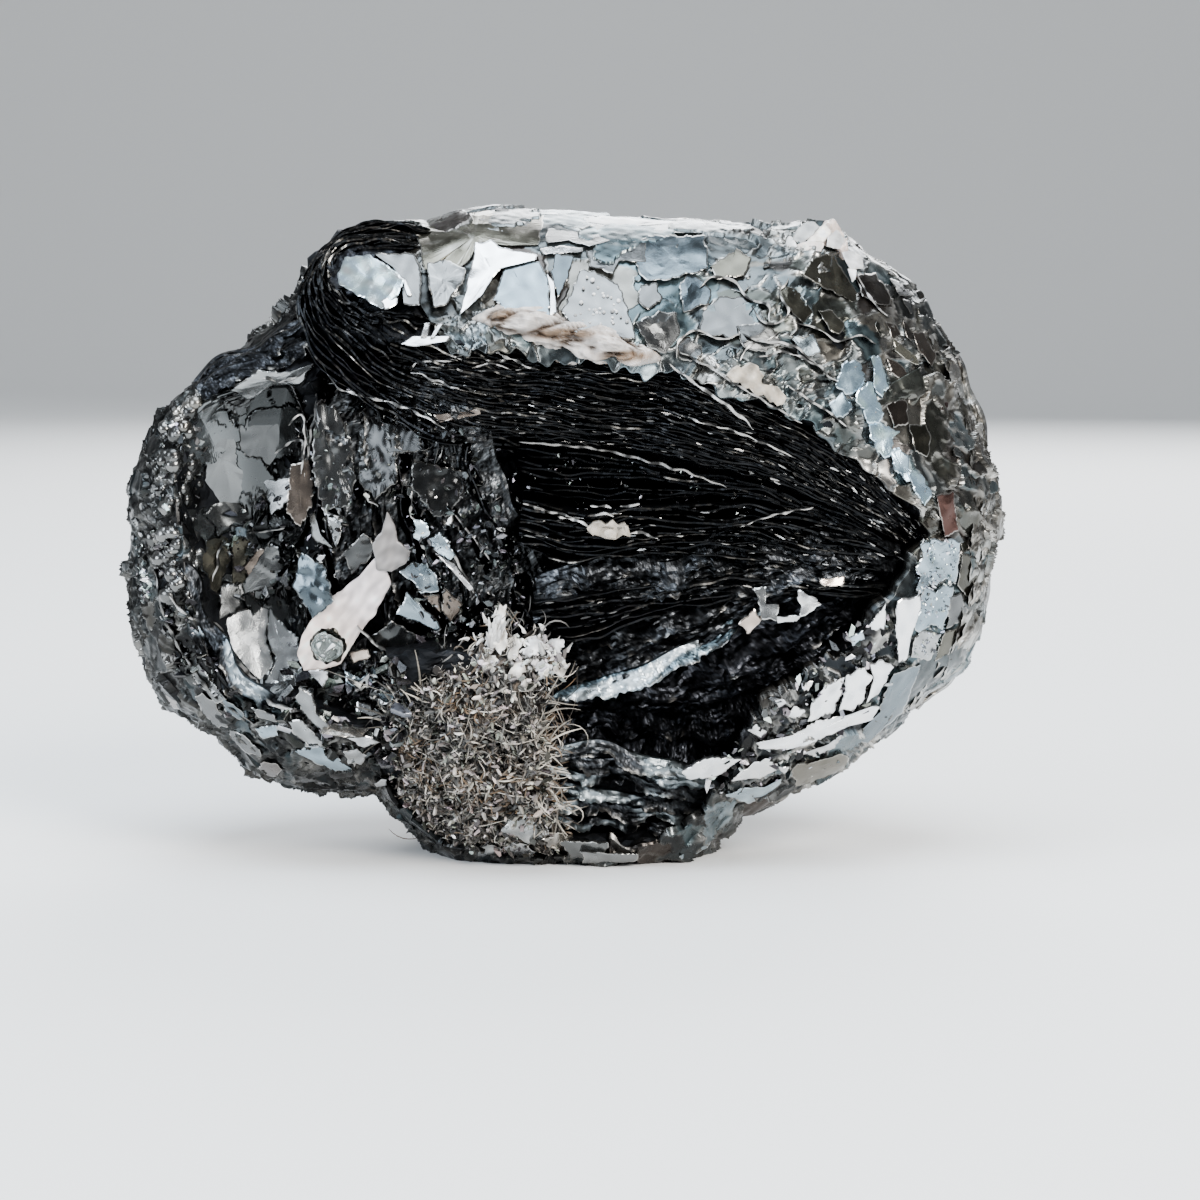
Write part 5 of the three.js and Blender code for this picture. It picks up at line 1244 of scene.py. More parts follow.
torn_faces("pale_chips", 791, [
    ("brown", 0.42, -0.6, (0.1, 0.1), [[12.6, 20.0], [13.8, 21.1], [14.4, 20.3], [13.4, 19.2]]),
    ("grey", 0.34, -0.4, (0.0, 0.2), [[13.8, 22.7], [14.7, 23.0], [14.5, 21.3], [15.6, 21.6], [15.5, 20.3],
        [14.4, 20.5]]),
    ("white", 0.85, -0.4, (0.1, 0.1), [[17.1, 22.7], [17.7, 22.6], [19.0, 21.6], [17.4, 20.6]]),
    ("white", 0.60, -0.5, (0.0, 0.1), [[15.5, 20.6], [17.4, 20.7], [17.2, 20.2], [15.7, 20.1]]),
    ("brown", 0.55, -0.4, (0.0, 0.1), [[18.7, 23.5], [20.9, 23.7], [20.6, 22.9], [19.3, 23.0]]),
], bend=0.2, thickness=0.5)

# ---- leaves seen on edge ----
# Single torn leaves, 0.1 to 0.3 mm thick, that stand out of the shell and the broken front and show only
# their edges, painted bright in front as highlights and dark behind as shade. Each is a strip stood on its
# edge along a curl of its own.


def strips(name, seed, rows, ground=front_at, deep=0.9):
    """Strips given as brightness, half width, height over the ground and a route of x, z. The section has two
    front corners, two middle ones and two behind. Its width wavers along the strip and dies out at both ends,
    and its brightness comes and goes."""
    points, tones = [], []
    samples = 60
    along = np.linspace(0, 1, samples)
    offset = np.array([0.7, 1.0, 0.6, -0.6, -1.0, -0.7])
    level = np.array([0.0, 0.12, deep, deep, 0.12, 0.0])
    # Painted highlight on the front corners, painted shade on those behind.
    fade = np.array([1.0, 0.7, 0.05, 0.05, 0.7, 1.0])[:, None]
    for number, (bright, half, height, route) in enumerate(rows):
        own = seed + number
        path = along_route(route, along)
        aside = beside(path)
        path = path + aside * 0.06 * swell(path, 1.5, own)[:, None]
        taper = np.sqrt(1 - np.abs(2 * along - 1) ** 3)
        wide = 0.7 * half * (1 + 0.5 * swell(path, 0.9, own + 40)) * taper + 0.015
        flat = path[:, None] + aside[:, None] * (wide[:, None] * offset)[..., None]
        y = (ground(path[:, 0], path[:, 1]) - height + 0.14 * swell(path, 1.6, own + 60))[:, None] + level
        points.append(np.stack([flat[..., 0], y, flat[..., 1]], -1))
        lit = 0.65 * bright * (0.1 + 0.9 * ease((swell(path, 1.2, own + 80) + 0.5) / 0.5))[:, None, None]
        tones.append(lit * fade * WARM_WHITE)
    points, tones = np.concatenate(points).reshape(-1, 3), np.concatenate(tones).reshape(-1, 3)
    points[:, 2] = np.maximum(points[:, 2], 0.05)
    made = build(name, points, *tubes(len(rows), samples, 6, turned=True), tone=np.clip(tones, 0.01, 0.95))
    made.data.materials.append(edge_metal)


edge_metal = metal("edge_metal", roughness=0.34, dullest=0.2, grain=1200, dent=0.2, metallic=0.7)
strips("shell_curls", 751, [
    (0.70, 0.10, 0.9, [[7.7, 40.6], [8.0, 42.0], [9.4, 42.7], [11.0, 42.0], [12.8, 42.3], [14.6, 41.9],
        [15.6, 42.6]]),
    (0.75, 0.12, 1.0, [[12.6, 40.4], [13.4, 41.6], [15.2, 41.8], [17.2, 41.2], [18.6, 40.0]]),
    (0.70, 0.10, 1.0, [[13.8, 40.6], [16.0, 41.0], [18.2, 40.2], [20.2, 38.6]]),
    (0.60, 0.10, 0.9, [[8.0, 41.0], [10.4, 39.8], [12.6, 38.4], [14.6, 37.2], [17.4, 35.6]]),
    (0.80, 0.16, 1.0, [[7.0, 40.2], [9.0, 38.8], [11.0, 37.4], [12.8, 36.0], [13.6, 35.2]]),
    (0.75, 0.11, 0.9, [[16.4, 38.4], [18.2, 37.2], [19.8, 36.2], [21.2, 35.0]]),
    (0.60, 0.12, 0.9, [[9.6, 46.0], [10.8, 46.8], [12.4, 46.4], [13.2, 45.2], [14.8, 44.6], [15.0, 43.4]]),
    (0.65, 0.10, 0.9, [[13.6, 44.6], [14.2, 43.6], [15.4, 43.2], [16.4, 44.2], [15.8, 45.6], [16.6, 46.6]]),
    (0.60, 0.10, 0.9, [[17.2, 43.2], [18.6, 42.8], [20.4, 41.8], [22.0, 42.2], [23.4, 41.6]]),
    (0.55, 0.10, 0.9, [[21.8, 48.0], [22.6, 46.0], [23.6, 44.4], [24.6, 43.6]]),
])
strips("front_edges", 756, [
    (0.75, 0.13, -1.1, [[-20.2, 40.1], [-18.6, 38.2], [-16.2, 37.4], [-14.2, 37.0], [-12.2, 36.3],
        [-10.1, 35.2]]),
    (0.70, 0.10, -0.8, [[-12.8, 39.5], [-12.4, 40.1], [-11.4, 40.3], [-9.4, 40.3]]),
    (0.45, 0.09, -0.9, [[-12.8, 39.5], [-11.6, 39.1], [-10.2, 38.6], [-9.0, 38.2]]),
    (0.65, 0.10, -0.8, [[-8.0, 39.7], [-7.0, 40.1], [-5.8, 40.0], [-5.0, 39.6]]),
    (0.70, 0.12, -0.7, [[-9.4, 40.4], [-8.2, 41.2], [-7.2, 41.4], [-4.4, 40.2], [-3.0, 39.6]]),
    (0.65, 0.10, -1.0, [[7.4, 36.4], [9.4, 35.8], [12.0, 35.0], [14.6, 34.0], [17.0, 32.8]]),
    (0.40, 0.12, -1.4, [[-4.4, 34.2], [0.0, 33.8], [4.0, 33.0], [8.0, 32.0], [11.6, 30.6]]),
    (0.55, 0.10, -1.6, [[-4.1, 29.4], [-1.4, 28.6], [0.6, 28.2]]),
    (0.60, 0.09, -1.2, [[12.6, 27.6], [15.0, 28.4], [18.4, 29.0]]),
    (0.90, 0.15, -1.2, [[-1.4, 28.4], [-0.3, 28.2], [0.4, 28.0], [1.0, 27.7]]),
    (0.80, 0.13, -1.2, [[4.1, 27.2], [5.0, 27.3], [5.7, 26.9], [6.3, 26.7]]),
    (0.80, 0.12, -1.1, [[1.1, 29.2], [1.9, 29.3], [2.7, 29.1]]),
    (0.70, 0.11, -1.1, [[3.4, 29.2], [4.2, 29.3], [4.9, 29.4]]),
    (0.80, 0.11, -1.1, [[0.9, 28.5], [2.0, 28.7], [2.9, 28.5]]),
    (0.65, 0.11, -3.0, [[-20.6, 39.6], [-20.5, 36.8], [-20.9, 33.8], [-21.4, 31.0]]),
    (0.60, 0.10, -2.4, [[-22.6, 35.2], [-21.6, 36.0], [-21.2, 34.0], [-21.5, 31.4]]),
    (0.60, 0.11, -3.6, [[-15.0, 34.6], [-14.9, 33.2], [-13.4, 33.3], [-13.2, 34.4]]),
    (0.70, 0.12, -3.4, [[-20.0, 28.7], [-19.2, 28.3], [-18.1, 27.7]]),
    (0.60, 0.09, -3.4, [[-22.0, 25.0], [-21.2, 23.8], [-20.6, 22.8]]),
    (0.65, 0.10, -3.2, [[-10.2, 26.2], [-9.0, 24.2], [-8.0, 22.2]]),
    (0.55, 0.09, -3.0, [[-9.4, 28.4], [-8.0, 26.6], [-6.8, 24.8]]),
    (0.65, 0.12, -2.8, [[-17.2, 19.6], [-16.0, 18.4], [-14.6, 17.4], [-12.6, 16.6]]),
    (0.60, 0.10, -3.0, [[-16.6, 33.4], [-15.7, 31.2], [-16.2, 29.6], [-15.4, 29.0]]),
    (0.55, 0.09, -3.2, [[-13.4, 30.8], [-12.8, 29.6], [-12.9, 28.4], [-12.4, 27.8]]),
    (0.60, 0.10, -2.6, [[-10.3, 34.4], [-10.4, 33.2], [-10.9, 32.4]]),
])
strips("dish_edges", 757, [
    (0.66, 0.16, 1.0, [[-32.2, 21.6], [-30.8, 20.2], [-28.9, 19.0], [-28.0, 17.1], [-26.1, 14.9],
        [-24.2, 13.4], [-20.6, 12.6]]),
    (0.60, 0.10, 1.2, [[-24.2, 32.6], [-22.8, 33.6], [-21.8, 33.8], [-21.9, 32.9], [-21.8, 31.5]]),
    (0.45, 0.09, 1.0, [[-26.4, 26.2], [-24.6, 26.4], [-23.4, 26.8]]),
    (0.50, 0.12, 1.0, [[-27.6, 38.0], [-25.2, 38.8], [-23.0, 38.6], [-20.8, 39.6]]),
    (0.45, 0.12, 0.9, [[-31.8, 36.0], [-31.2, 37.0], [-30.2, 37.6], [-29.4, 37.0]]),
    (0.40, 0.09, 1.0, [[-28.6, 25.6], [-28.9, 23.8], [-29.2, 22.4]]),
    (0.30, 0.12, 1.0, [[-33.6, 23.6], [-32.6, 19.6], [-30.8, 16.4], [-28.4, 13.6], [-25.6, 11.4]]),
], ground=broken_front, deep=1.2)

# ---- knob ----
# The fold at the upper left: its leaves are rolled round one bright flat face like the pages of a curled
# book, then sweep out under it and run into the upper book.

KNOB_MIDDLE = np.array([-16.2, -5.6, 46.2])
KNOB_HALF = np.array([4.2, 4.8, 3.4])


def ball_of(turns, rings, margin):
    """A ball of radius one: rings round the Y axis, from a small angle past its front pole to as far before
    the back one."""
    turn = np.linspace(0, 2 * np.pi, turns, endpoint=False)
    down = np.linspace(margin, np.pi - margin, rings)[:, None]
    return np.stack([np.sin(down) * np.cos(turn), -np.cos(down) + 0 * turn, np.sin(down) * np.sin(turn)], -1)


# The core is a lumpy egg: a ball stretched to its half sizes, with waves on its radius.
ball = ball_of(80, 36, 0.02)
bumps = 1 + 0.05 * swell(ball, 0.7, 301) + 0.03 * swell(ball, 0.25, 302)
core_points = (KNOB_MIDDLE + ball * bumps[..., None] * KNOB_HALF).reshape(-1, 3)
# Its near-black tone is painted shade inside the rolled leaves.
core = build("knob_core", core_points, *tubes(1, 36, 80, turned=True),
             tone=np.tile([[0.02, 0.021, 0.024]], (len(core_points), 1)))
core.data.materials.append(leaf_metal)
leaf_book("knob_leaves", [[-11.4, 50.2], [-14.6, 50.9], [-18.4, 50.4], [-21.0, 48.3], [-22.2, 45.0],
    [-21.8, 42.2], [-20.2, 39.8], [-17.4, 37.6], [-14.2, 35.8], [-10.2, 34.2], [-5.0, 33.0]],
    [[-12.2, 48.8], [-15.0, 49.0], [-18.0, 48.9], [-19.0, 48.0], [-19.1, 46.6], [-18.5, 45.3],
    [-16.0, 44.3], [-12.8, 44.0], [-9.2, 42.6], [-4.2, 41.1], [1.0, 40.3]], 21, 311, samples=190, pieces=20,
    tear=1.2, ripple=0.26, glint=0.24, root=-1.0, tuck=2.0, recess=(-2.2, -3.0, -3.2, -2.6, -2.2, -1.2,
    -0.2, 0.6, 1.1, 1.6, 2.6))
# The bright bluish face and the white ones paint reflections of the lights.
torn_faces("knob_faces", 341, [
    ("blue", 0.90, 2.7, (0.05, 0.0), [[-18.6, 47.0], [-18.0, 48.3], [-16.1, 48.5], [-13.9, 47.2],
        [-13.2, 46.5], [-13.7, 45.4], [-14.8, 44.3], [-18.4, 46.2]]),
    ("grey", 0.10, 2.5, (0.1, 0.0), [[-15.8, 48.6], [-12.6, 48.6], [-12.0, 47.2], [-12.0, 44.6],
        [-13.2, 44.7], [-13.5, 46.6], [-14.2, 47.5]]),
    ("white", 0.80, 2.9, (0.0, 0.2), [[-15.0, 45.0], [-13.9, 45.6], [-13.6, 44.7], [-14.6, 44.3]]),
    ("white", 0.70, 2.8, (-0.3, 0.0), [[-13.8, 47.0], [-13.2, 46.6], [-12.6, 45.4], [-12.9, 45.3],
        [-13.3, 46.2]]),
    ("olive", 0.07, 1.3, (0.0, 0.3), [[-17.8, 50.6], [-17.2, 51.1], [-15.0, 51.0], [-13.9, 50.4],
        [-14.5, 49.8], [-15.3, 50.1], [-16.9, 50.1]]),
    ("white", 0.60, 2.2, (0.0, 0.2), [[-13.4, 41.7], [-12.6, 42.3], [-9.6, 42.3], [-9.9, 41.9],
        [-12.2, 41.5]]),
    ("white", 0.60, 2.3, (0.2, 0.0), [[-11.6, 43.3], [-11.2, 43.3], [-11.4, 42.2], [-11.9, 42.2]]),
    ("white", 0.50, 2.3, (0.2, 0.0), [[-10.6, 43.2], [-10.2, 43.3], [-10.9, 42.1], [-11.2, 42.1]]),
], bend=0.1, thickness=2.4, ragged=0.05)

# ---- dish floor ----
# The bottom of the dish on the left lobe: flat grey cleavage faces with dark cracks between them, paler on
# the left. It lies on the nodule and is grown onto it.


def dish_floor(headings=360, rings=96):
    """Rings round the dish's middle, displaced by a mosaic whose borders are cracks instead of ridges. The
    edge is drawn back into the nodule and closed behind."""
    heading = np.linspace(0, 2 * np.pi, headings, endpoint=False)
    out = np.sqrt(np.linspace(0.0004, 1.10, rings))[:, None]
    edge = radius_of(DISH, DISH_MIDDLE, heading)
    x = DISH_MIDDLE[0] + out * edge * np.cos(heading)
    z = DISH_MIDDLE[1] + out * edge * np.sin(heading)
    points = np.stack([x, broken_front(x, z) - 0.3, z], -1).reshape(-1, 3)
    dice = np.random.default_rng(801)
    coarse, fine = points[dice.choice(len(points), 46)], points[dice.choice(len(points), 420)]
    big, crack, face = mosaic(points, coarse, 802, 0.30, 0.20, -0.30, 0.12, 0.5)
    small, thin, little = mosaic(points, fine, 812, 0.10, 0.35, -0.12, 0.08, 0.3)
    broken = ease(swell(points, 5.0, 822) + 0.1 + 0.12 * (points[:, 0] + 26))
    points[:, 1] += -big - broken * small + np.repeat(ease((out - 0.97) / 0.07)[:, 0], headings) * 1.6
    pale = ease((-25.5 - points[:, 0]) / 4)[:, None] * ease((points[:, 2:] - 12) / 6)
    tone = (0.045 + 0.10 * pale) * dice.uniform(0.5, 1.5, (46, 1))[face] * [0.97, 1.03, 1.04]
    grit = dice.uniform(0.01, 0.16, (420, 1))[little]
    tone = tone * (1 - 0.5 * broken[:, None]) + 0.5 * broken[:, None] * grit
    tone *= 1 - 0.85 * np.clip(crack + broken * thin, 0, 1)[:, None]
    behind = points[-headings:] * [1, 0, 1]
    points, tone = np.concatenate([points, behind]), np.concatenate([tone, tone[-headings:]])
    return points, tubes(1, rings + 1, headings, turned=True), np.clip(tone, 0.005, 0.9)


floor_points, floor_faces, floor_tone = dish_floor()
dish_bottom = build("dish_floor", floor_points, *floor_faces, tone=floor_tone)
dish_bottom.data.materials.append(face_metal)

# ---- crumbs ----
# Broken bits of leaf, 0.1 to 1 mm across, that lie caught all over the broken front: on the saddle below the
# blade, between the hanging sheets, along the dish's rim and round the mat. Small round lumps line the dish's
# left rim.


def scatter(count, outline, seed):
    """Random places inside an outline: places in its bounding box, of which those inside are kept."""
    dice = np.random.default_rng(seed)
    outline = np.array(outline, float)
    x, z = dice.uniform(outline.min(0), outline.max(0), (count * 5, 2)).T
    kept = np.flatnonzero(inside(x, z, outline))[:count]
    return x[kept], z[kept]


def crumbs(name, seed, count, outline, recess, size, bright=0.5, lean=1.1, ground=front_at,
           cast=(1.0, 1.02, 1.04), narrow=0.5, paint=None, even=4.0):
    """Small plates at random places inside an outline, between two depths behind the ground, leaning every
    way. Most are dark: brightness is 0.02 plus bright times a power of a random share, high unless they are
    even. On the metal the bright few are painted glints; on the mat they are its own pale shards."""
    dice = np.random.default_rng(seed)
    x, z = scatter(count, outline, seed + 1)
    count = len(x)
    y = ground(x, z) + dice.uniform(*recess, count)
    centre = np.stack([x, y, z], -1)
    normal = askew(np.tile([[0.0, -1.0, 0.0]], (count, 1)), lean, seed + 2)
    sizes = size[0] + (size[1] - size[0]) * dice.random(count) ** 2
    tone = (0.02 + bright * dice.random((count, 1)) ** even) * np.array(cast)
    tone = tone * dice.uniform(0.9, 1.1, (count, 3))
    points, faces, tones = plates(centre, normal, sizes, tone, seed + 3, corners=5, narrow=narrow, rim=0.12,
                                  thickness=0.5 * sizes, bevel=0.05, ragged=0.35)
    points[:, 2] = np.maximum(points[:, 2], 0.05)
    bits = build(name, points, *faces, tone=np.clip(tones, 0.004, 0.95))
    bits.data.materials.append(paint or plate_metal)


crumbs("saddle_crumbs", 831, 520, [[-23.0, 17.4], [-17.4, 17.6], [-13.4, 17.0], [-12.6, 11.6], [-14.6, 8.4],
    [-19.0, 8.8], [-23.4, 12.0]], (-1.2, 0.3), (0.2, 1.0), bright=0.55, ground=broken_front)
crumbs("wedge_crumbs", 835, 420, [[-15.4, 17.8], [-9.4, 19.4], [-9.2, 16.4], [-12.4, 13.0], [-15.6, 11.6],
    [-18.0, 12.6], [-17.0, 15.6]], (3.6, 5.8), (0.10, 0.55), bright=0.7)
crumbs("hanging_crumbs", 841, 800, [[-20.6, 39.0], [-9.0, 36.6], [-4.6, 26.0], [-3.6, 19.6], [-11.4, 18.6],
    [-13.0, 24.0], [-13.6, 29.2], [-16.6, 28.8], [-20.4, 24.0]], (1.2, 4.4), (0.10, 0.45), bright=0.5)
crumbs("cavity_crumbs", 851, 420, [[-8.0, 34.0], [4.0, 32.6], [16.0, 30.4], [22.0, 26.6], [14.0, 22.0],
    [2.0, 20.0], [-6.0, 22.0]], (2.2, 6.0), (0.08, 0.26), bright=0.4)
crumbs("band_glints", 857, 190, [[26.8, 26.2], [30.2, 26.0], [29.9, 22.0], [28.6, 16.8], [26.6, 17.0],
    [27.0, 20.0], [26.6, 22.6]], (-0.95, -0.6), (0.08, 0.26), bright=0.9, cast=(0.92, 1.0, 1.05), lean=0.5,
    even=1.4)
crumbs("dish_rim_crumbs", 861, 420, [[-33.0, 36.0], [-30.4, 38.0], [-29.4, 34.0], [-30.4, 28.0],
    [-29.6, 20.0], [-26.4, 14.4], [-27.0, 12.0], [-32.0, 15.0], [-34.0, 24.0]], (-1.0, 0.2), (0.15, 0.6),
    bright=0.5, ground=broken_front)
crumbs("dish_crumbs", 871, 260, [[-29.0, 27.0], [-22.4, 31.0], [-22.0, 38.0], [-20.8, 38.0], [-20.6, 20.0],
    [-27.0, 20.0]], (-1.4, -0.2), (0.12, 0.6), bright=0.4, ground=broken_front)
crumbs("step_crumbs", 881, 260, [[9.0, 7.0], [12.6, 5.0], [20.0, 8.6], [25.6, 15.0], [26.4, 21.0],
    [22.6, 20.6], [15.0, 13.6]], (-1.0, -0.4), (0.15, 0.6), bright=0.95, lean=0.25)
crumbs("mat_crumbs", 891, 420, [[-15.0, 12.6], [-8.4, 17.6], [-2.2, 16.0], [-1.4, 0.8], [-11.0, 0.9],
    [-15.0, 6.0]], (-1.4, -0.5), (0.12, 0.5), bright=0.5, cast=(1.08, 1.0, 0.9))


def round_lumps(name, seed, count, outline, radii, recess, tone, ground=broken_front, paint=None):
    """Small knobbly balls at random places inside an outline, their radius waved."""
    dice = np.random.default_rng(seed)
    x, z = scatter(count, outline, seed + 1)
    count = len(x)
    centre = np.stack([x, ground(x, z) + dice.uniform(*recess, count), z], -1)
    ball = ball_of(10, 6, 0.25)
    radius = radii[0] + (radii[1] - radii[0]) * dice.random((count, 1, 1)) ** 2
    wobble = 1 + 0.15 * np.sin(ball @ dice.normal(0, 2.5, (3, count)) + dice.uniform(0, 6, count))
    points = centre[:, None, None] + ball[None] * radius[..., None] * np.moveaxis(wobble, -1, 0)[..., None]
    tones = np.repeat(np.array(tone) * dice.uniform(0.3, 1.2, (count, 1)), 60, 0)
    lumps_made = build(name, points.reshape(-1, 3), *tubes(count, 6, 10, turned=True),
                       tone=np.clip(tones, 0.01, 0.9), smooth=True)
    lumps_made.data.materials.append(paint or face_metal)


frost = metal("frost", roughness=0.5, metallic=0.0)
round_lumps("shield_dots", 897, 34, [[-0.6, 44.2], [0.5, 46.8], [1.4, 46.8], [3.0, 45.9], [4.0, 43.3],
    [0.2, 42.9]], (0.10, 0.19), (-1.06, -0.98), (0.80, 0.81, 0.81), front_at, frost)
round_lumps("dish_rim_lumps", 896, 120, [[-33.4, 35.0], [-31.0, 38.0], [-29.8, 34.0], [-30.6, 28.0],
    [-30.0, 22.0], [-31.6, 20.0], [-34.0, 24.0]], (0.2, 0.85), (-0.5, 0.1), (0.16, 0.16, 0.155))
round_lumps("rim_pearls", 898, 12, [[-32.4, 35.2], [-31.6, 37.0], [-29.6, 37.6], [-29.4, 36.6],
    [-31.2, 34.8]], (0.3, 0.8), (-0.7, -0.3), (0.42, 0.40, 0.36))
crumbs("rim_sparkles", 901, 70, [[-35.8, 26.2], [-34.8, 26.0], [-33.6, 22.0], [-34.8, 20.6], [-35.4, 23.4]],
    (-0.6, 0.0), (0.2, 0.6), bright=0.9, lean=0.9, ground=broken_front, even=1.0)

# ---- quartz seam ----
# A crumpled vein of cream quartz, 16 mm long, squeezed between the shell and the upper leaves. It grew there
# and is held in a socket of its own shape.

SEAM_ROUTE = [[-8.6, 43.2], [-6.4, 43.4], [-3.0, 42.8], [0.6, 41.9], [4.0, 41.2], [7.2, 40.2]]
SEAM_HALVES = (0.3, 1.3, 1.5, 1.3, 1.0, 0.3)
SEAM_CREAM = np.array([0.60, 0.55, 0.51])
CREASE_SHADE_BROWN = np.array([0.09, 0.062, 0.042])


def crumpled_vein(route, halves, depth, samples, around, seed):
    """A round section carried along a route, as high as its half heights, crumpled by folded waves: the size
    of a wave, whatever its sign, which gives sharp creases between rounded folds. Gives points, faces and
    each point's crease amount, by which the creases are painted darker and browner as shade."""
    along = np.linspace(0, 1, samples)
    path = along_route(route, along)
    half = between(halves, along)
    turn = np.linspace(0, 2 * np.pi, around, endpoint=False)
    y = front_at(path[:, 0], path[:, 1]) + 0.5
    points = np.stack([path[:, :1] + 0 * turn,
                       y[:, None] + depth * np.minimum(half, 1.1)[:, None] * np.cos(turn),
                       path[:, 1:] + half[:, None] * np.sin(turn)], -1)
    middle = np.stack([path[:, 0], y, path[:, 1]], -1)[:, None]
    folds = points * [0.30, 1.0, 1.5]
    creases = 0.40 * np.abs(swell(folds, 1.9, seed))
    creases += 0.13 * np.abs(swell(folds * [1.4, 1, 1], 0.8, seed + 1))
    points = middle + (points - middle) * (0.72 + creases[..., None])
    return points.reshape(-1, 3), tubes(1, samples, around), creases.ravel()


def quartz(name, cast=(1.0, 1.0, 1.0), rough=0.42, sheer=0.12):
    """Milky quartz: the colour kept at each point, times a cast and a sugary noise, a little light through
    it, and fine bumps."""
    paint = bpy.data.materials.new(name)
    paint.use_nodes = True
    shader = paint.node_tree.nodes["Principled BSDF"]
    place = new_node(paint, "TexCoord")
    kept = new_node(paint, "Attribute")
    kept.attribute_name = "tone"
    sugar = new_node(paint, "TexNoise", Scale=1400, Detail=5)
    ramp = new_node(paint, "ValToRGB")
    low, high = ramp.color_ramp.elements
    low.position, high.position = 0.3, 0.6
    low.color, high.color = (*(0.55 * np.array(cast)), 1), (*cast, 1)
    mixed = new_node(paint, "VectorMath")
    mixed.operation = "MULTIPLY"
    bump = new_node(paint, "Bump", Strength=0.5, Distance=0.00015)
    join(place, "Object", sugar, "Vector")
    join(sugar, "Fac", ramp, "Fac")
    join(sugar, "Fac", bump, "Height")
    join(kept, "Color", mixed, 0)
    join(ramp, "Color", mixed, 1)
    join(mixed, "Vector", shader, "Base Color")
    join(bump, "Normal", shader, "Normal")
    shader.inputs["Roughness"].default_value = rough
    shader.inputs["Subsurface Weight"].default_value = sheer
    shader.inputs["Subsurface Radius"].default_value = (0.002, 0.0015, 0.001)
    return paint


seam_points, seam_faces, creases = crumpled_vein(SEAM_ROUTE, SEAM_HALVES, 1.6, 300, 64, 501)
# Painted shade: the creases darker and browner, and broad waves of brown shadow over the vein.
height_of_fold = ease((creases - 0.06) / 0.30)[:, None]
seam_tone = CREASE_SHADE_BROWN * (1 - height_of_fold) + SEAM_CREAM * height_of_fold
seam_shadow = ease(swell(seam_points * [0.35, 1.0, 1.4], 2.6, 504) * 0.9 - 0.05)[:, None]
seam_tone *= 1 - seam_shadow * [0.62, 0.72, 0.80]
seam = build("quartz_vein", seam_points, *seam_faces, tone=seam_tone)
cream_quartz = quartz("cream_quartz")
seam.data.materials.append(cream_quartz)
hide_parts("quartz_seam")

# ---- quartz grains ----
# Three small grains, each in its own pit: two of cream quartz, built as rough flat faces, and one stained
# ochre by rust, a ball knocked flat and rounded.


def knocked(ball, dice, cuts, nearest, farthest):
    """The radius of a ball knocked flat by some cuts at random directions and distances: at each point the
    least of one and distance / cosine over the cuts."""
    ways, distance = unit(dice.normal(size=(cuts, 3))), dice.uniform(nearest, farthest, cuts)
    return np.minimum(1.0, (distance / np.maximum(ball @ ways.T, 0.05)).min(-1))


def grain(name, node, half, seed, paint, slot, tone, forward=0.0):
    """A knocked grain at the middle of its socket: a ball, knocked flat and waved a little, its cuts
    darker."""
    low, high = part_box(node)
    middle = np.array((low + high) / 2) / MM - [0, forward, 0]
    ball = ball_of(40, 24, 0.05)
    radius = knocked(ball, np.random.default_rng(seed), 18, 0.72, 0.95)
    points = middle + ball * (radius * (1 + 0.03 * swell(ball, 0.4, seed)))[..., None] * np.array(half)
    shade = 0.45 + 0.55 * ease(radius * 3 - 1.7)
    tones = np.array(tone) * (shade * np.exp(0.2 * swell(ball, 0.6, seed + 1))).reshape(-1, 1)
    stone = build(name, points.reshape(-1, 3), *tubes(1, 24, 40, turned=True), tone=np.clip(tones, 0, 1))
    stone.data.materials.append(paint)
    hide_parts(node)


shell_grain = torn_faces("cream_shell_grain", 511, [
    ("sand", 0.44, 1.0, (0, 0), [[11.5, 39.3], [11.9, 39.8], [12.4, 40.1], [12.6, 39.8], [13.3, 40.3],
        [14.0, 40.0], [14.1, 39.6], [14.5, 39.3], [14.2, 38.9], [14.3, 38.6], [14.9, 38.5], [15.5, 38.4],
        [16.2, 37.6], [16.0, 37.1], [15.4, 36.9], [15.5, 37.3], [14.9, 37.2], [14.4, 37.8], [13.8, 37.7],
        [13.3, 38.3], [12.8, 38.3], [12.6, 38.8], [12.0, 38.8]]),
], bevel=0.16, ragged=0.0, rough=0.16, rim=0.3, paint=cream_quartz, dents=0.06)
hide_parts("seam_grain")
pinched_grain = torn_faces("cream_leaf_grain", 512, [
    ("sand", 0.30, -0.2, (0, 0.1), [[0.9, 27.6], [1.3, 28.1], [1.9, 28.2], [2.3, 27.9], [2.8, 28.3],
        [3.2, 27.9], [3.7, 28.1], [4.0, 27.7], [4.2, 27.0], [3.6, 27.2], [3.0, 26.8], [2.3, 26.9],
        [1.7, 27.1], [1.2, 27.2]]),
    ("sand", 0.52, -0.1, (0.2, 0.1), [[0.8, 27.6], [1.1, 27.9], [1.6, 27.8], [1.8, 27.4], [1.3, 27.1]]),
    ("sand", 0.44, -0.1, (-0.2, 0.3), [[1.8, 27.4], [2.8, 27.7], [3.2, 27.4], [3.0, 26.9], [2.3, 27.0]]),
    ("sand", 0.50, -0.05, (0.1, -0.2), [[3.7, 27.9], [4.0, 27.8], [4.2, 27.0], [3.8, 27.3]]),
    ("sand", 0.10, -0.12, (0.0, 0.2), [[1.6, 28.0], [2.6, 27.8], [2.9, 27.7], [1.8, 27.7]]),
    ("sand", 0.14, -0.12, (0.0, 0.0), [[3.1, 27.8], [3.6, 27.8], [3.6, 27.4], [3.3, 27.3]]),
], thickness=1.6, bevel=0.10, ragged=0.0, rough=0.05, rim=0.1, bend=0.1, paint=cream_quartz,
   dents=0.02)
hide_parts("leaf_grain")
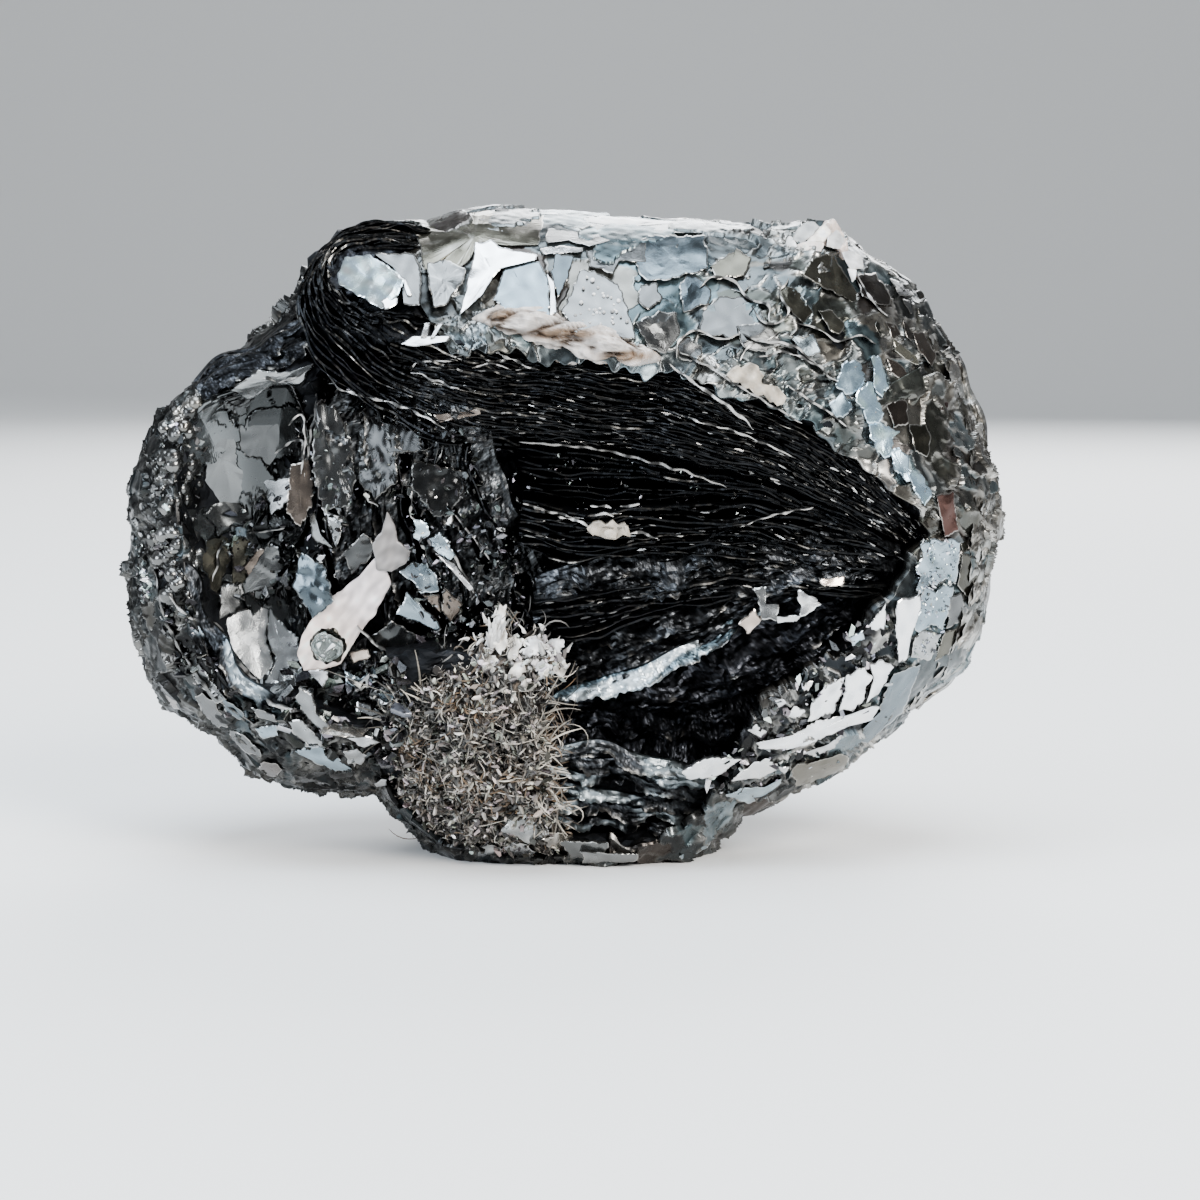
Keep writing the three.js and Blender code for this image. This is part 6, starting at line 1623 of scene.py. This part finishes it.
ochre_stain = quartz("ochre_stain", (1.0, 0.86, 0.66), rough=0.6)
grain("rusty_grain", "ochre_grain", (0.95, 0.9, 0.85), 513, ochre_stain, "ochre", (0.56, 0.38, 0.22))

# ---- quartz tip ----
# A crumpled stub of pinkish cream quartz on the upper right edge. Its body is five knobs that run together,
# and on its front lie the broken faces that make its crest: grey on the left, white along the top, bluish on
# the right.

TIP_FOOT = np.array([19.4, 48.0])
# The knobs' middles as x, z, then their half sizes.
TIP_KNOBS = np.array([
    [20.1, 49.6, 1.2, 1.4, 1.6], [19.1, 49.3, 1.2, 1.3, 1.3], [18.1, 49.4, 1.2, 1.2, 1.3],
    [20.8, 48.9, 1.0, 1.3, 1.1], [17.3, 49.0, 0.9, 1.0, 0.9],
])


def tip_front(x, z):
    """y of the plane that the tip's faces lie in: it starts on the shell's front and leans back as it goes
    up."""
    return front_at(*TIP_FOOT) - 0.4 + 0.9 * (z - TIP_FOOT[1]) + 0.30 * np.abs(x - 19.6)


def tip_body(seed=521, turns=44, rings=30):
    """Knobs that run together: a ball each, with its poles up and down, knocked flat and roughened by
    waves."""
    ball = ball_of(turns, rings, 0.05)[..., [0, 2, 1]] * [1, 1, -1]
    dice = np.random.default_rng(seed)
    points = []
    for number, (x, z, *half) in enumerate(TIP_KNOBS):
        radius = knocked(ball, dice, 16, 0.5, 0.85) * (1 + 0.05 * swell(ball, 0.5, seed + number))
        points.append([x, tip_front(x, z) + 1.1, z] + ball * radius[..., None] * half)
    return np.concatenate(points).reshape(-1, 3), tubes(len(TIP_KNOBS), rings, turns, turned=True)


tip_points, tip_faces = tip_body()
tip_tone = np.array([0.62, 0.53, 0.48]) * np.exp(0.3 * swell(tip_points, 1.2, 523))[:, None]
tip = build("crumpled_tip", tip_points, *tip_faces, tone=np.clip(tip_tone, 0, 0.9))
pink_quartz = quartz("pink_quartz", (1.0, 0.97, 0.94), rough=0.3, sheer=0.25)
tip.data.materials.append(pink_quartz)
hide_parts("quartz_tip")
torn_faces("tip_faces", 524, [
    ("grey", 0.34, 0.2, (0.3, 0.1), [[17.0, 49.6], [17.6, 50.6], [18.1, 51.0], [18.8, 51.1], [19.3, 50.7],
        [18.6, 49.9], [17.8, 49.3]]),
    ("clay", 0.88, 0.5, (-0.1, 0.2), [[18.2, 49.5], [19.0, 50.4], [20.15, 51.3], [20.5, 51.0], [20.0, 50.0],
        [19.4, 49.4]]),
    ("white", 0.50, 0.35, (0.7, 0.0), [[19.9, 50.1], [20.5, 51.0], [20.8, 50.3], [21.3, 49.5], [20.9, 48.9],
        [19.7, 49.1]]),
    ("beige", 0.80, 0.55, (0.0, -0.3), [[17.3, 49.2], [18.4, 49.6], [19.5, 49.4], [19.3, 48.7],
        [18.0, 48.7]]),
    ("white", 0.62, 0.45, (-0.2, 0.1), [[16.3, 48.6], [16.8, 50.0], [17.1, 49.9], [17.5, 49.0],
        [18.9, 48.5], [18.0, 47.6], [17.2, 47.9], [16.5, 47.8]]),
    ("white", 0.58, 0.3, (0.4, 0.1), [[20.9, 48.7], [21.9, 48.8], [22.5, 48.3], [22.6, 47.4], [21.6, 47.3],
        [21.1, 48.0]]),
    ("white", 0.90, 0.5, (0.1, -0.2), [[21.3, 47.4], [22.0, 47.3], [21.9, 46.6], [21.6, 46.3]]),
], ground=tip_front, thickness=0.8, bevel=0.10, ragged=0.04, rough=0.03, rim=0.2, bend=0.6, paint=pink_quartz)

# ---- pale blade and bead ----
# A lance of pinkish beige mica that leans across the dish's right edge, with a grey spearhead at its top, and
# a glassy bead of clear quartz at its foot, over a near-black disc that paints its shadow and dark outline
# and under white flakes that paint its highlights. Each is held in a socket of its own.

BLADE_FOOT = np.array([-21.5, 0, 16.5])
BLADE_BEIGE = np.array([1.12, 1.02, 0.98])
BLADE_LILAC = np.array([0.78, 0.77, 0.82])
BEAD_SHADOW_RADIUS = 1.5


def blade_plane(x, z):
    """y of the plane that the blade lies in: it comes forward a little to the right and at its top."""
    return -11.0 - 0.12 * (z - 21) - 0.12 * (x + 18)


pale_mica = metal("pale_mica", roughness=0.34, dullest=0.2, grain=600, dent=0.4, metallic=0.15)
blade = torn_faces("mica_blade", 525, [
    ("beige", 0.80, 0.0, (0, 0), [[-22.0, 17.2], [-21.5, 18.9], [-20.7, 20.1], [-20.0, 21.1], [-18.5, 22.3],
        [-17.0, 23.5], [-15.7, 25.0], [-14.9, 24.3], [-14.5, 22.9], [-15.3, 21.4], [-15.9, 20.2],
        [-16.6, 19.6], [-18.1, 17.2], [-18.6, 16.4], [-20.0, 16.0], [-21.5, 15.9]]),
    ("clay", 0.26, 0.25, (0, 0), [[-14.7, 28.6], [-14.1, 27.6], [-13.9, 26.3], [-12.9, 25.5], [-13.2, 24.6],
        [-14.4, 23.9], [-15.6, 24.0], [-15.7, 25.1], [-15.9, 26.1], [-15.1, 27.2]]),
], ground=blade_plane, thickness=0.9, bevel=0.16, ragged=0.035, rough=0.02, rim=0.2, paint=pale_mica)
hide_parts("pale_blade")
blade_points = np.empty(3 * len(blade.data.vertices), np.float32)
blade_tone = np.empty(4 * len(blade.data.vertices), np.float32)
blade.data.vertices.foreach_get("co", blade_points)
blade.data.attributes["tone"].data.foreach_get("color", blade_tone)
blade_points, blade_tone = blade_points.reshape(-1, 3) / MM, blade_tone.reshape(-1, 4)
# Its colour turns from beige to lilac up the blade, and waves drawn out along it streak it.
up_blade = (blade_points - BLADE_FOOT) @ np.array([0.60, 0, 0.80])
over_blade = (blade_points - BLADE_FOOT) @ np.array([0.80, 0, -0.60])
streak = swell(np.stack([0.25 * up_blade, over_blade], -1), 0.9, 527)
streak += 0.6 * swell(np.stack([0.5 * up_blade, over_blade], -1), 0.5, 528)
lilac = ease((up_blade - 3.0) / 4.5)[:, None]
blade_tone[:, :3] *= ((1 - lilac) * BLADE_BEIGE + lilac * BLADE_LILAC) * np.exp(0.16 * streak)[:, None]
blade.data.attributes["tone"].data.foreach_set("color", np.clip(blade_tone, 0, 1).ravel())


def clear_quartz(name):
    """Clear quartz: see-through, index 1.54, with a faint grey-green cast."""
    paint = bpy.data.materials.new(name)
    paint.use_nodes = True
    shader = paint.node_tree.nodes["Principled BSDF"]
    shader.inputs["Base Color"].default_value = (0.50, 0.57, 0.55, 1)
    shader.inputs["Roughness"].default_value = 0.03
    shader.inputs["IOR"].default_value = 1.54
    shader.inputs["Transmission Weight"].default_value = 0.9
    return paint


bead_middle = np.array(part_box("quartz_bead")).mean(0) / MM
turn = np.linspace(0, 2 * np.pi, 16, endpoint=False)
# A near-black disc behind the bead paints its shadow and dark outline.
torn_faces("bead_shadow", 529, [
    ("olive", 0.012, 0.10, (0, 0), bead_middle[[0, 2]] + BEAD_SHADOW_RADIUS * np.stack([np.cos(turn), np.sin(turn)],
        -1)),
], ground=blade_plane, thickness=0.5, bevel=0.2, ragged=0.08, rim=0.02, bend=0, dents=0)
grain("glassy_bead", "quartz_bead", (1.3, 1.15, 1.25), 531, clear_quartz("clear_quartz"), "clear_quartz",
      (0.8, 0.8, 0.8), 1.0)
# White flakes on the bead's front paint its highlights.
glint_depth = blade_plane(*bead_middle[[0, 2]]) - bead_middle[1] + 1.95
glint_corners = np.array([[[-0.80, 0.42], [-0.34, 0.60], [-0.42, 0.34], [-0.62, 0.02]],
                  [[-0.20, -0.34], [0.04, -0.14], [0.78, 0.30], [0.50, 0.52]],
                  [[-0.46, -0.50], [-0.20, -0.62], [-0.06, -0.52], [-0.30, -0.38]]]) + bead_middle[[0, 2]]
torn_faces("bead_glints", 533, [("white", 0.85, glint_depth, (0, 0), corners) for corners in glint_corners],
           ground=blade_plane, thickness=0.12, bevel=0.05, ragged=0.05, rim=0, bend=0, dents=0,
           paint=cream_quartz)

# ---- fibrous mat ----
# A felt of fine brittle needles, tan, grey and cream, grown in a pocket at the foot of the front. Under them
# lies a crumbly brown bed, cream tufts and rags stand up at its top, and small plates of the nodule lie at
# its foot.

MAT = np.array([
    [-15.6, 12.6], [-12.8, 15.6], [-8.4, 18.2], [-4.6, 20.2], [-1.2, 17.6], [-2.2, 13.6], [-2.0, 9.0],
    [-1.6, 4.4], [-0.8, 0.6], [-6.0, 0.5], [-11.4, 0.9], [-13.6, 3.0], [-15.4, 5.6], [-14.6, 9.2],
])
MAT_MIDDLE = np.array([-7.6, 9.6])
MAT_PROUD = 1.6
CLOD_TONES = np.array([
    [0.012, 0.010, 0.009], [0.060, 0.044, 0.031], [0.095, 0.088, 0.078], [0.40, 0.36, 0.31],
])
CLOD_SHARES = (0.34, 0.64, 0.86)
FIBRE_TAN = np.array([0.17, 0.108, 0.060])
FIBRE_GREY = np.array([0.10, 0.094, 0.085])
FIBRE_CREAM = np.array([0.54, 0.49, 0.42])


def mat_front(x, z):
    """y of the mat's face: the whole front, brought forward by the mat's own crown and by knots of two
    sizes."""
    heading = np.arctan2(z - MAT_MIDDLE[1], x - MAT_MIDDLE[0])
    share = np.hypot(x - MAT_MIDDLE[0], z - MAT_MIDDLE[1]) / radius_of(MAT, MAT_MIDDLE, heading)
    knots = 0.5 * np.sin(1.7 * x + 0.5) * np.sin(1.5 * z) + 0.3 * np.sin(2.9 * x - 2.3 * z)
    return front_at(x, z) + 0.9 - (MAT_PROUD + knots + 0.5) * crown(share)


def round_mat(heading, share):
    """x and z at a heading round the mat's middle, at a share of the way out to its outline."""
    away = share * radius_of(MAT, MAT_MIDDLE, heading)
    return MAT_MIDDLE[0] + away * np.cos(heading), MAT_MIDDLE[1] + away * np.sin(heading)


def mat_bed(headings=300, rings=110):
    """The crumbly bed: rings round the mat's middle out to its outline and back again behind. A mosaic of
    small clods displaces it, each clod with its own height and colour and with dark cracks between them."""
    heading = np.linspace(0, 2 * np.pi, headings, endpoint=False)
    out = np.concatenate([np.sqrt(np.linspace(0.0004, 1, rings)), [0.7, 0.3, 0.02]])[:, None]
    waves = 0.06 * np.sin(6 * heading + 1) + 0.05 * np.sin(13 * heading) + 0.04 * np.sin(29 * heading)
    x, z = round_mat(heading, out * (0.92 + waves))
    points = np.stack([x, mat_front(x, z) + 0.3, z], -1)
    face = points[:rings].reshape(-1, 3)
    dice = np.random.default_rng(601)
    clods = face[dice.choice(len(face), 1500, replace=False)]
    height, crack, clod = mosaic(face, clods, 602, 0.32, 0.7, -0.25, 0.10, 0.35)
    points[:rings, :, 1] -= (height + 0.10 * swell(face, 0.5, 603)).reshape(rings, headings)
    points[rings:, :, 1] = points[rings - 1:rings, :, 1] + 2.5
    points[..., 2] = np.maximum(points[..., 2], 0.15)
    own = CLOD_TONES[np.searchsorted(CLOD_SHARES, dice.random(len(clods)))]
    own = own * dice.uniform(0.5, 1.4, (len(clods), 1))
    tone = own[clod] * (1 - 0.9 * crack[:, None]) * np.exp(0.3 * swell(face, 0.6, 604))[:, None]
    tone = np.concatenate([tone, np.full((3 * headings, 3), 0.02)])
    return points.reshape(-1, 3), tubes(1, rings + 3, headings, turned=True), tone


def mat_rods(name, points, tone, shades):
    """The piece that many thin rods make, from their corners as rods, rings and sides. A rod's colour is its
    own tone times a painted shade for each ring, darker where the rod meets the bed."""
    count, rings, sides = points.shape[:3]
    points[..., 2] = np.maximum(points[..., 2], 0.06)
    tones = np.repeat(tone, rings * sides, 0) * np.tile(np.repeat(shades, sides), count)[:, None]
    rods = build(name, points.reshape(-1, 3), *tubes(count, rings, sides), tone=np.clip(tones, 0.01, 0.95))
    rods.data.materials.append(dry_fibre)


def needles(name, root, way, length, radius, bend, tone, seed, sides=3, joints=4):
    """Many needles at once: each a thin rod that leaves its root along its way, bends aside by the square of
    the way along, and tapers to its tip."""
    dice = np.random.default_rng(seed)
    count = len(root)
    first, second = across(way)
    step = np.linspace(0, 1, joints + 1)[None, :, None]
    toward = dice.uniform(0, 2 * np.pi, (count, 1))
    aside = np.cos(toward) * first + np.sin(toward) * second
    spine = root[:, None] + way[:, None] * length[:, None, None] * step
    spine = spine + aside[:, None] * bend[:, None, None] * step ** 2
    turn = 2 * np.pi * np.arange(sides) / sides
    ring = np.cos(turn)[:, None] * first[:, None, None] + np.sin(turn)[:, None] * second[:, None, None]
    thin = radius[:, None, None, None] * (1 - 0.75 * step[..., None] ** 2)
    points = spine[:, :, None] + thin * ring
    # Painted shade: darker at the root, lighter towards the tip.
    mat_rods(name, points, tone, 0.7 + 0.5 * step[0, :, 0])


def curled_fibres(name, count, seed, lengths, thick, sides=3, joints=7):
    """Short curly fibres that lie along the mat's face: each leaves a random root at a random heading, turns
    steadily as it goes, rises off the face in an arch and sinks back, and tapers at both ends."""
    dice = np.random.default_rng(seed)
    heading = dice.uniform(0, 2 * np.pi, count)
    out = np.sqrt(dice.random(count)) * dice.uniform(0.85, 1.12, count)
    root = np.stack(round_mat(heading, out), -1)
    step = np.linspace(0, 1, joints + 1)
    length = dice.uniform(*lengths, count) * np.where(dice.random(count) < 0.12, 2.0, 1)
    turn = dice.uniform(0, 2 * np.pi, (count, 1)) + dice.normal(0, 1.7, (count, 1)) * step
    ahead = np.stack([np.cos(turn), np.sin(turn)], -1) * (length / joints)[:, None, None]
    flat = np.cumsum(ahead, 1) + root[:, None]
    lift = dice.uniform(0.05, 0.65, (count, 1)) * np.sin(np.pi * step) + dice.uniform(-0.25, 0.25, (count, 1))
    y = mat_front(flat[..., 0], flat[..., 1]) + 0.1 - lift
    spine = np.stack([flat[..., 0], y, flat[..., 1]], -1)
    bare = ease((0.12 - swell(spine[:, 0] * [1, 0, 1], 3.2, seed + 4)) / 0.5)
    spine[..., 1] += 0.9 * (dice.random(count) > 0.25 + 0.75 * bare)[:, None]
    first = np.stack([-np.sin(turn), 0 * turn, np.cos(turn)], -1)
    around = 2 * np.pi * np.arange(sides) / sides
    ring = np.cos(around)[:, None] * first[:, :, None] + np.sin(around)[:, None] * np.array([0.0, -1.0, 0.0])
    thin = dice.uniform(*thick, (count, 1)) * (1 - 0.7 * np.abs(2 * step - 1) ** 3)
    points = spine[:, :, None] + thin[..., None, None] * ring
    warm = ease(swell(spine[:, 0], 6.0, seed + 1) * 0.8 + 0.45)[:, None]
    tone = np.where(dice.random((count, 1)) < 0.30, FIBRE_CREAM, FIBRE_GREY + (FIBRE_TAN - FIBRE_GREY) * warm)
    # Painted shade: darker at both ends where the fibre meets the bed, lighter on the arch.
    mat_rods(name, points, tone * dice.uniform(0.15, 1.3, (count, 1)), 0.5 + 0.6 * np.sin(np.pi * step))


# Dry brittle fibre: the colour kept at each point, speckled, matt.
dry_fibre, fibre_shader, *_ = toned_paint("dry_fibre", 2500, 2, 0.5, 1.4)
fibre_shader.inputs["Roughness"].default_value = 0.6
bed_points, bed_faces, bed_tone = mat_bed()
bed = build("mat_bed", bed_points, *bed_faces, tone=np.clip(bed_tone, 0.008, 0.7))
bed.data.materials.append(dry_fibre)
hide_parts("fibre_mat")
curled_fibres("mat_fibres", 2300, 611, (0.4, 1.5), (0.028, 0.08))
curled_fibres("long_fibres", 170, 612, (2.0, 4.2), (0.025, 0.05))


def white_tufts(count=90, seed=621):
    """White tufts at the mat's top: roots in clumps, and thick short curled rods that spread up and forward
    from each clump."""
    dice = np.random.default_rng(seed)
    clumps = np.array([[-6.0, 19.8], [-4.0, 18.4], [-2.4, 18.4], [-1.4, 17.0], [-3.2, 16.4], [-7.4, 17.6]])
    own = dice.integers(0, len(clumps), count)
    x, z = (clumps[own] + dice.normal(0, 0.6, (count, 2))).T
    root = np.stack([x, mat_front(x, z) + 0.2, z], -1)
    fan = np.stack([0.9 * (x - clumps[own, 0]) + 0.15,
                    np.full(count, -0.6),
                    0.9 * (z - clumps[own, 1]) + 0.4], -1)
    way = unit(fan + dice.normal(0, 0.6, (count, 3)))
    tone = np.array([0.84, 0.81, 0.77]) * dice.uniform(0.3, 1.15, (count, 1))
    needles("white_tufts", root, way, dice.uniform(0.3, 0.8, count), dice.uniform(0.10, 0.22, count),
            dice.normal(0, 0.5, count), tone, seed + 1, sides=5, joints=5)


white_tufts()
torn_faces("white_rags", 651, [
    ("clay", 0.78, 0.5, (0.2, 0.2), [[-6.5, 18.4], [-6.4, 20.2], [-5.9, 21.6], [-5.4, 21.4], [-5.6, 20.0],
        [-5.2, 18.8], [-5.8, 17.9]]),
    ("clay", 0.70, 0.3, (-0.4, 0.2), [[-5.5, 17.9], [-5.2, 19.0], [-4.6, 19.3], [-4.2, 18.6], [-4.5, 17.9],
        [-5.0, 17.3]]),
    ("white", 0.80, 0.5, (0.3, -0.2), [[-4.1, 18.2], [-3.6, 19.1], [-2.9, 19.3], [-2.5, 18.6], [-2.9, 17.9],
        [-3.7, 17.6]]),
    ("white", 0.66, 0.2, (-0.3, 0.4), [[-2.3, 18.6], [-1.8, 19.1], [-1.0, 18.8], [-0.9, 18.2], [-1.5, 17.7],
        [-2.2, 17.9]]),
    ("clay", 0.60, 0.3, (0.4, 0.0), [[-5.0, 17.0], [-4.4, 17.7], [-3.7, 17.3], [-3.5, 16.6], [-4.4, 16.1],
        [-5.2, 16.4]]),
    ("white", 0.74, 0.4, (-0.2, -0.4), [[-3.2, 17.1], [-2.6, 17.5], [-1.9, 17.0], [-2.0, 16.2],
        [-2.8, 15.9]]),
    ("clay", 0.62, 0.3, (0.3, 0.3), [[-1.7, 17.3], [-1.0, 17.3], [-0.6, 16.6], [-1.1, 15.8], [-1.8, 16.3]]),
    ("clay", 0.50, 0.2, (0.0, 0.4), [[-7.4, 17.2], [-6.6, 17.8], [-5.8, 17.3], [-6.2, 16.6], [-7.0, 16.5]]),
    ("clay", 0.46, 0.1, (-0.4, 0.0), [[-4.6, 15.9], [-3.9, 16.0], [-3.1, 15.5], [-3.5, 14.9],
        [-4.4, 15.1]]),
], ground=mat_front, thickness=0.7, bevel=0.25, ragged=0.12, rough=0.16, rim=0.1, paint=dry_fibre)
crumbs("white_shards", 641, 130, [[-8.0, 17.0], [-6.6, 19.0], [-3.8, 19.6], [-1.0, 18.6], [-0.6, 16.0],
    [-2.6, 14.8], [-5.0, 16.0]], (-0.6, 0.2), (0.15, 0.5), bright=0.95, ground=mat_front,
    cast=(1.0, 0.97, 0.93), narrow=0.45, paint=dry_fibre, even=1.5)
crumbs("mat_shards", 645, 900, [[-15.4, 12.4], [-8.4, 17.6], [-2.6, 15.0], [-1.4, 0.8], [-11.0, 0.9],
    [-15.0, 6.0]], (-0.6, 0.1), (0.12, 0.46), bright=0.75, ground=mat_front, cast=(1.0, 0.92, 0.82),
    paint=dry_fibre, narrow=0.36, even=2.2)
torn_faces("foot_plates", 655, [
    ("grey", 0.34, 0.5, (0.2, 0.3), [[-5.6, 4.2], [-4.2, 4.6], [-3.0, 4.0], [-2.2, 3.2], [-2.6, 2.4],
        [-3.8, 2.2], [-4.8, 2.8], [-5.8, 3.4]]),
    ("white", 0.46, 0.5, (-0.2, 0.2), [[-5.0, 2.2], [-4.0, 2.0], [-3.4, 1.2], [-4.0, 0.5], [-5.2, 0.6],
        [-5.8, 1.4]]),
    ("clay", 0.36, 0.4, (0.1, 0.1), [[-2.6, 2.6], [-1.4, 3.0], [-0.4, 2.4], [-0.8, 1.6], [-2.0, 1.4]]),
    ("grey", 0.28, 0.4, (0.2, 0.0), [[-7.8, 1.6], [-6.6, 2.0], [-5.9, 1.2], [-6.6, 0.5], [-7.8, 0.7]]),
], ground=mat_front, thickness=0.7, ragged=0.12, rough=0.08, rim=0.3)


def upright_tuft(count=26, seed=631):
    """One tuft that stands higher than the rest: thick rods from one root, nearly straight up."""
    dice = np.random.default_rng(seed)
    root = np.array([-6.4, 0.0, 18.6]) + dice.normal(0, 0.2, (count, 3))
    root[:, 1] = mat_front(root[:, 0], root[:, 2])
    way = unit(np.array([0.3, -0.4, 1.0]) + dice.normal(0, 0.14, (count, 3)))
    tone = np.array([0.74, 0.72, 0.69]) * dice.uniform(0.4, 1.1, (count, 1))
    needles("upright_tuft", root, way, dice.uniform(1.2, 2.5, count), dice.uniform(0.12, 0.22, count),
            dice.normal(0, 0.2, count), tone, seed + 1, sides=5)


def edge_strands(right=60, left=20, seed=661):
    """Loose strands that stick out past the mat's right edge and its upper left."""
    dice = np.random.default_rng(seed)
    count = right + left
    heading = np.concatenate([dice.uniform(-1.1, 0.75, right), dice.uniform(2.2, 3.0, left)])
    x, z = round_mat(heading, dice.uniform(0.7, 0.98, count))
    way = np.stack([np.cos(heading), np.full(count, -0.25), np.sin(heading)], -1)
    way = unit(way + dice.normal(0, [0.55, 0.12, 0.55], (count, 3)))
    tone = np.array([0.46, 0.41, 0.34]) * dice.uniform(0.1, 1.6, (count, 1))
    needles("edge_strands", np.stack([x, mat_front(x, z) - 0.1, z], -1), way, dice.uniform(0.6, 2.8, count),
            dice.uniform(0.03, 0.10, count), dice.normal(0, 0.9, count), tone, seed + 1, joints=6)


upright_tuft()
edge_strands()
